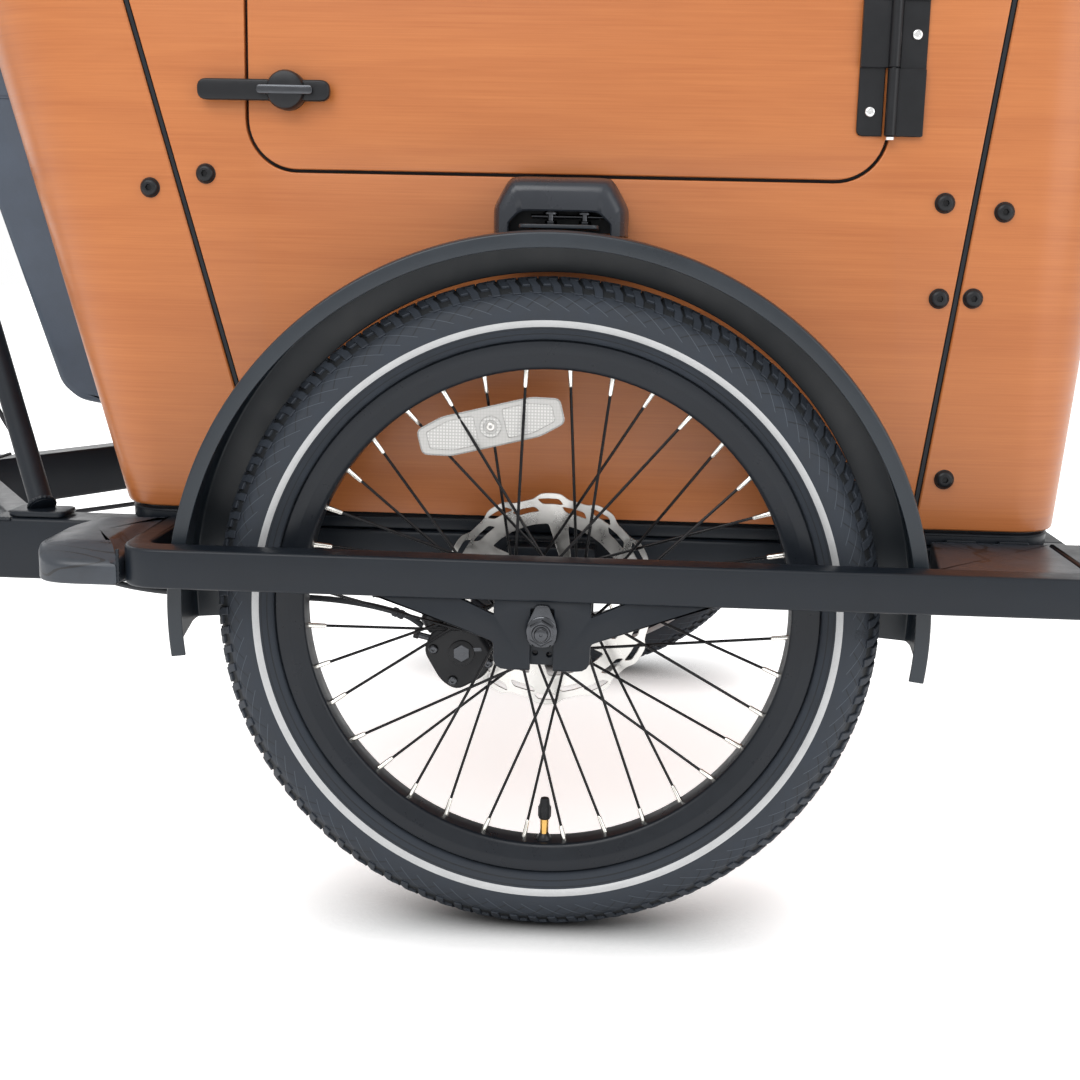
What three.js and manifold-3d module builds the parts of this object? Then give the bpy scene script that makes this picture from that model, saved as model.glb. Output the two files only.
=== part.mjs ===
// Front-loading cargo tricycle: a wooden load box on a two-wheeled carrier that steers as one unit
// about an upright column, and a rear frame with saddle, crank drive and one driven wheel.
// Millimetres, +X forward, +Y to the rider's left, +Z up. Lengths along X are first counted from
// the front axle line, and the whole model is then shifted so that the origin is mid-length.
import * as THREE from "three";
import { mergeVertices } from "three/addons/utils/BufferGeometryUtils.js";
import Module from "manifold-3d";

const wasm = await Module();
wasm.setup();

// ---- Driving dimensions ----------------------------------------------------------------------
const GAP = 0.3; // between touching pieces
const RUNNING = 1.6; // between faceted round pieces that turn in each other
const MIDLENGTH_X = -644.447; // middle of the whole tricycle, from the front axle

const FRONT_WHEEL = { planeY: 375, tyreR: 256, tyreHalf: 28, rimR: 209, rimHalf: 15, bedR: 188 };
const REAR_WHEEL = { axleX: -1400, tyreR: 330, tyreHalf: 25, rimR: 286, rimHalf: 14, bedR: 266 };
const SPOKES = 36;
const CROSSES = 3;
const SPOKE_R = 1.25;
const WHEEL_SIDES = 36;

const HUB = { endO: 43, flangeOutO: 30, flangeInO: -22, flangeR: 29, holeR: 26, discO: -35.7 };
const ROTOR = { r: 81, trackR: 66, thick: 1.8, holeR: 17.5 };
const AXLE_R = 5;

// Outward distances from a front wheel's middle plane
const GUARD = { outerO: 65, innerO: 40, bottomZ: 278, topZ: 308, rearX: -318, frontX: 425, endWidth: 18 };
const GUARD_CORNER_R = 34;
const BRACKET = { outO: 61.3, inO: 55.3, halfX: 36, dropZ: 31, slotHalf: 8.5 };
const INNER_PLATE = { outO: -50, inO: -56 };

const RAIL = { outerY: 303, innerY: 263, bottomZ: 250, topZ: 301.7, rearX: -470, frontX: 425 };
const COLUMN = { x: -640, r: 19, topZ: 1030 };
const HEAD_TUBE = { bottomZ: 432, topZ: 592, r: 27 };

const BOX = {
  bottomZ: 316, topZ: 806, halfY: 303, wall: 9,
  rearX: [-362, -523], frontX: [411, 465],
  rearR: [42, 130], frontR: [42, 100],
  rearSeamX: [-231, -367], frontSeamX: [289.7, 349.5],
  seamGap: 5, backSeamY: 152,
};
const DOOR = { rearX: -246, frontX: 250, bottomZ: 589, cornerR: 38, gap: 2.6 };
const MUDGUARD = { r: 289.5, half: 36, flange: 12.5, innerFlange: 31, wall: 2.4, dipDeg: 7.5 };
const PAD = { topZ: 307, bottomZ: 278.5, shoulderY: -413, shoulderZ: 296 };

const BRACKET_BOTTOM = FRONT_WHEEL.tyreR - BRACKET.dropZ;
const CRANK = { x: -960, z: 288, arm: 170, chainY: -54, ringR: 72 };
const SPROCKET_R = 33;
const REAR_GUARD_R = 354;
const SEAT_TUBE = { length: 400, leanDeg: 18, r: 17 };
const DROPOUT = { innerY: 70, outerY: 76 };

// ---- Materials -------------------------------------------------------------------------------
const finish = (color, roughness, metalness) =>
  new THREE.MeshStandardMaterial({ color, roughness, metalness });
const darkFrame = finish(0x2b3037, 0.45, 0.3);
const wood = finish(0xb8663a, 0.4, 0);
const rubber = finish(0x24272b, 0.85, 0);
const blackPlastic = finish(0x1e2125, 0.5, 0);
const blackAlloy = finish(0x2a2d33, 0.4, 0.6);
const steel = finish(0xb9b7b2, 0.3, 0.9);
const clearPlastic = finish(0xe6e6e0, 0.2, 0);
const leatherette = finish(0x1a1a1b, 0.6, 0);

// ---- Making solids ---------------------------------------------------------------------------
const lerp = ([a, b], t) => a + (b - a) * t;

function solidOf(geometry) {
  const bare = geometry.clone();
  bare.deleteAttribute("normal");
  bare.deleteAttribute("uv");
  const merged = mergeVertices(bare, 1e-3);
  const triVerts = new Uint32Array(merged.index.array);
  const build = () =>
    new wasm.Manifold(
      new wasm.Mesh({ numProp: 3, vertProperties: merged.attributes.position.array, triVerts }),
    );
  const made = build();
  if (made.volume() > 0) return made;
  for (let i = 0; i < triVerts.length; i += 3) {
    [triVerts[i + 1], triVerts[i + 2]] = [triVerts[i + 2], triVerts[i + 1]];
  }
  return build();
}

function geometryOf(solid) {
  const mesh = solid.getMesh();
  return new THREE.BufferGeometry()
    .setAttribute("position", new THREE.BufferAttribute(new Float32Array(mesh.vertProperties), 3))
    .setIndex(new THREE.BufferAttribute(new Uint32Array(mesh.triVerts), 1));
}

const union = (...solids) => solids.reduce((whole, next) => whole.add(next));

function block(x0, x1, y0, y1, z0, z1) {
  const box = new THREE.BoxGeometry(x1 - x0, y1 - y0, z1 - z0);
  return solidOf(box.translate((x0 + x1) / 2, (y0 + y1) / 2, (z0 + z1) / 2));
}

// A round rod between two points.
function rod(from, to, radius, sides = 12) {
  const a = new THREE.Vector3(...from);
  const b = new THREE.Vector3(...to);
  const along = b.clone().sub(a);
  const geometry = new THREE.CylinderGeometry(radius, radius, along.length(), sides);
  const turn = new THREE.Quaternion().setFromUnitVectors(
    new THREE.Vector3(0, 1, 0), along.clone().normalize());
  geometry.applyQuaternion(turn);
  return solidOf(geometry.translate(...a.add(b).multiplyScalar(0.5).toArray()));
}

const tubeBetween = (from, to, outer, inner, sides = 24) =>
  rod(from, to, outer, sides).subtract(rod(from, to, inner, sides));

// A shape drawn in X and Z, with its thickness from y0 to y1.
function plateXZ(shape, y0, y1, curveSegments = 6) {
  const flat = new THREE.ExtrudeGeometry(shape, {
    depth: y1 - y0, bevelEnabled: false, curveSegments,
  });
  return solidOf(flat.rotateX(Math.PI / 2).translate(0, y1, 0));
}

// A shape drawn in X and Y, with its thickness from z0 to z1.
function plateXY(shape, z0, z1, curveSegments = 6) {
  const flat = new THREE.ExtrudeGeometry(shape, {
    depth: z1 - z0, bevelEnabled: false, curveSegments,
  });
  return solidOf(flat.translate(0, 0, z0));
}

// An outline of [y, z] points, with its thickness from x0 to x1.
function plateYZ(points, x0, x1) {
  const flat = new THREE.ExtrudeGeometry(shapeOf(points), {
    depth: x1 - x0, bevelEnabled: false,
  });
  return solidOf(flat.rotateX(Math.PI / 2).rotateZ(Math.PI / 2).translate(x0, 0, 0));
}

function shapeOf(points) {
  return new THREE.Shape(points.map(([a, b]) => new THREE.Vector2(a, b)));
}

// A closed profile of [radius, y] pairs turned about the Y axis.
function turned(profile, segments) {
  const points = [...profile, profile[0]].map(([r, y]) => new THREE.Vector2(r, y));
  return solidOf(new THREE.LatheGeometry(points, segments));
}

// A round bar along a smooth curve.
function bentRod(points, radius, steps, sides = 8) {
  const path = new THREE.CatmullRomCurve3(points.map((p) => new THREE.Vector3(...p)),
    false, "centripetal");
  const section = new THREE.Shape().absarc(0, 0, radius, 0, 2 * Math.PI);
  return solidOf(new THREE.ExtrudeGeometry(section, {
    steps, extrudePath: path, curveSegments: sides / 2,
  }));
}

// A wall between a bottom and a top outline: two rows of outer points and two of inner points.
function ruledWall(outerLow, outerHigh, innerLow, innerHigh) {
  const positions = [];
  const quad = (a, b, c, d) => positions.push(...a, ...b, ...c, ...a, ...c, ...d);
  const last = outerLow.length - 1;
  for (let i = 0; i < last; i++) {
    quad(outerLow[i], outerLow[i + 1], outerHigh[i + 1], outerHigh[i]);
    quad(innerLow[i + 1], innerLow[i], innerHigh[i], innerHigh[i + 1]);
    quad(outerLow[i + 1], outerLow[i], innerLow[i], innerLow[i + 1]);
    quad(outerHigh[i], outerHigh[i + 1], innerHigh[i + 1], innerHigh[i]);
  }
  quad(outerLow[0], outerHigh[0], innerHigh[0], innerLow[0]);
  quad(outerHigh[last], outerLow[last], innerLow[last], innerHigh[last]);
  const geometry = new THREE.BufferGeometry();
  geometry.setAttribute("position", new THREE.Float32BufferAttribute(positions, 3));
  return solidOf(geometry);
}

// ---- The scene graph -------------------------------------------------------------------------
const tricycle = new THREE.Group();
tricycle.name = "cargo_tricycle";
const bench = new THREE.Group(); // counted from the front axle line
bench.position.x = -MIDLENGTH_X;
tricycle.add(bench);

function piece(name, solid, material, position = [0, 0, 0]) {
  const mesh = new THREE.Mesh(geometryOf(solid), material);
  mesh.name = name;
  mesh.position.set(...position);
  bench.add(mesh);
  return mesh;
}

// The rider's right one as drawn, at negative Y, and its mirror image on the left.
function pair(name, solid, material) {
  piece(name + "_right", solid, material);
  piece(name + "_left", solid, material).scale.y = -1;
}

// ---- Wheels ----------------------------------------------------------------------------------
// Each profile is [radius, y] about the wheel's own centre.
function tyre({ tyreR, tyreHalf, rimR, rimHalf }) {
  const beadY = rimHalf - 3.7;
  const bulgeR = (tyreR + rimR) / 2 - 4;
  const outside = [
    [rimR - 8.2, beadY], [rimR + 0.8, beadY], [bulgeR, tyreHalf], [tyreR - 10, tyreHalf - 6],
  ];
  const inside = [[bulgeR, tyreHalf - 5], [rimR + 2, beadY - 4], [rimR - 8.2, beadY - 4]];
  const mirrored = (points) => points.map(([r, y]) => [r, -y]).reverse();
  return turned([
    ...outside, [tyreR, 0], ...mirrored(outside), ...mirrored(inside), [tyreR - 6, 0], ...inside,
  ], WHEEL_SIDES);
}

function rim({ rimR, rimHalf, bedR }) {
  const wellR = bedR + 9;
  return turned([
    [rimR, 3 - rimHalf], [wellR, 3 - rimHalf], [wellR, rimHalf - 3], [rimR, rimHalf - 3],
    [rimR, rimHalf], [bedR, rimHalf - 3], [bedR, 3 - rimHalf], [rimR, -rimHalf],
  ], WHEEL_SIDES);
}

// Tangent spokes from both flanges to the rim bed, passing in turn outside and inside a flange.
function spokes({ bedR, flangeY, holeR, spokeR }) {
  const step = (2 * Math.PI) / SPOKES;
  const reach = bedR * Math.cos(step / 2) - 2 * GAP; // to the middle of the bed's flat
  return Array.from({ length: SPOKES }, (_, k) => {
    const way = Math.floor(k / 2) % 2 ? 1 : -1;
    const rimAngle = (k + 0.5) * step - Math.PI / 2;
    const hubAngle = rimAngle + way * CROSSES * 2 * step;
    const y = flangeY[k % 2];
    return rod(
      [holeR * Math.cos(hubAngle), y + way * 1.9, holeR * Math.sin(hubAngle)],
      [reach * Math.cos(rimAngle), y * 0.12, reach * Math.sin(rimAngle)], spokeR, 3);
  });
}

function frontHub() {
  const bore = AXLE_R + RUNNING;
  const { endO, flangeOutO, flangeInO, flangeR, discO } = HUB;
  // y is minus the outward distance, for a wheel on the right
  const shell = turned([
    [bore, -endO], [10, -endO], [17, -flangeOutO - 5], [flangeR, -flangeOutO - 2],
    [flangeR, -flangeOutO + 2], [14, -flangeOutO + 6], [14, -flangeInO - 6],
    [flangeR, -flangeInO - 2], [flangeR, -flangeInO + 2], [20, -flangeInO + 4],
    [24, -discO - 4], [24, -discO], [12, -discO], [12, endO], [bore, endO],
  ], 12);
  return union(shell, ...spokes({
    bedR: FRONT_WHEEL.bedR, flangeY: [-flangeOutO, -flangeInO], holeR: HUB.holeR, spokeR: SPOKE_R,
  }));
}

function rearHub() {
  const bore = AXLE_R + RUNNING;
  const shell = turned([
    [bore, -48], [18, -48], [30, -36], [38, -33], [38, -29], [32, -26], [34, 24], [42, 27],
    [42, 31], [34, 34], [28, 44], [14, 52], [12, 64], [bore, 64],
  ], 12);
  return union(shell, ...spokes({
    bedR: REAR_WHEEL.bedR, flangeY: [-31, 29], holeR: 37, spokeR: SPOKE_R,
  }));
}

function rotor() {
  const y0 = -HUB.discO + GAP;
  const y1 = y0 + ROTOR.thick;
  const ring = (outer, inner, segments) =>
    turned([[outer, y0], [outer, y1], [inner, y1], [inner, y0]], segments);
  const arms = Array.from({ length: 6 }, (_, k) => {
    const a = (k / 6) * 2 * Math.PI;
    const b = a + 0.42; // the arms lean with the turning direction
    const at = (r, angle) => [r * Math.cos(angle), r * Math.sin(angle)];
    const [ax, az] = at(26, a);
    const [bx, bz] = at(ROTOR.trackR + 3, b);
    const nx = -(bz - az) / 44 * 4;
    const nz = (bx - ax) / 44 * 4;
    return plateXZ(shapeOf([[ax + nx, az + nz], [ax - nx, az - nz], [bx - nx, bz - nz],
      [bx + nx, bz + nz]]), y0, y1);
  });
  return union(ring(ROTOR.r, ROTOR.trackR, 32), ring(30, ROTOR.holeR, 16), ...arms);
}

// Flat lens clipped between the spokes, with tapered ends.
function reflector() {
  const lean = THREE.MathUtils.degToRad(13);
  const lens = shapeOf([[-56, -4], [-44, -15], [44, -15], [56, -4], [56, 8], [0, 17], [-56, 8]]);
  const flat = new THREE.ExtrudeGeometry(lens, { depth: 7, bevelEnabled: false });
  flat.rotateX(Math.PI / 2).translate(0, 3.5, 0).rotateY(-lean);
  return solidOf(flat.translate(-45, 0, 143));
}

function frontWheelPieces() {
  const centre = [0, -FRONT_WHEEL.planeY, FRONT_WHEEL.tyreR];
  const placed = (solid) => solid.translate(centre);
  pair("front_tyre", placed(tyre(FRONT_WHEEL)), rubber);
  pair("front_rim", placed(rim(FRONT_WHEEL)), blackAlloy);
  pair("spoked_hub", placed(frontHub()), blackAlloy);
  pair("brake_disc", placed(rotor()), steel);
  const clear = spokes({ bedR: FRONT_WHEEL.bedR, flangeY: [-HUB.flangeOutO, -HUB.flangeInO],
    holeR: HUB.holeR, spokeR: SPOKE_R + GAP });
  const lens = clear.reduce((left, spoke) => left.subtract(spoke), reflector());
  pair("wheel_reflector", placed(largest(lens)), clearPlastic);
}

function largest(solid) {
  return solid.decompose().sort((a, b) => b.volume() - a.volume())[0];
}

// Fixed axle with its locknuts, the teardrop washer and the outer nut.
function frontAxle() {
  const y = -FRONT_WHEEL.planeY;
  const z = FRONT_WHEEL.tyreR;
  const along = (o0, o1, r, sides) => rod([0, y - o0, z], [0, y - o1, z], r, sides);
  const washer = shapeOf([[-10, z - 6], [-4, z - 11], [4, z - 11], [10, z - 6], [10, z + 5],
    [3, z + 15], [-3, z + 15], [-10, z + 5]]);
  const washerO = BRACKET.outO + GAP;
  pair("front_axle", union(
    along(-67, 74, AXLE_R, 12),
    along(HUB.endO + GAP, 48.8, 8, 6),
    along(-HUB.endO - GAP, INNER_PLATE.outO + GAP, 8, 6),
    plateXZ(washer, y - washerO - 2.4, y - washerO),
    along(washerO + 2, washerO + 10, 9.5, 6),
    along(INNER_PLATE.inO - GAP, INNER_PLATE.inO - 9, 8.5, 6),
  ), steel);
}

// ---- Guard bar, with the fork plate that holds the axle's outer end ----------------------------
function roundedBand(outer, inner) {
  // Each outline is [rear x, front x, outward y, corner radius], open towards the rails.
  const trace = ([rear, front, out, radius], path, back) => {
    const stop = -RAIL.outerY - GAP;
    const points = [[rear, stop], [rear, out + radius], [front, out + radius], [front, stop]];
    if (!back) {
      path.moveTo(...points[0]).lineTo(...points[1]);
      path.absarc(rear + radius, out + radius, radius, Math.PI, 1.5 * Math.PI);
      path.absarc(front - radius, out + radius, radius, 1.5 * Math.PI, 2 * Math.PI);
      path.lineTo(...points[3]);
    } else {
      path.lineTo(...points[3]).lineTo(...points[2]);
      path.absarc(front - radius, out + radius, radius, 0, -0.5 * Math.PI, true);
      path.absarc(rear + radius, out + radius, radius, -0.5 * Math.PI, -Math.PI, true);
      path.lineTo(...points[0]);
    }
  };
  const shape = new THREE.Shape();
  trace(outer, shape, false);
  trace(inner, shape, true);
  return shape;
}

function guardBar() {
  const planeY = -FRONT_WHEEL.planeY;
  const width = GUARD.outerO - GUARD.innerO;
  const band = plateXY(roundedBand(
    [GUARD.rearX, GUARD.frontX, planeY - GUARD.outerO, GUARD_CORNER_R],
    [GUARD.rearX + GUARD.endWidth, GUARD.frontX - width, planeY - GUARD.innerO, 12],
  ), GUARD.bottomZ, GUARD.topZ);
  const { halfX, slotHalf } = BRACKET;
  const low = BRACKET_BOTTOM;
  const top = GUARD.bottomZ + 2;
  const fork = new THREE.Shape();
  fork.moveTo(-halfX + 10, low).lineTo(-slotHalf, low).lineTo(-slotHalf, top - 7);
  fork.lineTo(slotHalf, top - 7).lineTo(slotHalf, low).lineTo(halfX - 10, low);
  fork.absarc(halfX - 10, low + 10, 10, -Math.PI / 2, 0);
  fork.lineTo(halfX, low + 20).lineTo(127, top).lineTo(63, top).lineTo(halfX, top - 12);
  fork.lineTo(halfX, top).lineTo(-halfX, top).lineTo(-halfX, top - 12).lineTo(-63, top);
  fork.lineTo(-127, top).lineTo(-halfX, low + 20).lineTo(-halfX, low + 10);
  fork.absarc(-halfX + 10, low + 10, 10, Math.PI, 1.5 * Math.PI);
  const plate = plateXZ(fork, planeY - BRACKET.outO, planeY - BRACKET.inO);
  const insert = block(-12, 12, planeY - BRACKET.inO - 1, planeY - 49.2,
    low + 3, GUARD.bottomZ + 4);
  const axleHole = rod([0, planeY - 45, FRONT_WHEEL.tyreR], [0, planeY - 58, FRONT_WHEEL.tyreR],
    AXLE_R + GAP);
  const slot = block(-slotHalf, slotHalf, planeY - 62, planeY - BRACKET.inO, low - 1, top - 7);
  return union(band, plate, insert.subtract(slot)).subtract(axleHole);
}

// Rubber tread plates behind the bar's rear end and inside its front corner.
function stepPads() {
  const rear = new THREE.Shape();
  const outY = -FRONT_WHEEL.planeY - 60;
  const inY = -RAIL.outerY - GAP;
  const farX = -386;
  const barX = GUARD.rearX - GAP;
  const bend = 30;
  rear.moveTo(barX, inY).lineTo(farX + 16, inY).lineTo(farX, inY - 40);
  rear.lineTo(farX, outY + bend);
  rear.absarc(farX + bend, outY + bend, bend, Math.PI, 1.5 * Math.PI);
  rear.lineTo(barX, outY);
  const front = new THREE.Shape();
  const front0 = 290;
  const front1 = GUARD.frontX - 25 - GAP;
  const edgeY = -FRONT_WHEEL.planeY - GUARD.innerO + GAP;
  front.moveTo(front0, edgeY).lineTo(front1 - 15, edgeY);
  front.absarc(front1 - 15, edgeY + 15, 15, -Math.PI / 2, 0);
  front.lineTo(front1, inY).lineTo(front0 + 18, inY);
  // The rear one falls away towards the outside
  const fall = plateYZ([[outY - 9, PAD.topZ + 9], [PAD.shoulderY, PAD.topZ + 9],
    [PAD.shoulderY, PAD.topZ], [outY, PAD.shoulderZ], [outY - 9, PAD.shoulderZ]],
  farX - 9, barX + 9);
  pair("rear_step_pad", plateXY(rear, PAD.bottomZ, PAD.topZ).subtract(fall), rubber);
  pair("front_step_pad", plateXY(front, PAD.bottomZ + 8, PAD.topZ), rubber);
}

// ---- Carrier frame -----------------------------------------------------------------------------
function innerBracket() {
  const planeY = -FRONT_WHEEL.planeY;
  const y0 = planeY - INNER_PLATE.outO;
  const y1 = planeY - INNER_PLATE.inO;
  const { halfX } = BRACKET;
  const low = BRACKET_BOTTOM;
  const slotX = AXLE_R + GAP;
  const outline = shapeOf([[-halfX, low + 8], [-halfX + 8, low], [-slotX, low],
    [-slotX, FRONT_WHEEL.tyreR + AXLE_R + GAP], [slotX, FRONT_WHEEL.tyreR + AXLE_R + GAP],
    [slotX, low], [halfX - 8, low], [halfX, low + 8], [halfX, 296], [-halfX, 296]]);
  return union(
    plateXZ(outline, y0, y1),
    block(-halfX, halfX, y1 - 1, -RAIL.outerY + 1, 290, 296),
  );
}

function carrierFrame() {
  const { outerY, innerY, bottomZ, topZ, rearX, frontX } = RAIL;
  const both = (make) => union(make(-1), make(1));
  const rails = both((side) => side < 0
    ? block(rearX, frontX, -outerY, -innerY, bottomZ, topZ)
    : block(rearX, frontX, innerY, outerY, bottomZ, topZ));
  const cross = (x0, x1, half) => block(x0, x1, -half, half, bottomZ, topZ);
  const baseX = COLUMN.x + 40;
  const diagonal = (side) => plateXY(shapeOf([
    [rearX + 20, side * outerY], [baseX, side * 60], [baseX, side * 14], [rearX + 20, side * 254],
  ]), bottomZ, topZ);
  const bracketRight = innerBracket();
  const bracketLeft = bracketRight.mirror([0, 1, 0]);
  return union(
    rails, both(diagonal), cross(-350, -310, innerY + 1), cross(-20, 20, innerY + 1),
    cross(frontX - 40, frontX, innerY + 1), cross(COLUMN.x - 40, baseX + 2, 60),
    bracketRight, bracketLeft,
  );
}

// Upright column, held by a long strut from each rail, with the bar clamp on top.
const STRUT = { footX: -432, footY: 283, footZ: 313, topZ: 640, r: 10 };
function steeringColumn() {
  const { x, r, topZ } = COLUMN;
  const { footX, footY, footZ, r: strutR } = STRUT;
  const foot = RAIL.topZ + GAP;
  const strut = (side) => rod([footX, side * footY, footZ], [x, 0, STRUT.topZ], strutR, 12);
  const shoe = (side) => block(footX - 24, footX + 24, side * footY - 17, side * footY + 17, foot, foot + 10);
  return union(
    rod([x, 0, foot], [x, 0, topZ], r, 24), block(x - 36, x + 36, -42, 42, foot, foot + 8),
    strut(-1), strut(1), shoe(-1), shoe(1),
    rod([x, 0, topZ - 34], [x + 52, 0, topZ + 16], 14, 12),
    rod([x + 54, -24, topZ + 18], [x + 54, 24, topZ + 18], 21, 16),
  ).subtract(rod([x + 54, -30, topZ + 18], [x + 54, 30, topZ + 18], 13.2, 16));
}

const BAR = {
  centreX: COLUMN.x + 54, centreZ: COLUMN.topZ + 18, r: 11,
  bend: [[0, 60, 0], [-20, 130, 16], [-70, 220, 30], [-120, 270, 30], [-225, 312, 26]],
};
const barPoint = ([dx, y, dz], side) => [BAR.centreX + dx, side * y, BAR.centreZ + dz];

function handlebar() {
  const half = (side) => bentRod(
    [[BAR.centreX, side * 20, BAR.centreZ], ...BAR.bend.map((p) => barPoint(p, side))],
    BAR.r, 10, 8);
  return union(rod([BAR.centreX, -61, BAR.centreZ], [BAR.centreX, 61, BAR.centreZ], 12.4, 12),
    half(-1), half(1));
}

function grip() {
  const a = new THREE.Vector3(...barPoint(BAR.bend[3], -1));
  const b = new THREE.Vector3(...barPoint(BAR.bend[4], -1));
  const along = b.clone().sub(a).normalize();
  const start = a.clone().addScaledVector(along, -6).toArray();
  const end = b.clone().addScaledVector(along, 6).toArray();
  return rod(start, end, 17, 12);
}

// Brake lever on the right: a clamp body on the bar, and the blade on its pivot.
const LEVER = { pivot: [BAR.centreX - 44, -226, BAR.centreZ + 24] };
function leverBody() {
  const [x, y, z] = LEVER.pivot;
  const clamp = rod([x - 18, y + 14, z + 3], [x - 34, y - 4, z + 4], 18, 12);
  const body = block(x - 20, x + 14, y - 2, y + 46, z - 13, z + 13);
  const slot = block(x - 24, x + 20, y - 30, y + 16, z - 5.5, z + 5.5);
  return union(clamp, body).subtract(slot);
}

function leverBlade() {
  const [x, y, z] = LEVER.pivot;
  const blade = shapeOf([[x - 8, y + 10], [x + 8, y + 12], [x + 13, y - 4], [x - 2, y - 52],
    [x - 90, y - 124], [x - 106, y - 126], [x - 102, y - 113], [x - 18, y - 44], [x - 6, y - 10]]);
  return plateXY(blade, z - 4, z + 4);
}

// ---- Load box ----------------------------------------------------------------------------------
const heightAt = (t) => BOX.bottomZ + GAP + (BOX.topZ - BOX.bottomZ - GAP) * t;

// A quarter turn of the box's outline at height t, as points going from angle a to angle b.
function corner(centreX, centreY, radius, fromDeg, toDeg, z, steps = 6) {
  return Array.from({ length: steps + 1 }, (_, i) => {
    const a = THREE.MathUtils.degToRad(fromDeg + ((toDeg - fromDeg) * i) / steps);
    return [centreX + radius * Math.cos(a), centreY + radius * Math.sin(a), z];
  });
}

function rearCornerLine(t, inset) {
  const radius = lerp(BOX.rearR, t);
  const rear = lerp(BOX.rearX, t);
  const z = heightAt(t);
  return [
    [lerp(BOX.rearSeamX, t) - BOX.seamGap / 2, inset - BOX.halfY, z],
    ...corner(rear + radius, radius - BOX.halfY, radius - inset, 270, 180, z),
    [rear + inset, -BOX.backSeamY - BOX.seamGap / 2, z],
  ];
}

function frontPanelLine(t, inset) {
  const radius = lerp(BOX.frontR, t);
  const front = lerp(BOX.frontX, t);
  const z = heightAt(t);
  const seam = lerp(BOX.frontSeamX, t) + BOX.seamGap / 2;
  const side = BOX.halfY - inset;
  return [
    [seam, -side, z],
    ...corner(front - radius, radius - BOX.halfY, radius - inset, 270, 360, z),
    ...corner(front - radius, BOX.halfY - radius, radius - inset, 0, 90, z),
    [seam, side, z],
  ];
}

function rearWallLine(t, inset) {
  const x = lerp(BOX.rearX, t) + inset;
  const y = BOX.backSeamY - BOX.seamGap / 2;
  return [[x, y, heightAt(t)], [x, -y, heightAt(t)]];
}

const wallAlong = (line) =>
  ruledWall(line(0, 0), line(1, 0), line(0, BOX.wall), line(1, BOX.wall));

function sideOutline() {
  const half = BOX.seamGap / 2;
  const low = BOX.bottomZ + GAP;
  const sill = DOOR.bottomZ - DOOR.gap;
  const rear = DOOR.rearX - DOOR.gap;
  const front = DOOR.frontX + DOOR.gap;
  const radius = DOOR.cornerR + DOOR.gap;
  const shape = new THREE.Shape();
  shape.moveTo(BOX.rearSeamX[0] + half, low).lineTo(BOX.frontSeamX[0] - half, low);
  shape.lineTo(BOX.frontSeamX[1] - half, BOX.topZ).lineTo(front, BOX.topZ);
  shape.lineTo(front, sill + radius);
  shape.absarc(front - radius, sill + radius, radius, 0, -Math.PI / 2, true);
  shape.lineTo(rear + radius, sill);
  shape.absarc(rear + radius, sill + radius, radius, -Math.PI / 2, -Math.PI, true);
  shape.lineTo(rear, BOX.topZ).lineTo(BOX.rearSeamX[1] + half, BOX.topZ);
  return shape;
}

function doorOutline() {
  const { rearX, frontX, bottomZ, cornerR } = DOOR;
  const shape = new THREE.Shape();
  shape.moveTo(rearX, BOX.topZ).lineTo(rearX, bottomZ + cornerR);
  shape.absarc(rearX + cornerR, bottomZ + cornerR, cornerR, Math.PI, 1.5 * Math.PI);
  shape.absarc(frontX - cornerR, bottomZ + cornerR, cornerR, 1.5 * Math.PI, 2 * Math.PI);
  shape.lineTo(frontX, BOX.topZ);
  return shape;
}

const HINGE = {
  x: DOOR.frontX + DOOR.gap / 2, y: -BOX.halfY - 6, z0: 622, z1: 772, leaf: 25, pinR: 4.5,
};

function doors() {
  const outer = -BOX.halfY;
  const { x, y, z0, z1, leaf, pinR } = HINGE;
  const middle = [z0 + 50, z1 - 50];
  const leafOnDoor = block(x - leaf, x - 5.4, outer - 2.4, outer + 1, z0, z1);
  const barrel = rod([x, y, middle[0] + GAP], [x, y, middle[1] - GAP], pinR, 12);
  const arm = block(x - leaf, x - 1.4, outer - 5, outer - 1, middle[0] + GAP, middle[1] - GAP);
  const pinHole = rod([x, y, z0 - 1], [x, y, z1 + 1], 2.4, 12);
  const panel = plateXZ(doorOutline(), outer, outer + BOX.wall);
  pair("side_door", union(panel, leafOnDoor, arm, barrel).subtract(pinHole), wood);
  const fixed = (low, high) => union(
    rod([x, y, low], [x, y, high], pinR, 12),
    block(x + 1.4, x + leaf, outer - 5, outer - GAP, low, high),
  );
  pair("door_hinge", union(
    fixed(z0, middle[0]), fixed(middle[1], z1), rod([x, y, z0 - 3], [x, y, z1 + 3], 1.6, 8),
    block(x + 4.8, x + leaf, outer - 2.4, outer - GAP, z0, z1),
  ), blackAlloy);
}

// Turn button on the door's free edge: a round boss and a tongue that laps the side panel.
const LATCH = { x: DOOR.rearX + 32, z: 648 };
function doorLatch() {
  const outer = -BOX.halfY - GAP;
  const { x, z } = LATCH;
  return union(
    rod([x, outer, z], [x, outer - 16, z], 15, 16),
    block(x - 70, x + 34, outer - 11, outer - 4, z - 8, z + 8),
  );
}

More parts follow.
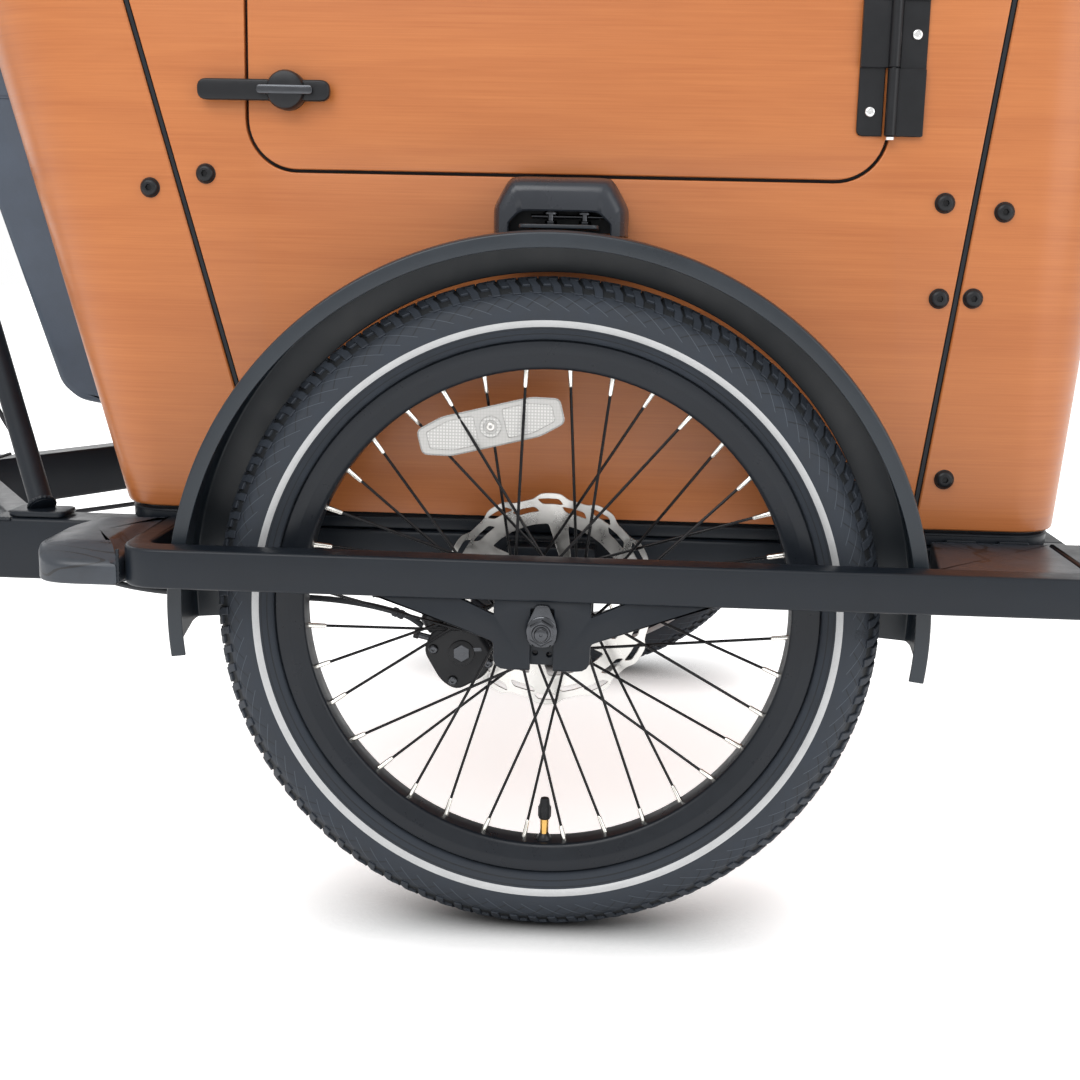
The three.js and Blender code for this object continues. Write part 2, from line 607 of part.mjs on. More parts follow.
// Steel tray that follows the box's outline, with the posts behind the panel seams.
function boxFrame() {
  const outline = (inset) => {
    const [rear, front] = [BOX.rearX[0] + inset, BOX.frontX[0] - inset];
    const radius = BOX.rearR[0] - inset;
    const y = BOX.halfY - inset;
    return [
      ...corner(rear + radius, radius - y, radius, 180, 270, 0),
      ...corner(front - radius, radius - y, radius, 270, 360, 0),
      ...corner(front - radius, y - radius, radius, 0, 90, 0),
      ...corner(rear + radius, y - radius, radius, 90, 180, 0),
    ].map(([x, yy]) => [x, yy]);
  };
  const traySolid = (inset) => plateXY(shapeOf(outline(inset)), RAIL.topZ + GAP, BOX.bottomZ);
  const ring = traySolid(4).subtract(
    plateXY(shapeOf(outline(28)), RAIL.topZ, BOX.bottomZ + 1));
  const behind = BOX.wall + GAP;
  const post = (seamX, side) => {
    const strip = (halfWidth, insetA, insetB, t0, t1) => {
      const line = (t, inset) => {
        const x = lerp(seamX, t);
        return [[x - halfWidth, side * (BOX.halfY - inset), heightAt(t)],
          [x + halfWidth, side * (BOX.halfY - inset), heightAt(t)]];
      };
      return ruledWall(line(t0, insetA), line(t1, insetA), line(t0, insetB), line(t1, insetB));
    };
    return union(strip(17, behind, behind + 6, -0.012, 0.985),
      strip(1.8, 2, behind + 2, -0.012, 0.985));
  };
  const posts = [BOX.rearSeamX, BOX.frontSeamX].flatMap((seam) => [post(seam, -1), post(seam, 1)]);
  return union(ring, ...posts);
}

function boxFloor() {
  const inset = BOX.wall + 8;
  const [rear, front] = [BOX.rearX[0] + inset, BOX.frontX[0] - inset];
  const y = BOX.halfY - inset;
  const cut = 22;
  return plateXY(shapeOf([
    [rear, -y + cut], [rear + cut, -y], [front - cut, -y], [front, -y + cut],
    [front, y - cut], [front - cut, y], [rear + cut, y], [rear, y - cut],
  ]), BOX.bottomZ + GAP, BOX.bottomZ + 9);
}

// Slim stowage case hung on the rear wall, its underside sloped.
function rearCase() {
  const back = (z, off) => lerp(BOX.rearX, (z - BOX.bottomZ) / (BOX.topZ - BOX.bottomZ)) - off;
  const half = 140;
  const z0 = 372;
  const z1 = 760;
  const profile = shapeOf([[back(z0, GAP), z0], [back(z0 + 12, 66), z0 + 12],
    [back(z0 + 26, 78), z0 + 26], [back(z1 - 14, 78), z1 - 14], [back(z1, 66), z1],
    [back(z1, GAP), z1]]);
  return plateXZ(profile, -half, half);
}

// ---- Mudguards ---------------------------------------------------------------------------------
function channelArc({ radius, half, flange, inner, wall, fromDeg, toDeg, lift, steps }) {
  const section = [
    [radius, -half], [radius, half], [radius - inner, half], [radius - inner, half - wall],
    [radius - wall - 2, half - wall], [radius - wall - 2, wall - half],
    [radius - flange, wall - half], [radius - flange, -half],
  ];
  const at = (share) => section.map(([r, y]) => {
    const rise = (lift * (y + half)) / (2 * half);
    const angle = THREE.MathUtils.degToRad(fromDeg + rise + (toDeg - fromDeg - 2 * rise) * share);
    return [r * Math.cos(angle), y, r * Math.sin(angle)];
  });
  const angles = Array.from({ length: steps + 1 }, (_, i) => i / steps);
  const positions = [];
  angles.slice(1).forEach((angle, i) => {
    const a = at(angles[i]);
    const b = at(angle);
    a.forEach((_, k) => {
      const n = (k + 1) % a.length;
      positions.push(...a[k], ...a[n], ...b[n], ...a[k], ...b[n], ...b[k]);
    });
  });
  const faces = THREE.ShapeUtils.triangulateShape(
    section.map(([r, y]) => new THREE.Vector2(r, y)), []);
  const first = at(angles[0]);
  const end = at(angles[steps]);
  faces.forEach(([p, q, s]) => {
    positions.push(...first[p], ...first[s], ...first[q], ...end[p], ...end[q], ...end[s]);
  });
  const geometry = new THREE.BufferGeometry();
  geometry.setAttribute("position", new THREE.Float32BufferAttribute(positions, 3));
  return solidOf(geometry);
}

function frontMudguard() {
  const { r, half, flange, innerFlange, wall, dipDeg } = MUDGUARD;
  const arch = channelArc({ radius: r, half, flange, inner: innerFlange, wall, fromDeg: -dipDeg,
    toDeg: 180 + dipDeg, lift: 3, steps: 24 })
    .translate([0, -FRONT_WHEEL.planeY, FRONT_WHEEL.tyreR]);
  const crownZ = FRONT_WHEEL.tyreR + r;
  const wallY = -BOX.halfY - GAP;
  const tongue = block(-26, 32, -FRONT_WHEEL.planeY - 18, wallY, crownZ - 2, crownZ + 3);
  const upright = block(-26, 32, wallY - 3, wallY, crownZ, crownZ + 34);
  return union(arch, tongue, upright);
}

// Hood over the bracket that carries the mudguard, open underneath and towards the rider's side.
function mudguardHood() {
  const wallY = -BOX.halfY - GAP;
  const outY = wallY - 50;
  const lowZ = FRONT_WHEEL.tyreR + MUDGUARD.r + 1;
  const shell = plateXZ(shapeOf([[-50, lowZ], [54, lowZ], [54, lowZ + 18], [40, lowZ + 40],
    [-36, lowZ + 40], [-50, lowZ + 18]]), outY, wallY);
  const hollow = plateXZ(shapeOf([[-44, lowZ - 5], [48, lowZ - 5], [48, lowZ + 14],
    [38, lowZ + 35], [-34, lowZ + 35], [-44, lowZ + 14]]), outY + 4, wallY + 2);
  const mouth = plateXZ(shapeOf([[-42, lowZ - 5], [46, lowZ - 5], [40, lowZ + 18],
    [-36, lowZ + 18]]), outY - 2, outY + 6);
  return shell.subtract(hollow).subtract(mouth);
}

// ---- Front brakes ------------------------------------------------------------------------------
function caliper() {
  const planeY = -FRONT_WHEEL.planeY;
  const turn = THREE.MathUtils.degToRad(212);
  const place = (r0, r1, a0, a1, o0, o1) => {
    const box = new THREE.BoxGeometry(r1 - r0, o0 - o1, a1 - a0);
    box.translate((r0 + r1) / 2, 0, (a0 + a1) / 2).rotateY(-turn);
    return solidOf(box.translate(0, planeY - (o0 + o1) / 2, FRONT_WHEEL.tyreR));
  };
  const body = place(60, 106, -26, 26, -21.5, -49.5);
  const discSlot = place(50, 86, -40, 40, -34, -40);
  const arm = place(34, 72, -8, 18, -44, -49.5);
  return union(body, arm).subtract(discSlot);
}

// Hydraulic hose from the lever, down ahead of the head tube, under the frame to each caliper.
function brakeHose() {
  const [lx, ly, lz] = LEVER.pivot;
  const aheadX = COLUMN.x + HEAD_TUBE.r + 7;
  const lowZ = RAIL.bottomZ - 6;
  const join = [COLUMN.x + 86, 0, lowZ];
  const branch = (side) => bentRod([
    join, [-536, side * 30, lowZ], [-470, side * 120, lowZ], [-410, side * 236, lowZ],
    [-360, side * 288, lowZ], [-290, side * 311, lowZ], [-183, side * 324, 247],
    [-123, side * 336, 241], [-101, side * 337, 230.5],
  ], 2.5, 16, 6);
  const down = bentRod([
    [lx + 16, ly + 24, lz - 2], [lx + 46, ly + 62, lz - 24], [lx + 60, -90, lz - 130],
    [aheadX + 10, -26, lz - 250], [aheadX, 0, 660], [aheadX, 0, 440],
    [aheadX + 14, 0, 370], [COLUMN.x + 84, 0, 300], join,
  ], 2.5, 16, 6);
  const splitter = block(join[0] - 8, join[0] + 12, -7, 7, lowZ - 5, lowZ + 5);
  return union(down, branch(-1), branch(1), splitter);
}

// ---- Rear frame --------------------------------------------------------------------------------
const leanOf = (length) => {
  const a = THREE.MathUtils.degToRad(SEAT_TUBE.leanDeg);
  return [CRANK.x - length * Math.sin(a), 0, CRANK.z + length * Math.cos(a)];
};

function mainFrame() {
  const { x } = COLUMN;
  const { axleX, tyreR } = REAR_WHEEL;
  const head = rod([x, 0, HEAD_TUBE.bottomZ], [x, 0, HEAD_TUBE.topZ], HEAD_TUBE.r, 24);
  const beam = rod([x - 18, 0, 492], [CRANK.x, 0, CRANK.z + 10], 30, 14);
  const brace = rod([x - 16, 0, 568], leanOf(196), 16, 12);
  const shell = rod([CRANK.x, -36, CRANK.z], [CRANK.x, 36, CRANK.z], 25, 20);
  const seatTube = rod(leanOf(0), leanOf(SEAT_TUBE.length), SEAT_TUBE.r, 20);
  const bridgeAt = leanOf(SEAT_TUBE.length - 40);
  const stayTop = (side) => [bridgeAt[0] - 8, side * 36, bridgeAt[2]];
  const middleY = (DROPOUT.innerY + DROPOUT.outerY) / 2;
  const dropout = shapeOf([[axleX - 16, tyreR - 8], [axleX - 8, tyreR - 16],
    [axleX + 48, tyreR - 15], [axleX + 48, tyreR + 6], [axleX + 30, tyreR + 48],
    [axleX + 10, tyreR + 48], [axleX - 16, tyreR + 12]]);
  const side = (s) => union(
    rod([CRANK.x - 8, s * 27, CRANK.z], [axleX + 32, s * middleY, tyreR - 4], 9, 10),
    rod(stayTop(s), [axleX + 22, s * middleY, tyreR + 34], 8, 10),
    plateXZ(dropout, s < 0 ? -DROPOUT.outerY : DROPOUT.innerY,
      s < 0 ? -DROPOUT.innerY : DROPOUT.outerY),
  );
  const bridge = rod(stayTop(-1), stayTop(1), 9, 10);
  // A lower bridge, on the line of the stays, holds the mudguard
  const towards = (r) => {
    const run = Math.hypot(stayTop(1)[0] - axleX, stayTop(1)[2] - tyreR);
    const part = r / run;
    return [axleX + (stayTop(1)[0] - axleX) * part, tyreR + (stayTop(1)[2] - tyreR) * part];
  };
  const [lowX, lowZ] = towards(REAR_GUARD_R + 7.5);
  const lowBridge = rod([lowX, -44, lowZ], [lowX, 44, lowZ], 6.5, 10);
  const bores = union(
    rod([x, 0, HEAD_TUBE.bottomZ - 9], [x, 0, HEAD_TUBE.topZ + 9], COLUMN.r + RUNNING, 24),
    rod([CRANK.x, -40, CRANK.z], [CRANK.x, 40, CRANK.z], 8 + RUNNING, 20),
    rod(leanOf(40), leanOf(SEAT_TUBE.length + 9), 14.2, 20),
    rod([axleX, -90, tyreR], [axleX, 90, tyreR], AXLE_R + GAP, 12),
  );
  const [slitX, , slitZ] = leanOf(SEAT_TUBE.length - 8);
  const slit = block(slitX - 60, slitX - 8, -1.6, 1.6, slitZ - 24, slitZ + 30);
  return union(head, beam, brace, shell, seatTube, seatBinder(), side(-1), side(1), bridge,
    lowBridge).subtract(bores).subtract(slit);
}

// Ears and slit at the seat tube's mouth, which a bolt draws together.
function seatBinder() {
  const collar = rod(leanOf(SEAT_TUBE.length - 12), leanOf(SEAT_TUBE.length), 20, 20);
  const [x, , z] = leanOf(SEAT_TUBE.length - 8);
  return union(collar, block(x - 32, x - 14, -11, 11, z - 6, z + 7));
}

const SADDLE_AT = leanOf(SEAT_TUBE.length + 210);
function seatPost() {
  const bottom = leanOf(SEAT_TUBE.length - 130);
  const [x, , z] = leanOf(SEAT_TUBE.length + 178);
  return union(rod(bottom, leanOf(SEAT_TUBE.length + 178), 13.4, 16),
    block(x - 22, x + 22, -26, 26, z - 6, z + 16));
}

function saddle() {
  const [x, , z] = SADDLE_AT;
  const plan = new THREE.Shape();
  plan.moveTo(x - 128, 0).bezierCurveTo(x - 132, -60, x - 118, -104, x - 72, -106);
  plan.bezierCurveTo(x - 20, -104, x + 10, -40, x + 60, -26);
  plan.bezierCurveTo(x + 110, -20, x + 134, -22, x + 134, 0);
  plan.bezierCurveTo(x + 134, 22, x + 110, 20, x + 60, 26);
  plan.bezierCurveTo(x + 10, 40, x - 20, 104, x - 72, 106);
  plan.bezierCurveTo(x - 118, 104, x - 132, 60, x - 128, 0);
  const body = plateXY(plan, z + 4, z + 52, 6);
  const [px, , pz] = leanOf(SEAT_TUBE.length + 178);
  const clear = block(px - 24, px + 24, -28, 28, pz - 10, pz + 17);
  const rail = (side) => rod([x - 70, side * 22, z + 8], [x + 86, side * 22, z + 8], 3.5, 8);
  return union(body, rail(-1), rail(1)).subtract(clear);
}

// Rear mudguard with its pair of wire stays, which end at the dropouts.
function rearMudguard() {
  const { axleX, tyreR } = REAR_WHEEL;
  const guard = channelArc({ radius: REAR_GUARD_R, half: 30, flange: 14, inner: 14, wall: 2.4, fromDeg: 22,
    toDeg: 196, lift: 0, steps: 20 }).translate([axleX, 0, tyreR]);
  const a = THREE.MathUtils.degToRad(158);
  const wire = (side) => rod(
    [axleX + (REAR_GUARD_R - 7) * Math.cos(a), side * 29, tyreR + (REAR_GUARD_R - 7) * Math.sin(a)],
    [axleX - 9, side * (DROPOUT.outerY + 4), tyreR + 11], 2.5, 6);
  return union(guard, wire(-1), wire(1));
}

// ---- Drive -------------------------------------------------------------------------------------
function chainLoop() {
  const { axleX, tyreR } = REAR_WHEEL;
  const span = Math.hypot(CRANK.x - axleX, CRANK.z - tyreR);
  const tilt = Math.atan2(CRANK.z - tyreR, CRANK.x - axleX);
  // The run leaves both wheels square to the line that touches them on one side.
  const belt = (grow) => {
    const big = CRANK.ringR + 5 + grow;
    const small = SPROCKET_R + 5 + grow;
    const lean = Math.acos((big - small) / span);
    const arc = (cx, cz, r, from, to, steps) => Array.from({ length: steps + 1 }, (_, i) => {
      const a = from + ((to - from) * i) / steps;
      return [cx + r * Math.cos(a), cz + r * Math.sin(a)];
    });
    return [
      ...arc(CRANK.x, CRANK.z, big, tilt - (Math.PI - lean), tilt + (Math.PI - lean), 24),
      ...arc(axleX, tyreR, small, tilt + (Math.PI - lean), tilt + (Math.PI + lean), 16),
    ];
  };
  const y0 = CRANK.chainY - 4;
  const y1 = CRANK.chainY + 4;
  return plateXZ(shapeOf(belt(4)), y0, y1)
    .subtract(plateXZ(shapeOf(belt(-4)), y0 - 1, y1 + 1));
}

function rearSprocket() {
  const { axleX, tyreR } = REAR_WHEEL;
  const y = CRANK.chainY;
  return turned([[AXLE_R + 4, y - 2], [SPROCKET_R, y - 1.2], [SPROCKET_R, y + 1.2], [22, y + 2],
    [22, y + 5.6], [AXLE_R + 4, y + 5.6]], 20).translate([axleX, 0, tyreR]);
}

function crankset() {
  const { x, z, arm, chainY, ringR } = CRANK;
  const spindle = rod([x, -78, z], [x, 76, z], 8, 16);
  const ring = turned([[ringR, chainY - 1.5], [ringR, chainY + 1.5], [7, chainY + 1.5],
    [7, chainY - 1.5]], 32).translate([x, 0, z]);
  const window = (k) => {
    const a = ((k + 0.5) / 5) * 2 * Math.PI;
    return rod([x + 46 * Math.cos(a), chainY - 9, z + 46 * Math.sin(a)],
      [x + 46 * Math.cos(a), chainY + 9, z + 46 * Math.sin(a)], 14, 12);
  };
  const pierced = [0, 1, 2, 3, 4].reduce((left, k) => left.subtract(window(k)), ring);
  const armBar = (way, y0, y1) => {
    const bar = shapeOf([[x - way * 18, z - 15], [x + way * 20, z - 15],
      [x + way * (arm + 12), z - 9], [x + way * (arm + 16), z], [x + way * (arm + 12), z + 9],
      [x + way * 20, z + 15], [x - way * 18, z + 15]]);
    return plateXZ(bar, y0, y1);
  };
  const eye = (way, y0, y1) =>
    rod([x + way * arm, y0, z], [x + way * arm, y1, z], 5.6, 12);
  return union(spindle, pierced, rod([x, chainY - 8, z], [x, chainY + 6, z], 17, 16),
    armBar(1, -78, -62), armBar(-1, 62, 76))
    .subtract(eye(1, -90, -50)).subtract(eye(-1, 40, 90));
}

// Pedal about its own spindle: [forward or back, side, inner face].
function pedal(way, side, innerY) {
  const { x, z, arm } = CRANK;
  const px = x + way * arm;
  const [y0, y1] = side < 0 ? [-innerY - 100, -innerY - 8] : [innerY + 8, innerY + 100];
  const body = shapeOf([[px - 42, z - 7], [px - 36, z - 12], [px + 36, z - 12], [px + 42, z - 7],
    [px + 42, z + 7], [px + 36, z + 12], [px - 36, z + 12], [px - 42, z + 7]]);
  const inner = side * (innerY - 14);
  return union(plateXZ(body, y0, y1), rod([px, inner, z], [px, side * (innerY + 12), z], 4.2, 12),
    rod([px, side * (innerY + GAP), z], [px, side * (innerY + 12), z], 9, 12));
}

function rearAxle() {
  const { axleX, tyreR } = REAR_WHEEL;
  const along = (y0, y1, r, sides) => rod([axleX, y0, tyreR], [axleX, y1, tyreR], r, sides);
  const lock = DROPOUT.innerY - GAP;
  const nut = DROPOUT.outerY + GAP;
  return union(along(-90, 90, AXLE_R, 12), along(-lock, -58.6, 8, 6), along(64.5, lock, 8, 6),
    along(-nut - 10, -nut, 9.5, 6), along(nut, nut + 10, 9.5, 6));
}

// ---- Assembly ----------------------------------------------------------------------------------
function rearWheelPieces() {
  const centre = [REAR_WHEEL.axleX, 0, REAR_WHEEL.tyreR];
  piece("rear_tyre", tyre(REAR_WHEEL).translate(centre), rubber);
  piece("rear_rim", rim(REAR_WHEEL).translate(centre), blackAlloy);
  piece("rear_spoked_hub", rearHub().translate(centre), blackAlloy);
}

frontWheelPieces();
frontAxle();
pair("guard_bar", guardBar(), darkFrame);
stepPads();
pair("front_mudguard", frontMudguard(), blackPlastic);
pair("mudguard_hood", mudguardHood(), blackPlastic);
pair("brake_caliper", caliper(), blackAlloy);

piece("carrier_frame", carrierFrame(), darkFrame);
piece("steering_column", steeringColumn(), darkFrame);
piece("handlebar", handlebar(), blackAlloy);
pair("grip", grip().subtract(handlebarClearance()), rubber);
piece("brake_lever_body", leverBody().subtract(handlebarClearance()), blackAlloy);
piece("brake_lever", leverBlade(), blackAlloy);
piece("brake_hose", brakeHose(), rubber);

piece("box_frame", boxFrame(), darkFrame);
piece("box_floor", boxFloor(), wood);
piece("front_panel", wallAlong(frontPanelLine), wood);
pair("rear_corner_panel", wallAlong(rearCornerLine), wood);
piece("rear_wall", wallAlong(rearWallLine), wood);
pair("side_panel", plateXZ(sideOutline(), -BOX.halfY, BOX.wall - BOX.halfY), wood);
doors();
pair("door_latch", doorLatch(), blackAlloy);
piece("rear_case", rearCase(), blackPlastic);

piece("main_frame", mainFrame(), darkFrame);
piece("seat_post", seatPost(), blackAlloy);
piece("saddle", saddle(), leatherette);
piece("rear_mudguard", rearMudguard(), blackPlastic);
rearWheelPieces();
piece("rear_axle", rearAxle(), steel);
piece("chain", chainLoop(), steel);
piece("rear_sprocket", rearSprocket(), steel);
piece("crankset", crankset(), blackAlloy);
piece("pedal_right", pedal(1, -1, 78), blackPlastic);
piece("pedal_left", pedal(-1, 1, 76), blackPlastic);

// The bar's own outline, a hair larger, for what is clamped round it.
function handlebarClearance() {
  const half = (side) => bentRod(
    [[BAR.centreX, side * 20, BAR.centreZ], ...BAR.bend.map((p) => barPoint(p, side))],
    BAR.r + GAP, 10, 8);
  return union(half(-1), half(1));
}

export default tricycle;
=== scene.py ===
"""Visual model of a front-loading cargo tricycle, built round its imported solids.

Shapes are worked out in millimetres, counted from the front axle line along X, from the middle
plane along Y and from the ground along Z, and are moved into the frame's metres when a mesh is made.
"""
import logging
import math
from dataclasses import dataclass, field
from enum import Enum
from typing import Callable, Optional, Sequence

import bmesh
import bpy
import numpy as np
from mathutils import Matrix, Vector
from mathutils.geometry import tessellate_polygon


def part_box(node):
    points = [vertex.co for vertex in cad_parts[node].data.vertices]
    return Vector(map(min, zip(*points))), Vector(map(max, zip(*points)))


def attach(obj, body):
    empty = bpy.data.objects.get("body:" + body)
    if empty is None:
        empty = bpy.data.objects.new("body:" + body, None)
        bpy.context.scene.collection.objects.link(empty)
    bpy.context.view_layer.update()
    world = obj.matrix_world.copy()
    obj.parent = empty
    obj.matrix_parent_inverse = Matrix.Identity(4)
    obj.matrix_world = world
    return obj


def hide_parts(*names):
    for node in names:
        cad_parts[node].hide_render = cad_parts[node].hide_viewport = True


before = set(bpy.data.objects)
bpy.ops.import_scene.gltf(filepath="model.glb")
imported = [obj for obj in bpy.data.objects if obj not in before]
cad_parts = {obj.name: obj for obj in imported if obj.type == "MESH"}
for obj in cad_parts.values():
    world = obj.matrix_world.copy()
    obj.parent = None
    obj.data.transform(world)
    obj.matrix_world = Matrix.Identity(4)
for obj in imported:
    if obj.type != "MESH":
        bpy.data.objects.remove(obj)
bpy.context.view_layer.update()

logging.basicConfig(level=logging.INFO, format="%(message)s")
LOG = logging.getLogger("tricycle")

MM = 0.001
_TYRE_LOW, _TYRE_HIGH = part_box("front_tyre_right")
ORIGIN_X = (_TYRE_LOW.x + _TYRE_HIGH.x) / 2
AXLE_Z = (_TYRE_LOW.z + _TYRE_HIGH.z) / 2 / MM
WHEEL_Y = -(_TYRE_LOW.y + _TYRE_HIGH.y) / 2 / MM


class Side(Enum):
    """The rider's right or left; the value is the sign of Y on that side."""

    RIGHT = -1
    LEFT = 1

    @property
    def word(self) -> str:
        """The side's name as it stands in piece and body names."""
        return self.name.lower()


class Plane(Enum):
    """The plane an outline is drawn in; the value lists where first, second and depth axes go."""

    XZ = (0, 2, 1)
    XY = (0, 1, 2)
    YZ = (1, 2, 0)


# ---- Curves and outlines ----------------------------------------------------------------------

def unit(vectors: np.ndarray) -> np.ndarray:
    """Scales each vector along the last axis to length one."""
    return vectors / np.maximum(np.linalg.norm(vectors, axis=-1, keepdims=True), 1e-9)


def smooth(low: float, high: float, values: np.ndarray) -> np.ndarray:
    """Rises from 0 at low to 1 at high along 3t^2 - 2t^3."""
    t = np.clip((values - low) / (high - low), 0.0, 1.0)
    return t * t * (3.0 - 2.0 * t)


def curve_through(knots: Sequence[Sequence[float]], count: int, closed: bool = False) -> np.ndarray:
    """Catmull-Rom curve: each span blends its four nearest knots with cubic weights.

    Args:
        knots: points the curve passes through.
        count: how many points to give back.
        closed: whether the last knot joins the first.

    Returns:
        Array of count points.
    """
    p = np.asarray(knots, float)
    n = len(p)
    spans = n if closed else n - 1
    u = np.linspace(0.0, spans, count, endpoint=not closed)
    i = np.minimum(u.astype(int), spans - 1)
    f = (u - i)[:, None]
    pick = [(i + k) % n if closed else np.clip(i + k, 0, n - 1) for k in (-1, 0, 1, 2)]
    a, b, c, d = (p[k] for k in pick)
    return 0.5 * (2 * b + (c - a) * f + (2 * a - 5 * b + 4 * c - d) * f ** 2
                  + (3 * b - a - 3 * c + d) * f ** 3)


def filleted(corners: Sequence[Sequence[float]], cut: object, steps: int = 5) -> np.ndarray:
    """Rounds an outline's corners: each is cut back along both edges and joined by a parabola.

    Args:
        corners: the outline's corners in order.
        cut: length cut from each edge, one for all or one for each corner.
        steps: points along each rounded corner.

    Returns:
        Array of points, steps for each corner.
    """
    p = np.asarray(corners, float)
    back, ahead = np.roll(p, 1, 0) - p, np.roll(p, -1, 0) - p
    reach = np.broadcast_to(np.asarray(cut, float), (len(p),))[:, None]
    start, end = p + unit(back) * reach, p + unit(ahead) * reach
    s = np.linspace(0.0, 1.0, steps)[None, :, None]
    return ((1 - s) ** 2 * start[:, None] + 2 * s * (1 - s) * p[:, None]
            + s ** 2 * end[:, None]).reshape(-1, p.shape[1])


def circle(radius: float, count: int, centre: Sequence[float] = (0.0, 0.0), start: float = 0.0
           ) -> np.ndarray:
    """Points round a circle, anticlockwise from the start angle in radians."""
    a = start + np.arange(count) * 2 * np.pi / count
    return np.stack([centre[0] + radius * np.cos(a), centre[1] + radius * np.sin(a)], 1)


def arc(centre: Sequence[float], radius: float, start: float, end: float, count: int) -> np.ndarray:
    """Points along a circle's arc between two angles in degrees."""
    a = np.radians(np.linspace(start, end, count))
    return np.stack([centre[0] + radius * np.cos(a), centre[1] + radius * np.sin(a)], 1)


def rounded_box(width: float, height: float, radius: float, steps: int = 4) -> np.ndarray:
    """A rounded rectangle's outline about its centre."""
    w, h = width / 2, height / 2
    return filleted([(-w, -h), (w, -h), (w, h), (-w, h)], radius, steps)


def offset_loop(loop: np.ndarray, distance: float) -> np.ndarray:
    """Moves each point of an anticlockwise loop outwards, square to the edges that meet there."""
    ahead = unit(np.roll(loop, -1, 0) - loop)
    behind = unit(loop - np.roll(loop, 1, 0))
    out_a = np.stack([ahead[:, 1], -ahead[:, 0]], 1)
    out_b = np.stack([behind[:, 1], -behind[:, 0]], 1)
    middle = unit(out_a + out_b)
    spread = np.maximum((middle * out_a).sum(1, keepdims=True), 0.5)
    return loop + middle * distance / spread


def turn_way(loop: np.ndarray) -> float:
    """Signed area of a loop: positive when it runs anticlockwise."""
    x, y = loop[:, 0], loop[:, 1]
    return float(0.5 * np.sum(x * np.roll(y, -1) - np.roll(x, -1) * y))


# ---- Shells: closed surfaces in millimetres ------------------------------------------------------

@dataclass
class Shell:
    """One closed surface.

    Points are in millimetres. Faces are arrays of corner numbers, one array for each corner count.
    Marks hold two pattern coordinates and a spare number for each point. Slot is the material's
    place in the piece's list, and can be one number or one for each face array.
    """

    points: np.ndarray
    faces: list
    marks: Optional[np.ndarray] = None
    slots: object = 0

    def moved(self, change: Callable[[np.ndarray], np.ndarray]) -> "Shell":
        """The same surface with its points put through a function."""
        return Shell(change(self.points), self.faces, self.marks, self.slots)

    def shifted(self, x: float = 0.0, y: float = 0.0, z: float = 0.0) -> "Shell":
        """The same surface moved by a step."""
        return self.moved(lambda p: p + np.array([x, y, z]))

    def painted(self, slot: int) -> "Shell":
        """The same surface in another of the piece's materials."""
        return Shell(self.points, self.faces, self.marks, slot)


def grid_shell(points: np.ndarray, wrap_rows: bool = False, wrap_cols: bool = True,
               caps: bool = True, marks: Optional[np.ndarray] = None, slot: int = 0,
               band: Optional[tuple] = None) -> Shell:
    """Joins a grid of points into faces: four neighbours in rows and columns make one quad.

    Args:
        points: array of rows by columns by 3.
        wrap_rows: whether the last row joins the first.
        wrap_cols: whether the last column joins the first.
        caps: whether the first and last rows are closed with a flat face.
        marks: pattern coordinates, rows by columns by 3.
        slot: material number.
        band: (first column, last column, material number) painted otherwise.

    Returns:
        The surface.
    """
    rows, cols = points.shape[:2]
    r = np.arange(rows if wrap_rows else rows - 1)
    c = np.arange(cols if wrap_cols else cols - 1)
    r0, c0 = np.meshgrid(r, c, indexing="ij")
    r1, c1 = (r0 + 1) % rows, (c0 + 1) % cols
    quads = np.stack([r0 * cols + c0, r1 * cols + c0, r1 * cols + c1, r0 * cols + c1], -1)
    faces, slots = [quads.reshape(-1, 4)], [slot]
    if band is not None:
        inside = (c0 >= band[0]) & (c0 < band[1])
        faces = [quads[~inside], quads[inside]]
        slots = [slot, band[2]]
    if caps and not wrap_rows:
        first = np.arange(cols)[None, :]
        faces += [first, (first + (rows - 1) * cols)[:, ::-1]]
        slots += [slot, slot]
    flat = None if marks is None else marks.reshape(-1, 3)
    return Shell(points.reshape(-1, 3), faces, flat, slots)


def revolved(profile: Sequence[Sequence[float]], segments: int, start: float = 0.0,
             slot: int = 0, band: Optional[tuple] = None) -> Shell:
    """Turns a closed profile of (radius, y) about the Y axis.

    A point sits at radius times cosine and sine of the turning angle in X and Z.

    Args:
        profile: closed loop of radius and y; points at radius 0 meet at a pole.
        segments: how many steps go round.
        start: angle of the first step in radians.
        slot: material number.
        band: profile points painted in another material.

    Returns:
        The surface, marked with (step round, distance along the profile).
    """
    p = np.asarray(profile, float)
    a = start + np.arange(segments) * 2 * np.pi / segments
    x = np.cos(a)[:, None] * p[None, :, 0]
    z = np.sin(a)[:, None] * p[None, :, 0]
    y = np.broadcast_to(p[None, :, 1], x.shape)
    along = np.concatenate([[0.0], np.cumsum(np.linalg.norm(np.diff(p, axis=0), axis=1))])
    marks = np.stack([np.broadcast_to(a[:, None], x.shape),
                      np.broadcast_to(along[None, :], x.shape), np.zeros_like(x)], -1)
    return grid_shell(np.stack([x, y, z], -1), wrap_rows=True, marks=marks, slot=slot, band=band)


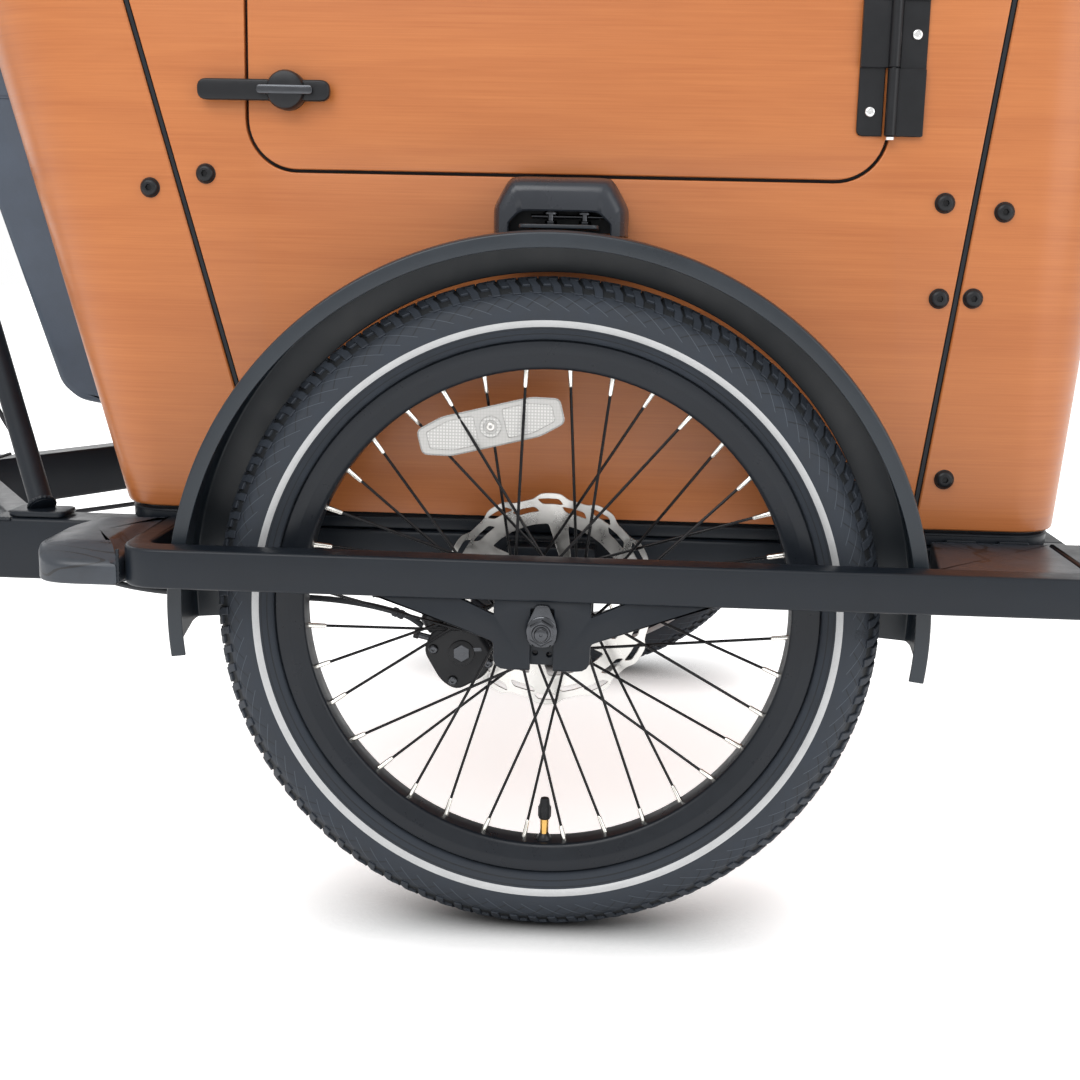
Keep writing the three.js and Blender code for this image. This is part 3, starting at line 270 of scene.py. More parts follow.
def swept(path: np.ndarray, section: np.ndarray, up: Sequence[float] = (0.0, 0.0, 1.0),
          closed: bool = False, scale: object = 1.0, slot: int = 0) -> Shell:
    """Carries a closed section along a path.

    Each ring lies square to the path. Its first axis is path direction cross up, its second is
    square to that, and both are scaled at each path point.

    Args:
        path: points of the path.
        section: closed loop of (sideways, upwards) pairs.
        up: direction the second axis keeps close to.
        closed: whether the path is a loop.
        scale: size of the section, one number or one for each path point.
        slot: material number.

    Returns:
        The surface, marked with distance along the path and round the section.
    """
    path = np.asarray(path, float)
    if closed:
        tangent = unit(np.roll(path, -1, 0) - np.roll(path, 1, 0))
    else:
        tangent = unit(np.gradient(path, axis=0))
    sideways = unit(np.cross(tangent, np.asarray(up, float)))
    upwards = np.cross(sideways, tangent)
    size = np.broadcast_to(np.asarray(scale, float), (len(path),))[:, None, None]
    rings = (path[:, None] + sideways[:, None] * section[None, :, :1] * size
             + upwards[:, None] * section[None, :, 1:] * size)
    run = np.concatenate([[0.0], np.cumsum(np.linalg.norm(np.diff(path, axis=0), axis=1))])
    lap = np.arange(len(section)) / len(section)
    marks = np.stack(np.broadcast_arrays(run[:, None], lap[None, :], 0.0 * run[:, None]), -1)
    return grid_shell(rings, wrap_rows=closed, caps=not closed, marks=marks, slot=slot)


def tube(knots: Sequence[Sequence[float]], radius: object, sides: int = 16, count: int = 0,
         slot: int = 0) -> Shell:
    """A round bar through knots: a circle carried along their smooth curve.

    Args:
        knots: points the bar's middle line passes through.
        radius: its radius, one number or one for each point of the curve.
        sides: points round it.
        count: points along it; 0 keeps the knots themselves.
        slot: material number.

    Returns:
        The surface.
    """
    path = curve_through(knots, count) if count else np.asarray(knots, float)
    run = unit(path[-1] - path[0])
    up = (0.0, 0.0, 1.0) if abs(run[2]) < 0.8 else (1.0, 0.0, 0.05)
    return swept(path, circle(1.0, sides), up, scale=radius, slot=slot)


def rod(start: Sequence[float], end: Sequence[float], profile: Sequence[Sequence[float]],
        sides: int = 16, slot: int = 0, phase: float = 0.0) -> Shell:
    """A turned bar: circles of the profile's radii set at its distances from start towards end.

    Args:
        start: middle of the first end.
        end: point that gives the direction.
        profile: (distance, radius) pairs.
        sides: points round it.
        slot: material number.
        phase: turn of the section in radians.

    Returns:
        The surface, with both ends closed.
    """
    a, b = np.asarray(start, float), np.asarray(end, float)
    direction = unit(b - a)
    aside = np.array([0.0, 0.0, 1.0]) if abs(direction[2]) < 0.9 else np.array([1.0, 0.0, 0.0])
    first = unit(np.cross(direction, aside))
    second = np.cross(direction, first)
    p = np.asarray(profile, float)
    ring = circle(1.0, sides, start=phase)
    flat = ring[:, :1] * first + ring[:, 1:] * second
    points = a + p[:, None, :1] * direction + p[:, None, 1:] * flat[None]
    marks = np.stack(np.broadcast_arrays(p[:, :1], np.arange(sides)[None] / sides, 0.0 * p[:, :1]), -1)
    return grid_shell(points, marks=marks, slot=slot)


def pin(start: Sequence[float], end: Sequence[float], radius: float, sides: int = 16,
        edge: float = 0.4, slot: int = 0) -> Shell:
    """A plain round bar between two points, with a small chamfer at each end."""
    length = float(np.linalg.norm(np.asarray(end, float) - np.asarray(start, float)))
    return rod(start, end, [(0, radius - edge), (edge, radius), (length - edge, radius),
                            (length, radius - edge)], sides, slot)


def many_rods(start: np.ndarray, end: np.ndarray, profile: Sequence[Sequence[float]], sides: int,
              from_end: bool = False, slot: int = 0) -> Shell:
    """Many turned bars at once, each along its own line.

    Args:
        start: array of start points.
        end: array of end points.
        profile: (distance, radius) pairs, the same for every bar.
        sides: points round a bar.
        from_end: whether distances are counted back from the end.
        slot: material number.

    Returns:
        One shell of all the bars.
    """
    direction = unit(end - start)
    steep = abs(float(direction[0][1])) > 0.9
    aside = np.array([1.0, 0.0, 0.0]) if steep else np.array([0.0, 1.0, 0.0])
    first = unit(np.cross(direction, aside))
    second = np.cross(direction, first)
    p = np.asarray(profile, float)
    base = end if from_end else start
    sign = -1.0 if from_end else 1.0
    ring = circle(1.0, sides)
    flat = ring[None, :, :1] * first[:, None] + ring[None, :, 1:] * second[:, None]
    points = (base[:, None, None] + sign * p[None, :, None, :1] * direction[:, None, None]
              + p[None, :, None, 1:] * flat[:, None])
    k, rows = points.shape[:2]
    one = grid_shell(np.zeros((rows, sides, 3)))
    offset = (np.arange(k) * rows * sides)[:, None, None]
    faces = [(f[None] + offset).reshape(-1, f.shape[1]) for f in one.faces]
    return Shell(points.reshape(-1, 3), faces, None, slot)


def slab(loops: Sequence[np.ndarray], low: float, high: float, edge: float = 0.6,
         plane: Plane = Plane.XZ, slot: int = 0, steps: int = 1) -> Shell:
    """A flat plate with holes and rounded or chamfered edges.

    Every loop gives rings along a quarter circle at each face: drawn in by edge (1 - sin a) at depth
    edge (1 - cos a). The faces are filled with triangles.

    Args:
        loops: the outline, then any holes.
        low: depth of one face.
        high: depth of the other.
        edge: radius of the rounded edge.
        plane: the plane the loops are drawn in.
        slot: material number.
        steps: how many steps round each edge; one gives a chamfer.

    Returns:
        The surface, marked with its own drawing coordinates.
    """
    bend = np.linspace(0.0, np.pi / 2, steps + 1)
    inset, depth = edge * (1.0 - np.sin(bend)), edge * (1.0 - np.cos(bend))
    rows = [(i, low + d) for i, d in zip(inset, depth)]
    rows += [(i, high - d) for i, d in zip(inset[::-1], depth[::-1])]
    points, quads, caps, base, drawn_loops = [], [], [], 0, []
    for number, loop in enumerate(loops):
        loop = np.asarray(loop, float)
        loop = loop if turn_way(loop) > 0 else loop[::-1]
        way = -1.0 if number == 0 else 1.0
        rings = [offset_loop(loop, way * i) if i > 1e-9 else loop for i, _ in rows]
        drawn_loops.append(rings[0])
        block = np.stack([np.column_stack([ring, np.full(len(ring), d)])
                          for ring, (_, d) in zip(rings, rows)])
        shell = grid_shell(block, caps=False)
        points.append(shell.points)
        quads.append(shell.faces[0] + base)
        caps.append((base, len(loop)))
        base += len(rows) * len(loop)
    triangles = np.array(tessellate_polygon([[Vector((x, y, 0.0)) for x, y in loop]
                                             for loop in drawn_loops]))
    starts = np.concatenate([np.arange(count) + first for first, count in caps])
    tops = np.concatenate([np.arange(count) + first + (len(rows) - 1) * count
                           for first, count in caps])
    drawn = np.concatenate(points)
    placed = np.empty_like(drawn)
    placed[:, list(plane.value)] = drawn
    marks = np.column_stack([drawn[:, :2], np.zeros(len(drawn))])
    return Shell(placed, [np.concatenate(quads), starts[triangles], tops[triangles][:, ::-1]],
                 marks, slot)


def cushion(outline: np.ndarray, low: float, top: Callable[[np.ndarray, np.ndarray], np.ndarray],
            edge: float, rings: int = 14, slot: int = 0) -> Shell:
    """A pad with a shaped top: rings of its outline drawn in towards the middle follow a height.

    Args:
        outline: star-shaped loop of (x, y).
        low: height of the flat underside.
        top: height of the top at x and y.
        edge: radius of the rounded rim.
        rings: rings across the top.
        slot: material number.

    Returns:
        The surface, marked with x and y.
    """
    loop = outline if turn_way(outline) > 0 else outline[::-1]
    middle = (loop.max(0) + loop.min(0)) / 2
    bend = np.linspace(0.0, np.pi / 2, 6)
    rows = [(offset_loop(loop, -1.0), None, 0.0), (loop, None, 1.0)]
    rows += [(offset_loop(loop, -edge * (1 - math.cos(b))), -edge * (1 - math.sin(b)), None) for b in bend]
    inner = offset_loop(loop, -edge)
    rows += [(middle + (inner - middle) * s, 0.0, None) for s in np.linspace(1.0, 0.02, rings)[1:]]
    stack = []
    for ring, sunk, lift in rows:
        z = np.full(len(ring), low + lift) if sunk is None else top(ring[:, 0], ring[:, 1]) + sunk
        stack.append(np.column_stack([ring, z]))
    points = np.stack(stack)
    marks = np.concatenate([points[..., :2], 0.0 * points[..., :1]], -1)
    return grid_shell(points, marks=marks, slot=slot)


def button_bolt(centre: Sequence[float], outward: Sequence[float], radius: float, height: float,
                socket: float = 0.38, slot: int = 0) -> Shell:
    """A button-head screw: domed rings, then a hexagonal socket whose radius is a / cos(angle).

    Args:
        centre: middle of the head's underside.
        outward: direction the head faces.
        radius: head radius.
        height: head height.
        socket: socket half-width as a share of the radius.
        slot: material number.

    Returns:
        The closed head.
    """
    sides = 24
    a = np.arange(sides) * 2 * np.pi / sides
    hexed = socket * radius * math.cos(math.pi / 6) / np.cos((a % (np.pi / 3)) - np.pi / 6)
    full = np.ones(sides)
    rings = [(full * radius, -0.6), (full * radius, 0.25 * height), (full * radius * 0.93, 0.6 * height),
             (full * radius * 0.78, 0.88 * height), (full * radius * 0.58, height), (hexed * 1.06, height),
             (hexed, 0.9 * height), (hexed, 0.25 * height), (full * 0.01, 0.2 * height)]
    out = unit(np.asarray(outward, float))
    aside = np.array([0.0, 0.0, 1.0]) if abs(out[2]) < 0.9 else np.array([1.0, 0.0, 0.0])
    first = unit(np.cross(out, aside))
    second = np.cross(out, first)
    flat = np.cos(a)[:, None] * first + np.sin(a)[:, None] * second
    points = np.stack([np.asarray(centre, float) + r[:, None] * flat + h * out for r, h in rings])
    return grid_shell(points, slot=slot)


def nut(centre: Sequence[float], outward: Sequence[float], across: float, height: float,
        crown: float = 0.0, slot: int = 0) -> Shell:
    """A hexagonal nut with rounded corners and, above it, a crown of the given height."""
    out = unit(np.asarray(outward, float))
    corner = across / 2 / math.cos(math.pi / 6)
    profile = [(0, corner * 0.94), (height * 0.12, corner), (height * 0.86, corner),
               (height, corner * 0.9)]
    if crown:
        profile += [(height + crown * 0.6, corner * 0.7), (height + crown, corner * 0.45)]
    return rod(centre, np.asarray(centre, float) + out, profile, 6, slot, phase=math.pi / 6)


def weld(path: np.ndarray, radius: float, pitch: float = 3.4, slot: int = 0) -> Shell:
    """A weld bead: a round bar whose radius ripples with the distance along it."""
    dense = curve_through(path, max(24, int(len(path) * 6)))
    run = np.concatenate([[0.0], np.cumsum(np.linalg.norm(np.diff(dense, axis=0), axis=1))])
    size = radius * (1.0 + 0.12 * np.cos(run * 2 * np.pi / pitch))
    return swept(dense, circle(1.0, 8), (0.05, 0.1, 1.0), scale=size, slot=slot)


# ---- Pieces: shells turned into Blender objects ---------------------------------------------------

def make_piece(name: str, shells: Sequence[Shell], finishes: Sequence[bpy.types.Material],
               body: str, replaces: Sequence[str] = (), side: Optional[Side] = None,
               crease: float = 32.0) -> bpy.types.Object:
    """Builds one object from closed shells and lets it ride on a body.

    Args:
        name: the piece's name; the side's word is added when a side is given.
        shells: its surfaces, drawn for the right side when a side is given.
        finishes: its materials, by the shells' slot numbers.
        body: the body it rides on.
        replaces: CAD nodes it stands for.
        side: the side it is on, which mirrors it when that is the left.
        crease: angle in degrees past which an edge is drawn sharp.

    Returns:
        The object.
    """
    sizes = [len(s.points) for s in shells]
    bases = np.concatenate([[0], np.cumsum(sizes)[:-1]]).astype(int)
    points = np.concatenate([s.points for s in shells]).astype(float)
    marks = np.concatenate([s.marks if s.marks is not None else np.column_stack(
        [s.points[:, 0], s.points[:, 2], s.points[:, 1]]) for s in shells])
    arrays, slots = [], []
    for shell, base in zip(shells, bases):
        numbers = shell.slots if isinstance(shell.slots, (list, tuple)) else \
            [shell.slots] * len(shell.faces)
        for faces, number in zip(shell.faces, numbers):
            if len(faces):
                arrays.append(np.asarray(faces) + base)
                slots.append(np.full(len(faces), number))
    if side is Side.LEFT:
        points[:, 1] *= -1.0
    points = points * MM + np.array([ORIGIN_X, 0.0, 0.0])
    totals = np.concatenate([np.full(len(f), f.shape[1]) for f in arrays])
    corners = np.concatenate([f.ravel() for f in arrays])
    full_name = name if side is None else f"{name}_{side.word}"
    mesh = bpy.data.meshes.new(full_name)
    mesh.vertices.add(len(points))
    mesh.loops.add(len(corners))
    mesh.polygons.add(len(totals))
    mesh.vertices.foreach_set("co", points.astype(np.float32).ravel())
    mesh.loops.foreach_set("vertex_index", corners.astype(np.int32))
    starts = np.concatenate([[0], np.cumsum(totals)[:-1]])
    mesh.polygons.foreach_set("loop_start", starts.astype(np.int32))
    mesh.polygons.foreach_set("material_index", np.concatenate(slots).astype(np.int32))
    mark = mesh.attributes.new("mark", "FLOAT_VECTOR", "POINT")
    mark.data.foreach_set("vector", marks.astype(np.float32).ravel())
    mesh.update(calc_edges=True)
    mesh.validate()
    clean = bmesh.new()
    clean.from_mesh(mesh)
    bmesh.ops.remove_doubles(clean, verts=clean.verts, dist=2e-6)
    bmesh.ops.recalc_face_normals(clean, faces=clean.faces)
    clean.to_mesh(mesh)
    clean.free()
    mesh.polygons.foreach_set("use_smooth", np.ones(len(mesh.polygons), bool))
    mesh.set_sharp_from_angle(angle=math.radians(crease))
    for finish in finishes:
        mesh.materials.append(finish)
    piece = bpy.data.objects.new(full_name, mesh)
    bpy.context.scene.collection.objects.link(piece)
    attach(piece, body)
    if replaces:
        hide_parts(*replaces)
    LOG.info("%s: %d faces on %s", full_name, len(mesh.polygons), body)
    return piece


# ---- Finishes -----------------------------------------------------------------------------------

class Recipe:
    """A node material being put together."""

    def __init__(self, name: str) -> None:
        """Starts an empty material with one principled shader."""
        self.material = bpy.data.materials.new(name)
        self.material.use_nodes = True
        self.tree = self.material.node_tree
        self.shader = self.tree.nodes["Principled BSDF"]

    def node(self, kind: str, **settings: object) -> bpy.types.Node:
        """Adds a node and sets its properties."""
        made = self.tree.nodes.new(kind)
        for key, value in settings.items():
            setattr(made, key, value)
        return made

    def link(self, source: object, target: object) -> None:
        """Joins an output to an input."""
        self.tree.links.new(source, target)

    def put(self, **values: object) -> None:
        """Sets constant inputs of the shader; underscores stand for spaces."""
        for key, value in values.items():
            self.shader.inputs[key.replace("_", " ")].default_value = value

    def coordinates(self, scale: Sequence[float], attribute: bool = False,
                    turn: float = 0.0) -> object:
        """Object coordinates, or the piece's marks, times a scale.

        Args:
            scale: factor for each axis.
            attribute: whether the piece's own marks are read.
            turn: turn about the third axis, in degrees, before the scale.

        Returns:
            The vector output.
        """
        if attribute:
            source = self.node("ShaderNodeAttribute", attribute_name="mark").outputs["Vector"]
        else:
            source = self.node("ShaderNodeTexCoord").outputs["Object"]
        mapping = self.node("ShaderNodeMapping", vector_type="POINT")
        mapping.inputs["Scale"].default_value = scale
        mapping.inputs["Rotation"].default_value = (0.0, 0.0, math.radians(turn))
        self.link(source, mapping.inputs["Vector"])
        return mapping.outputs["Vector"]

    def noise(self, vector: object, scale: float, detail: float = 4.0, rough: float = 0.55,
              distortion: float = 0.0) -> object:
        """A noise value over a vector."""
        made = self.node("ShaderNodeTexNoise")
        made.inputs["Scale"].default_value = scale
        made.inputs["Detail"].default_value = detail
        made.inputs["Roughness"].default_value = rough
        made.inputs["Distortion"].default_value = distortion
        self.link(vector, made.inputs["Vector"])
        return made.outputs["Fac"]

    def math(self, operation: str, first: object, second: object = None,
             third: object = None) -> object:
        """One arithmetic step on outputs or numbers."""
        made = self.node("ShaderNodeMath", operation=operation)
        for socket, value in zip(made.inputs, (first, second, third)):
            if value is None:
                continue
            if isinstance(value, (int, float)):
                socket.default_value = value
            else:
                self.link(value, socket)
        return made.outputs[0]

    def ramp(self, value: object, stops: Sequence[tuple]) -> object:
        """Colours along a value: stops are (position, red, green, blue)."""
        made = self.node("ShaderNodeValToRGB")
        elements = made.color_ramp.elements
        while len(elements) < len(stops):
            elements.new(0.5)
        for element, (position, *rgb) in zip(elements, stops):
            element.position = position
            element.color = (*rgb, 1.0)
        self.link(value, made.inputs["Fac"])
        return made.outputs["Color"]

    def span(self, value: object, low: float, high: float, source_low: float = 0.3,
             source_high: float = 0.7) -> object:
        """Maps a value's range to another."""
        made = self.node("ShaderNodeMapRange")
        made.inputs["From Min"].default_value = source_low
        made.inputs["From Max"].default_value = source_high
        made.inputs["To Min"].default_value = low
        made.inputs["To Max"].default_value = high
        self.link(value, made.inputs["Value"])
        return made.outputs["Result"]

    def bump(self, height: object, strength: float, distance: float, under: object = None) -> object:
        """Turns a height into a normal, over another bump if one is given."""
        made = self.node("ShaderNodeBump")
        made.inputs["Strength"].default_value = strength
        made.inputs["Distance"].default_value = distance
        self.link(height, made.inputs["Height"])
        if under is not None:
            self.link(under, made.inputs["Normal"])
        return made.outputs["Normal"]

    def finish_with(self, colour: object = None, rough: object = None, normal: object = None
                    ) -> bpy.types.Material:
        """Joins what was made to the shader and gives the material."""
        for source, name in ((colour, "Base Color"), (rough, "Roughness"), (normal, "Normal")):
            if source is not None:
                self.link(source, self.shader.inputs[name])
        return self.material


@dataclass(frozen=True)
class PowderCoat:
    """Satin coat on metal: fine orange-peel bump, faint mottling, a little lighter in patches."""

    name: str
    colour: tuple
    rough: float = 0.42
    peel: float = 0.06
    metallic: float = 0.0
    coat: float = 0.0

    def make(self) -> bpy.types.Material:
        """Gives the material."""
        recipe = Recipe(self.name)
        vector = recipe.coordinates((1.0, 1.0, 1.0))
        mottle = recipe.noise(vector, 9.0, 3.0)
        peel = recipe.noise(vector, 900.0, 2.0)
        dust = recipe.noise(vector, 60.0, 6.0, 0.7)
        light = tuple(min(1.0, c * 1.16) for c in self.colour)
        dark = tuple(c * 0.86 for c in self.colour)
        colour = recipe.ramp(recipe.math("MULTIPLY_ADD", dust, 0.35, recipe.math("MULTIPLY", mottle, 0.65)),
                             [(0.35, *dark), (0.65, *light)])
        rough = recipe.span(dust, self.rough - 0.06, self.rough + 0.07)
        recipe.put(Metallic=self.metallic, Coat_Weight=self.coat, Coat_Roughness=0.3,
                Specular_IOR_Level=0.26)
        return recipe.finish_with(colour, rough, recipe.bump(peel, self.peel, 0.0006))


@dataclass(frozen=True)
class MouldedPlastic:
    """Moulded plastic or rubber: even colour with a leather-like or spark-eroded texture."""

    name: str
    colour: tuple
    rough: float = 0.5
    grain: float = 700.0
    depth: float = 0.12

    def make(self) -> bpy.types.Material:
        """Gives the material."""
        recipe = Recipe(self.name)
        vector = recipe.coordinates((1.0, 1.0, 1.0))
        grain = recipe.noise(vector, self.grain, 3.0, 0.6)
        cloud = recipe.noise(vector, 14.0, 5.0, 0.65)
        colour = recipe.ramp(cloud, [(0.3, *(c * 0.84 for c in self.colour)),
                                     (0.7, *(c * 1.18 for c in self.colour))])
        rough = recipe.span(cloud, self.rough - 0.07, self.rough + 0.09)
        recipe.put(Specular_IOR_Level=0.38)
        return recipe.finish_with(colour, rough, recipe.bump(grain, self.depth, 0.0004))


@dataclass(frozen=True)
class LacqueredWood:
    """Veneer under satin lacquer: long fine fibres along each panel, darker pores and slow bands."""

    name: str
    pale: tuple = (0.4, 0.134, 0.037)
    dark: tuple = (0.3, 0.086, 0.021)

    def make(self) -> bpy.types.Material:
        """Gives the material; the pattern follows the piece's marks, in millimetres."""
        recipe = Recipe(self.name)
        slow = recipe.coordinates((0.0012, 0.012, 0.0), attribute=True)
        fine = recipe.coordinates((0.006, 0.55, 0.0), attribute=True)
        pore = recipe.coordinates((0.02, 1.5, 0.0), attribute=True)
        bands = recipe.noise(slow, 1.6, 4.0, 0.6, 1.2)
        fibres = recipe.noise(fine, 1.0, 5.0, 0.65)
        pores = recipe.noise(pore, 1.0, 2.0, 0.5)
        mixed = recipe.math("MULTIPLY_ADD", fibres, 0.55, recipe.math("MULTIPLY", bands, 0.45))
        middle = tuple((a + b) / 2 for a, b in zip(self.pale, self.dark))
        colour = recipe.ramp(mixed, [(0.3, *self.dark), (0.47, *middle), (0.66, *self.pale)])
        streak = recipe.ramp(pores, [(0.3, 0.84, 0.82, 0.8), (0.42, 1.0, 1.0, 1.0)])
        blend = recipe.node("ShaderNodeMix", data_type="RGBA", blend_type="MULTIPLY")
        blend.inputs["Factor"].default_value = 0.5
        recipe.link(colour, blend.inputs["A"])
        recipe.link(streak, blend.inputs["B"])
        rough = recipe.span(fibres, 0.3, 0.42)
        recipe.put(Coat_Weight=0.15, Coat_Roughness=0.22, Specular_IOR_Level=0.36)
        return recipe.finish_with(blend.outputs["Result"], rough,
                                  recipe.bump(fibres, 0.06, 0.0004))


@dataclass(frozen=True)
class TyreRubber:
    """Tyre compound with raised V lines between tread and reflective band; its grooves and the carcass
    between tread blocks are painted darker as shade, its raised ridge lines painted lighter as highlight.

    The lines are where the lap position, sheared by the distance across, comes near a whole number.
    Marks are (lap in tread pitches, distance across in millimetres, which zone).
    """

    name: str
    colour: tuple = (0.014, 0.0185, 0.026)

    def make(self) -> bpy.types.Material:
        """Gives the material."""
        recipe = Recipe(self.name)
        mark = recipe.node("ShaderNodeAttribute", attribute_name="mark")
        parts = recipe.node("ShaderNodeSeparateXYZ")
        recipe.link(mark.outputs["Vector"], parts.inputs["Vector"])
        lap, across, zone = parts.outputs
        sheared = recipe.math("MULTIPLY_ADD", across, -0.085, lap)
        saw = recipe.math("FRACT", sheared)
        line = recipe.math("LESS_THAN", recipe.math("ABSOLUTE", recipe.math("SUBTRACT", saw, 0.5)), 0.045)
        low = recipe.math("GREATER_THAN", across, 27.5)
        high = recipe.math("LESS_THAN", across, 38.5)
        groove = recipe.math("MULTIPLY", recipe.math("MULTIPLY", line, low), high)
        other = recipe.math("FRACT", recipe.math("MULTIPLY_ADD", across, 0.12, lap))
        ridge = recipe.math("LESS_THAN", recipe.math("ABSOLUTE", recipe.math("SUBTRACT", other, 0.5)),
                0.035)
        wide = recipe.math("MULTIPLY", recipe.math("GREATER_THAN", across, 24.0),
                           recipe.math("LESS_THAN", across, 41.0))
        ridge = recipe.math("MULTIPLY", recipe.math("MULTIPLY", ridge, wide), zone)
        under = recipe.math("MULTIPLY", recipe.math("LESS_THAN", across, 25.5), zone)
        ring_a = recipe.math("LESS_THAN", recipe.math("ABSOLUTE", recipe.math("SUBTRACT", across, 55.5)),
                0.35)
        ring_b = recipe.math("LESS_THAN", recipe.math("ABSOLUTE", recipe.math("SUBTRACT", across, 60.5)),
                0.5)
        rings = recipe.math("MAXIMUM", ring_a, ring_b)
        cut = recipe.math("MULTIPLY", recipe.math("MAXIMUM", groove, rings), zone)
        vector = recipe.coordinates((1.0, 1.0, 1.0))
        dust = recipe.noise(vector, 35.0, 6.0, 0.65)
        fine = recipe.noise(vector, 1300.0, 2.0)
        colour = recipe.ramp(dust, [(0.3, *(c * 0.8 for c in self.colour)),
                                    (0.72, *(c * 1.3 for c in self.colour))])
        # Painted shade: the V-line grooves and the two sidewall ring lines are coloured darker than the
        # rubber.
        shade = recipe.node("ShaderNodeMix", data_type="RGBA", blend_type="MIX")
        recipe.link(cut, shade.inputs["Factor"])
        recipe.link(colour, shade.inputs["A"])
        shade.inputs["B"].default_value = (0.008, 0.01, 0.013, 1.0)
        # Painted shade: the carcass between the tread blocks, within 25.5 mm of the crown, is mixed towards
        # near black.
        floor = recipe.node("ShaderNodeMix", data_type="RGBA", blend_type="MIX")
        recipe.link(recipe.math("MULTIPLY", under, 0.9), floor.inputs["Factor"])
        recipe.link(shade.outputs["Result"], floor.inputs["A"])
        floor.inputs["B"].default_value = (0.003, 0.004, 0.005, 1.0)
        # Painted highlight: the raised ridge lines on the sidewall are coloured lighter than the rubber.
        light = recipe.node("ShaderNodeMix", data_type="RGBA", blend_type="MIX")
        recipe.link(recipe.math("MULTIPLY", ridge, 0.7), light.inputs["Factor"])
        recipe.link(floor.outputs["Result"], light.inputs["A"])
        light.inputs["B"].default_value = (0.055, 0.065, 0.08, 1.0)
        height = recipe.math("SUBTRACT", recipe.math("MULTIPLY_ADD", fine, 0.12, ridge), cut)
        rough = recipe.span(dust, 0.62, 0.78)
        recipe.put(Specular_IOR_Level=0.4)
        return recipe.finish_with(light.outputs["Result"], rough, recipe.bump(height, 0.6, 0.0008))


@dataclass(frozen=True)
class Metal:
    """Bare metal: satin or polished, with faint turned or brushed lines."""

    name: str
    colour: tuple
    rough: float = 0.28
    stretch: tuple = (60.0, 60.0, 400.0)

    def make(self) -> bpy.types.Material:
        """Gives the material."""
        recipe = Recipe(self.name)
        vector = recipe.coordinates(self.stretch)
        lines = recipe.noise(vector, 1.0, 4.0, 0.6)
        spots = recipe.noise(recipe.coordinates((1.0, 1.0, 1.0)), 45.0, 5.0, 0.6)
        colour = recipe.ramp(spots, [(0.3, *(c * 0.82 for c in self.colour)),
                                     (0.7, *self.colour)])
        rough = recipe.span(lines, self.rough - 0.07, self.rough + 0.1)
        recipe.put(Metallic=1.0)
        return recipe.finish_with(colour, rough, recipe.bump(lines, 0.05, 0.0003))


@dataclass(frozen=True)
class ReflectiveBand:
    """Glass-bead reflective fabric: pale grey with a fine woven speckle."""

    name: str
    colour: tuple = (0.4, 0.405, 0.41)

    def make(self) -> bpy.types.Material:
        """Gives the material."""
        recipe = Recipe(self.name)
        vector = recipe.coordinates((1.0, 1.0, 1.0))
        beads = recipe.noise(vector, 1500.0, 1.0)
        patches = recipe.noise(vector, 60.0, 4.0)
        colour = recipe.ramp(recipe.math("MULTIPLY_ADD", beads, 0.5, recipe.math("MULTIPLY", patches, 0.5)),
                             [(0.35, *(c * 0.86 for c in self.colour)), (0.6, *self.colour)])
        recipe.put(Metallic=0.25)
        return recipe.finish_with(colour, recipe.span(patches, 0.4, 0.5),
                                  recipe.bump(beads, 0.15, 0.0003))


@dataclass(frozen=True)
class PrismaticLens:
    """Clear reflector plastic, backed by a grid of small prisms."""

    name: str

    def make(self) -> bpy.types.Material:
        """Gives the material."""
        recipe = Recipe(self.name)
        cells = recipe.node("ShaderNodeTexVoronoi", feature="F1", distance="CHEBYCHEV")
        cells.inputs["Scale"].default_value = 1.0
        cells.inputs["Randomness"].default_value = 0.0
        recipe.link(recipe.coordinates((420.0, 420.0, 420.0)), cells.inputs["Vector"])
        colour = recipe.ramp(cells.outputs["Distance"], [(0.1, 0.62, 0.61, 0.59), (0.6, 0.3, 0.3, 0.29)])
        recipe.put(Roughness=0.16, Coat_Weight=1.0, Coat_Roughness=0.05, Transmission_Weight=0.25)
        return recipe.finish_with(colour, None, recipe.bump(cells.outputs["Distance"], 0.4, 0.0006))


@dataclass(frozen=True)
class TreadPad:
    """Pad rubber with flowing engraved lines.

    The lines are contour lines of a slow noise over the pad, most of them painted dark as shade in the
    engraved slits, some catching light.
    """

    name: str
    colour: tuple = (0.021, 0.026, 0.034)

    def make(self) -> bpy.types.Material:
        """Gives the material."""
        recipe = Recipe(self.name)
        field_ = recipe.noise(recipe.coordinates((9.0, 15.0, 9.0), turn=24.0), 1.0, 1.0, 0.4, 0.9)
        lap = recipe.math("FRACT", recipe.math("MULTIPLY", field_, 8.0))
        near = recipe.math("ABSOLUTE", recipe.math("SUBTRACT", lap, 0.5))
        width = recipe.noise(recipe.coordinates((30.0, 30.0, 30.0)), 1.0, 1.0)
        line = recipe.math("LESS_THAN", near, recipe.math("MULTIPLY_ADD", width, 0.2, -0.055))
        grain = recipe.noise(recipe.coordinates((1.0, 1.0, 1.0)), 330.0, 4.0, 0.7)
        cloud = recipe.noise(recipe.coordinates((1.0, 1.0, 1.0)), 28.0, 5.0, 0.65)
        colour = recipe.ramp(cloud, [(0.3, *(c * 0.8 for c in self.colour)),
                                     (0.7, *(c * 1.25 for c in self.colour))])
        # Painted shade: the engraved lines are mixed towards near black.
        shade = recipe.node("ShaderNodeMix", data_type="RGBA", blend_type="MIX")
        recipe.link(recipe.math("MULTIPLY", line, 0.85), shade.inputs["Factor"])
        recipe.link(colour, shade.inputs["A"])
        shade.inputs["B"].default_value = (0.006, 0.006, 0.007, 1.0)
        height = recipe.math("SUBTRACT", recipe.math("MULTIPLY", grain, 0.25), line)
        recipe.put(Specular_IOR_Level=0.5)
        return recipe.finish_with(shade.outputs["Result"], recipe.span(cloud, 0.3, 0.46),
                                  recipe.bump(height, 0.45, 0.0008))


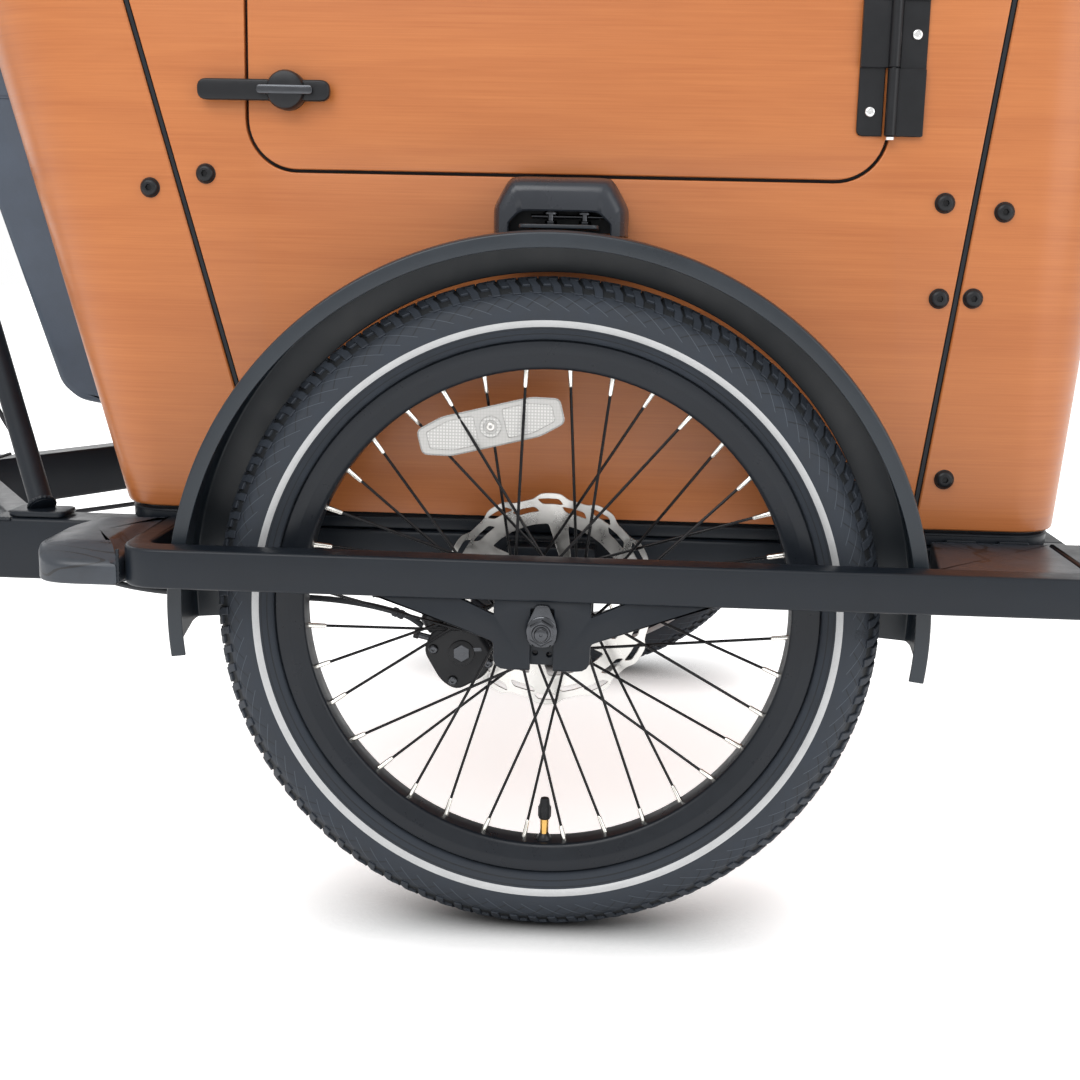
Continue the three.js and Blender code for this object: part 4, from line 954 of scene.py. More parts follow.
class Finishes:
    """Every finish of the tricycle, made once."""

    def __init__(self) -> None:
        """Makes the materials."""
        self.frame = PowderCoat("frame_coat", (0.006, 0.0085, 0.0125), 0.38).make()
        self.rim = PowderCoat("rim_black", (0.007, 0.009, 0.0125), 0.31, 0.03, 0.06).make()
        self.black = PowderCoat("black_fittings", (0.009, 0.0095, 0.011), 0.33, 0.04, 0.12).make()
        self.wire = PowderCoat("spoke_black", (0.012, 0.012, 0.013), 0.28, 0.0, 0.6).make()
        self.guard = MouldedPlastic("mudguard_plastic", (0.012, 0.0165, 0.022), 0.33, 900.0, 0.05).make()
        self.tread_pad = TreadPad("tread_pad").make()
        self.hood = MouldedPlastic("hood_plastic", (0.016, 0.019, 0.025), 0.27, 700.0, 0.03).make()
        self.rubber = MouldedPlastic("soft_rubber", (0.02, 0.022, 0.026), 0.66, 800.0, 0.2).make()
        self.case = MouldedPlastic("case_plastic", (0.045, 0.058, 0.08), 0.5, 500.0, 0.2).make()
        self.wood = LacqueredWood("lacquered_wood").make()
        self.tyre = TyreRubber("tyre_rubber").make()
        self.band = ReflectiveBand("reflective_band").make()
        self.lens = PrismaticLens("reflector_lens").make()
        self.steel = Metal("brake_steel", (0.66, 0.645, 0.62), 0.3, (90.0, 90.0, 90.0)).make()
        self.chrome = Metal("bright_chrome", (0.78, 0.78, 0.78), 0.14).make()
        self.dark_chrome = Metal("dark_chrome", (0.075, 0.078, 0.085), 0.22).make()
        self.nickel = Metal("nickel_nipples", (0.8, 0.78, 0.73), 0.2).make()
        self.brass = Metal("valve_brass", (0.72, 0.43, 0.13), 0.22).make()
        self.chain = Metal("chain_steel", (0.4, 0.38, 0.35), 0.33).make()
        self.amber = MouldedPlastic("amber_lens", (0.75, 0.24, 0.02), 0.2, 300.0, 0.2).make()
        self.leather = MouldedPlastic("saddle_cover", (0.016, 0.016, 0.017), 0.5, 260.0, 0.3).make()


# ---- Studio ---------------------------------------------------------------------------------------

@dataclass
class Studio:
    """White studio: pale floor, wide soft lights and the camera close to the right front wheel."""

    eye: tuple = (0.0519, -1.1318, 0.2782)
    yaw: float = 2.931
    pitch: float = 11.105
    roll: float = 1.286
    lens: float = 50.0

    def camera(self) -> None:
        """Places the camera: turned by yaw, tipped down by pitch, then rolled about its own line."""
        data = bpy.data.cameras.new("camera")
        data.lens, data.sensor_width = self.lens, 36.0
        camera = bpy.data.objects.new("camera", data)
        yaw, pitch, roll = (math.radians(v) for v in (self.yaw, self.pitch, self.roll))
        ahead = Vector((-math.sin(yaw), math.cos(yaw), 0.0))
        aside = Vector((math.cos(yaw), math.sin(yaw), 0.0))
        up = Vector((0.0, 0.0, 1.0))
        looking = ahead * math.cos(pitch) - up * math.sin(pitch)
        upright = up * math.cos(pitch) + ahead * math.sin(pitch)
        right = aside * math.cos(roll) + upright * math.sin(roll)
        top = upright * math.cos(roll) - aside * math.sin(roll)
        eye = Vector(self.eye) + Vector((ORIGIN_X, -WHEEL_Y * MM, AXLE_Z * MM))
        camera.matrix_world = Matrix((
            (right.x, top.x, -looking.x, eye.x), (right.y, top.y, -looking.y, eye.y),
            (right.z, top.z, -looking.z, eye.z), (0.0, 0.0, 0.0, 1.0)))
        bpy.context.scene.collection.objects.link(camera)
        bpy.context.scene.camera = camera

    def floor(self) -> None:
        """A wide pale floor with a little unevenness in its sheen, glowing evenly white but for a painted
        contact shadow: ambient occlusion darkens its glow and colour near things standing on it.
        """
        recipe = Recipe("studio_floor")
        cloud = recipe.noise(recipe.coordinates((1.0, 1.0, 1.0)), 2.2, 3.0)
        colour = recipe.ramp(cloud, [(0.3, 0.86, 0.86, 0.86), (0.7, 0.885, 0.885, 0.885)])
        recipe.put(Specular_IOR_Level=0.15)
        # Painted contact shadow: ambient occlusion within 0.1 m dims the floor's glow near things standing
        # on it.
        near = recipe.node("ShaderNodeAmbientOcclusion", samples=8)
        near.inputs["Distance"].default_value = 0.1
        shadow_dimmed_glow = recipe.math("MULTIPLY", recipe.math("POWER", near.outputs["AO"], 2.2), 0.62)
        recipe.link(shadow_dimmed_glow, recipe.shader.inputs["Emission Strength"])
        recipe.put(Emission_Color=(1.0, 1.0, 1.0, 1.0))
        # Painted contact shadow: the same occlusion mixes the floor's colour towards near black.
        blend = recipe.node("ShaderNodeMix", data_type="RGBA", blend_type="MIX")
        recipe.link(recipe.math("POWER", near.outputs["AO"], 1.6), blend.inputs["Factor"])
        blend.inputs["A"].default_value = (0.03, 0.03, 0.03, 1.0)
        recipe.link(colour, blend.inputs["B"])
        finish = recipe.finish_with(blend.outputs["Result"], recipe.span(cloud, 0.6, 0.7))
        reach, steps = 14.0, 29
        line = np.linspace(-reach, reach, steps)
        x, y = np.meshgrid(line, line, indexing="ij")
        shell = grid_shell(np.stack([x, y, 0.0 * x], -1), wrap_cols=False, caps=False)
        mesh = bpy.data.meshes.new("floor")
        mesh.from_pydata(shell.points.tolist(), [], shell.faces[0][:, ::-1].tolist())
        mesh.materials.append(finish)
        floor = bpy.data.objects.new("floor", mesh)
        bpy.context.scene.collection.objects.link(floor)

    def light(self, name: str, place: Sequence[float], target: Sequence[float], size: Sequence[float],
              power: float, tint: Sequence[float] = (1.0, 1.0, 1.0)) -> None:
        """Hangs one soft rectangular light.

        Args:
            name: the light's name.
            place: where it hangs, in metres.
            target: the point it faces.
            size: its width and height.
            power: watts.
            tint: its colour.
        """
        data = bpy.data.lights.new(name, "AREA")
        data.shape, data.size, data.size_y = "RECTANGLE", size[0], size[1]
        data.energy, data.color = power, tint
        lamp = bpy.data.objects.new(name, data)
        way = Vector(target) - Vector(place)
        lamp.matrix_world = Matrix.Translation(Vector(place)) @ way.to_track_quat("-Z",
                "Y").to_matrix().to_4x4()
        bpy.context.scene.collection.objects.link(lamp)

    def build(self) -> None:
        """Sets camera, floor, sky and lights."""
        self.camera()
        self.floor()
        world = bpy.data.worlds.new("studio")
        world.use_nodes = True
        world.node_tree.nodes["Background"].inputs["Color"].default_value = (1.0, 1.0, 1.0, 1.0)
        world.node_tree.nodes["Background"].inputs["Strength"].default_value = 1.0
        bpy.context.scene.world = world
        self.light("key", (ORIGIN_X - 0.9, -2.6, 2.6), (ORIGIN_X, -0.3, 0.4), (2.6, 1.6), 60.0)
        self.light("fill", (ORIGIN_X + 2.4, -2.2, 1.4), (ORIGIN_X, -0.3, 0.4), (1.8, 1.8), 22.0)
        self.light("back", (-1.4, 2.6, 2.2), (0.0, 0.0, 0.5), (2.4, 1.6), 40.0)
        view = bpy.context.scene.view_settings
        view.view_transform = "Standard"
        view.look = "None"
        LOG.info("studio ready")


# ---- Front wheel -----------------------------------------------------------------------------------

def place_on_axle(centre: Sequence[float], outward: float = -1.0) -> Callable[[np.ndarray], np.ndarray]:
    """A change that takes a wheel drawn about Y, with +Y outward, to its centre and side."""
    c = np.asarray(centre, float)

    def change(points: np.ndarray) -> np.ndarray:
        """Moves the points."""
        return points * np.array([1.0, outward, 1.0]) + c
    return change


@dataclass
class Tyre:
    """A cargo tyre: carcass with reflective band, block tread and shoulder bars."""

    radius: float
    profile: tuple
    pitches: int = 102
    base_drop: float = 2.1

    def outer(self) -> np.ndarray:
        """The half profile from crown to bead, as a smooth curve of (radius, across)."""
        return curve_through(self.profile, 57)

    def carcass(self, band: tuple) -> Shell:
        """Carcass whose radius falls by the tread's depth near the crown, with a step at each line.

        Args:
            band: radii of the reflective band's outer and inner edge.

        Returns:
            The closed surface.
        """
        half = self.outer()
        run = np.concatenate([[0.0], np.cumsum(np.linalg.norm(np.diff(half, axis=0), axis=1))])
        drop = self.base_drop * (1.0 - smooth(24.0, 34.0, run))
        tangent = unit(np.gradient(half, axis=0))
        normal = np.stack([tangent[:, 1], -tangent[:, 0]], 1)
        normal *= np.sign(normal[:1, :1]) if normal[0, 0] < 0 else 1.0
        skin = half - normal * drop[:, None]
        edge = [int(np.argmin(np.abs(half[:, 0] - r) + 60 * (half[:, 1] < 15))) for r in band]
        bead_r, bead_y = half[-1]
        inside = curve_through([(bead_r, bead_y - 3.0), (bead_r + 8.0, bead_y - 1.5),
                                (bead_r + 24.0, bead_y + 12.0), (self.radius - 22.0, 18.5),
                                (self.radius - 9.0, 8.0), (self.radius - 7.0, 0.0)], 18)
        right = np.concatenate([skin, inside])
        left = right[::-1][1:-1] * np.array([1.0, -1.0])
        loop = np.concatenate([right, left])
        n = len(loop)
        count = self.pitches * 2
        shell = revolved(loop, count)
        lap = np.repeat(np.arange(count) / 2.0, n).reshape(count, n)
        across = np.abs(np.concatenate([run, run[-1] + 5 + np.arange(len(inside)),
                                        np.full(len(left), 200.0)]))
        mirrored = np.arange(n) >= len(right)
        across[mirrored] = np.concatenate([np.full(len(inside) - 1, 200.0),
                run[::-1][:-1]])[:mirrored.sum()]
        zone = np.broadcast_to((across < 100.0).astype(float), (count, n))
        marks = np.stack([lap, np.broadcast_to(across, (count, n)), zone], -1).reshape(-1, 3)
        quads = shell.faces[0]
        column = quads[:, 0] % n
        lo, hi = min(edge), max(edge)
        banded = (column >= lo) & (column < hi) | (column >= n - hi) & (column < n - lo)
        return Shell(shell.points, [quads[~banded], quads[banded]], marks, [0, 1])

    def surface(self, angle: np.ndarray, run: np.ndarray, lift: np.ndarray) -> np.ndarray:
        """Points on the tyre: an angle round, a distance across from the crown, and a height off it."""
        half = self.outer()
        along = np.concatenate([[0.0], np.cumsum(np.linalg.norm(np.diff(half, axis=0), axis=1))])
        tangent = unit(np.gradient(half, axis=0))
        normal = np.stack([np.abs(tangent[:, 1]), -tangent[:, 0] * np.sign(tangent[:, 1] + 1e-9)], 1)
        t = np.abs(run)
        r = np.interp(t, along, half[:, 0]) + lift * np.interp(t, along, normal[:, 0])
        y = np.interp(t, along, half[:, 1]) + lift * np.interp(t, along, normal[:, 1])
        y = y * np.where(run < 0, -1.0, 1.0)
        return np.stack([r * np.cos(angle), y, r * np.sin(angle)], -1)

    def block(self, outline: np.ndarray, top: object, sink: float, angles: np.ndarray,
              taper: float = 0.5) -> list:
        """One tread block repeated round the tyre.

        Args:
            outline: loop of (way round in mm, distance across in mm).
            top: height of the block's top over the tyre's crown surface, one or one per point.
            sink: depth of its foot.
            angles: where round the tyre each copy sits, in radians.
            taper: how far the top is drawn in.

        Returns:
            A shell for each copy set: one shell holding all of them.
        """
        loop = outline if turn_way(outline) > 0 else outline[::-1]
        k, n = len(angles), len(loop)
        rings = [(loop, -sink), (loop, np.asarray(top) - 0.5), (offset_loop(loop, -taper), top)]
        pts = []
        for ring, lift in rings:
            angle = angles[:, None] + ring[None, :, 0] / self.radius
            pts.append(self.surface(angle, np.broadcast_to(ring[None, :, 1], angle.shape),
                                    np.broadcast_to(np.asarray(lift, float), angle.shape)))
        points = np.stack(pts, 1)
        one = grid_shell(np.zeros((3, n, 3)))
        quads, bottom, lid = one.faces
        base = (np.arange(k) * 3 * n)[:, None, None]
        faces = [(quads[None] + base).reshape(-1, 4), (bottom[None] + base).reshape(-1, n),
                 (lid[None] + base).reshape(-1, n)]
        lap = np.broadcast_to((angles * self.pitches / (2 * np.pi))[:, None, None], (k, 3, n))
        marks = np.stack([lap, np.zeros_like(lap), np.zeros_like(lap)], -1).reshape(-1, 3)
        return [Shell(points.reshape(-1, 3), faces, marks, 0)]

    def tread(self) -> list:
        """Shoulder bars, blocks between them and a zigzag rib along the crown, on both halves.

        A bar leans as it runs inwards; the block beside it fills the gap, and the crown's rib is
        made of overlapping slanted bricks. The other half is the same half turned about the wheel's
        own middle line, so the pattern points one way round.
        """
        step = 2 * np.pi / self.pitches
        angles = np.arange(self.pitches) * step
        pitch = step * self.radius
        wide = 0.40 * pitch
        shells = []
        for way in (1.0, -1.0):
            shift = 0.0 if way > 0 else step / 2

            def across(points: Sequence[Sequence[float]]) -> np.ndarray:
                """Turns (way round, distance across) into this half's loop."""
                p = np.asarray(points, float)
                return np.stack([p[:, 0], p[:, 1] * way], 1)
            bar = across([(0, 27.5), (wide, 27.5), (wide + 1.4, 20.5), (wide + 5.6, 12.5), (5.6, 12.5),
                          (1.4, 20.5)])
            shells += self.block(bar, 0.0, 3.0, angles + shift)
            fill = across([(wide + 2.6, 19.3), (pitch - 0.9, 19.3), (pitch + 1.3, 13.4),
                           (pitch + 2.4, 8.6), (wide + 7.6, 8.6), (wide + 4.6, 13.4)])
            shells += self.block(fill, -0.15, 3.0, angles + shift)
            brick = across([(5.0, 11.2), (5.0 + wide * 0.95, 11.2), (12.2, 4.9), (6.0, 4.9)])
            shells += self.block(brick, -0.1, 3.0, angles + shift)
        rib = np.array([(0.0, 4.0), (pitch * 0.86, 2.6), (pitch * 0.86, -4.0), (0.0, -2.6)])
        shells += self.block(rib, 0.0, 3.0, angles + step * 0.3)
        return shells


@dataclass
class Wheel:
    """A spoked wheel: rim with its bead seats, hub and crossed spokes with nipples."""

    centre: tuple
    rim_profile: tuple
    inner_profile: tuple
    bed_radius: float
    flanges: tuple
    flange_radius: float
    hub_profile: tuple
    spokes: int = 36
    spoke_radius: float = 1.15
    cross_angle: float = 60.0
    first_angle: float = 0.8

    def rim(self) -> Shell:
        """The rim turned from its half profile and its mirror image."""
        outer = np.asarray(self.rim_profile, float)
        inner = np.asarray(self.inner_profile, float)
        half = np.concatenate([outer, inner])
        other = half[::-1][1:-1] * np.array([1.0, -1.0])
        return revolved(np.concatenate([half, other]), 144)

    def spoke_lines(self) -> tuple:
        """Start and end of each spoke's middle line, and its flange side.

        Rim holes are evenly spaced. Neighbouring holes belong to opposite flanges, and along one
        flange spokes lead and trail by turns, so each meets the flange a cross angle away.
        """
        k = np.arange(self.spokes)
        step = 2 * np.pi / self.spokes
        rim_angle = (k + 0.5) * step - np.pi / 2 + math.radians(self.first_angle)
        way = np.where((k // 2) % 2 == 0, -1.0, 1.0)
        flange = np.where(k % 2 == 0, self.flanges[0], self.flanges[1])
        hub_angle = rim_angle + way * math.radians(self.cross_angle)
        outset = np.where(way > 0, 2.1, -2.1) * np.sign(flange)
        start = np.stack([self.flange_radius * np.cos(hub_angle), flange + outset,
                          self.flange_radius * np.sin(hub_angle)], 1)
        end = np.stack([self.bed_radius * np.cos(rim_angle), flange * 0.12,
                        self.bed_radius * np.sin(rim_angle)], 1)
        return start, end, outset

    def spoke_shells(self) -> list:
        """Wires with their bent heads at the flange, in slot 0, and nipples, in slot 1."""
        start, end, outset = self.spoke_lines()
        length = float(np.linalg.norm(end[0] - start[0]))
        wires = many_rods(start, end, [(-1.0, self.spoke_radius * 0.8), (0.0, self.spoke_radius),
                                       (length - 9.0, self.spoke_radius)], 10)
        side = np.sign(outset)[:, None] * np.array([0.0, 1.0, 0.0])
        heads = many_rods(start + side * 1.6, start - side * 4.6,
                          [(-0.6, 1.0), (0.0, 2.1), (0.9, 2.1), (1.5, 1.25), (6.0, 1.25)], 10)
        nipples = many_rods(start, end, [(-5.0, 2.3), (-0.5, 2.5), (2.5, 2.0), (13.0, 1.75), (14.0, 1.2)],
                12,
                            from_end=True, slot=1)
        return [wires, heads, nipples]

    def hub(self) -> Shell:
        """The hub shell turned from its profile, seen from the outside on +Y."""
        return revolved(self.hub_profile, 64)

    def valve_shells(self, brass: int, black: int) -> list:
        """Car-type valve standing inwards from the rim's lowest point."""
        x, top = 2.5, -self.bed_radius + 1.0
        base = rod((x, 0, top - 6), (x, 0, top + 40), [(0, 6.5), (6, 6.2), (9, 4.6), (10.5, 3.4)], 20,
                   slot=black)
        ribs = [(0, 3.3)]
        ribs += [(d, 3.3 + 0.18 * (i % 2)) for i, d in enumerate(np.linspace(0.5, 13.5, 22))]
        stem = rod((x, 0, top + 3), (x, 0, top + 40), ribs + [(14, 3.2)], 16, slot=brass)
        cap = rod((x, 0, top + 16.5), (x, 0, top + 50),
                  [(0, 4.2), (0.8, 4.7), (11, 4.7), (12.4, 4.1), (16, 3.7), (17.2, 3.2), (17.8, 1.6)], 20,
                  slot=black)
        flutes = many_rods(np.stack([x + 4.6 * np.cos(np.arange(10) * 0.628),
                4.6 * np.sin(np.arange(10) * 0.628),
                                     np.full(10, top + 18.0)], 1),
                           np.stack([x + 4.6 * np.cos(np.arange(10) * 0.628),
                                     4.6 * np.sin(np.arange(10) * 0.628), np.full(10, top + 40.0)], 1),
                           [(0, 0.4), (0.5, 0.7), (8.5, 0.7), (9, 0.4)], 6, slot=black)
        return [base, stem, cap, flutes]


@dataclass
class BrakeDisc:
    """A ventilated disc: wavy ring with slots, and six leaning arms to the hub."""

    middle: float = -35.7
    radius: float = 87.0
    track: float = 66.0
    thick: float = 1.8
    waves: int = 12

    def loops(self) -> list:
        """Outline and holes: the rim's radius waves as cos(n angle), slots repeat between waves."""
        a = np.arange(288) * 2 * np.pi / 288
        wave = self.radius - 2.2 + 2.2 * np.tanh(2.0 * np.cos(self.waves * a))
        outline = np.stack([wave * np.cos(a), wave * np.sin(a)], 1)
        loops = [outline]
        for k in range(self.waves):
            middle = k * 360.0 / self.waves
            for radius, shift, half, width in ((self.radius - 6.6, 0.0, 6.0, 2.1),
                                               (self.radius - 12.3, 15.0, 6.8, 2.0)):
                loops.append(self.slot_loop(radius, middle + shift, half, width))
        loops += [self.window(k * 60.0) for k in range(6)]
        loops.append(circle(17.5, 36))
        loops += [circle(2.6, 12, (22.0 * math.cos(math.radians(k * 60 + 30)),
                                   22.0 * math.sin(math.radians(k * 60 + 30)))) for k in range(6)]
        return loops

    def slot_loop(self, radius: float, middle: float, half: float, width: float) -> np.ndarray:
        """A curved slot: its two long sides follow circles, leaning with the disc's turn."""
        outer = arc((0, 0), radius + width, middle - half + 1.5, middle + half + 1.5, 7)
        inner = arc((0, 0), radius - width, middle + half - 1.5, middle - half - 1.5, 7)
        return filleted(np.concatenate([outer[[0, 3, 6]], inner[[0, 3, 6]]]), [1.6, 0.1, 1.6, 1.6, 0.1,
                1.6], 3)

    def window(self, turn: float) -> np.ndarray:
        """The gap between two leaning arms, as a rounded four-sided hole."""
        lean = 24.0
        inner, outer = 29.5, self.track - 3.5
        corners = np.concatenate([arc((0, 0), inner, turn + 9, turn + 51, 4),
                                  arc((0, 0), outer, turn + 53 + lean, turn + 7 + lean, 6)])
        return filleted(corners, 2.2, 3)

    def shells(self) -> list:
        """The disc's plate and its six bolts."""
        plate = slab(self.loops(), self.middle - self.thick / 2, self.middle + self.thick / 2, 0.25)
        bolts = [button_bolt((22.0 * math.cos(math.radians(k * 60 + 30)), self.middle - 0.8,
                              22.0 * math.sin(math.radians(k * 60 + 30))), (0, -1, 0), 4.2, 2.4,
                             slot=1) for k in range(6)]
        return [plate] + bolts


@dataclass
class Reflector:
    """A spoke reflector: lens with pointed ends, a boss in the middle and a clip behind."""

    centre: tuple = (-45.0, 143.0)
    length: float = 112.0
    height: float = 31.0
    tilt: float = 14.0
    out: float = 6.0

    def shells(self) -> list:
        """Lens, its rim, the boss with its screw and the backing clip."""
        half, h = self.length / 2, self.height / 2
        outline = filleted([(-half, -h * 0.62), (-half * 0.62, -h), (half * 0.62, -h), (half, -h * 0.62),
                            (half, h * 0.62), (half * 0.62, h), (-half * 0.62, h), (-half, h * 0.62)],
                            4.5, 4)
        a = math.radians(self.tilt)

        def place(points: np.ndarray) -> np.ndarray:
            """Turns the flat reflector to its tilt and moves it to its place."""
            x = points[:, 0] * math.cos(a) - points[:, 2] * math.sin(a) + self.centre[0]
            z = points[:, 0] * math.sin(a) + points[:, 2] * math.cos(a) + self.centre[1]
            return np.stack([x, points[:, 1], z], 1)
        shells = [slab([outline], self.out - 3.5, self.out + 1.4, 1.2, slot=0)]
        field_l = [filleted([(-half + 7, -h * 0.42), (-half * 0.55, -h + 4), (-11, -h + 4), (-11, h - 4),
                             (-half * 0.55, h - 4), (-half + 7, h * 0.42)], 2.0, 3)]
        field_r = [field_l[0] * np.array([-1.0, 1.0])]
        shells += [slab(f, self.out + 0.5, self.out + 2.1, 0.6, slot=0) for f in (field_l, field_r)]
        shells.append(slab([circle(8.2, 28), circle(5.2, 24)], self.out + 0.4, self.out + 2.6, 0.5, slot=0))
        shells.append(button_bolt((0, self.out + 0.9, 0), (0, 1, 0), 3.6, 1.6, slot=1))
        shells.append(slab([rounded_box(30, 9, 2)], self.out - 8.0, self.out - 3.4, 1.0, slot=2))
        return [s.moved(place) for s in shells]


@dataclass
class FrontWheel:
    """One front wheel with tyre, rim, hub, disc and reflector."""

    side: Side
    finishes: Finishes
    tyre: Tyre = field(default_factory=lambda: Tyre(256.0, (
        (256, 0), (255.7, 6), (254.2, 12), (250.7, 18), (245.2, 23.2), (238, 26.6), (230, 28.0),
        (222, 26.4), (215, 21), (210.6, 16.8), (209.8, 12.2), (204, 11.5), (201, 10))))
    disc: BrakeDisc = field(default_factory=BrakeDisc)
    reflector: Reflector = field(default_factory=Reflector)

    def wheel(self) -> Wheel:
        """The wheel's sizes."""
        hub = ((5.9, 43), (9, 43), (9.5, 42.4), (14, 42.4), (15, 41.5), (15.5, 35), (17, 32.6), (28.2, 32),
               (29, 31.4), (29, 28.6), (28.2, 28), (19, 27), (16, 22), (15.5, 2), (16.5, -14), (20, -19.6),
               (28.2, -20.4), (29, -21), (29, -23.4), (28.2, -24), (22, -25), (21, -28), (17.2, -29),
               (17.2, -37), (12, -38), (5.9, -38.2))
        rim = ((209, 14.9), (208.6, 15.3), (207.5, 15.4), (200.2, 15.4), (199.2, 15.0), (198.6, 14.8),
               (191, 12.7), (189.0, 11.9), (187.9, 10.6), (187.6, 8.8), (187.5, 0))
        inner = ((196, 0), (196, 9.6), (199, 12.4), (206, 12.6), (208.6, 13.2), (209, 13.8))
        return Wheel((0.0, -WHEEL_Y, AXLE_Z), rim, inner[::1], 188.0, (30.0, -22.0), 26.0, hub)

    def build(self) -> None:
        """Makes the wheel's five pieces."""
        f, side, word = self.finishes, self.side, self.side.word
        body = f"front_wheel_{word}"
        place = place_on_axle((0.0, -WHEEL_Y, AXLE_Z))
        wheel = self.wheel()
        tyre = [self.tyre.carcass((224.4, 219.6))] + self.tyre.tread()
        make_piece("tyre", [s.moved(place) for s in tyre], [f.tyre, f.band], body,
                   [f"front_tyre_{word}"], side)
        rim_valve = [wheel.rim()] + wheel.valve_shells(2, 1)
        make_piece("rim", [s.moved(place) for s in rim_valve], [f.rim, f.black, f.brass], body,
                   [f"front_rim_{word}"], side)
        spokes = [wheel.hub().painted(2)] + wheel.spoke_shells()
        make_piece("hub_and_spokes", [s.moved(place) for s in spokes], [f.wire, f.nickel, f.black],
                   body, [f"spoked_hub_{word}"], side)
        make_piece("disc", [s.moved(place) for s in self.disc.shells()], [f.steel, f.dark_chrome],
                   body, [f"brake_disc_{word}"], side, crease=25.0)
        make_piece("reflector", [s.moved(place) for s in self.reflector.shells()],
                   [f.lens, f.steel, f.rubber], body, [f"wheel_reflector_{word}"], side)


# ---- Guard bar, pads, mudguard and brake ------------------------------------------------------------

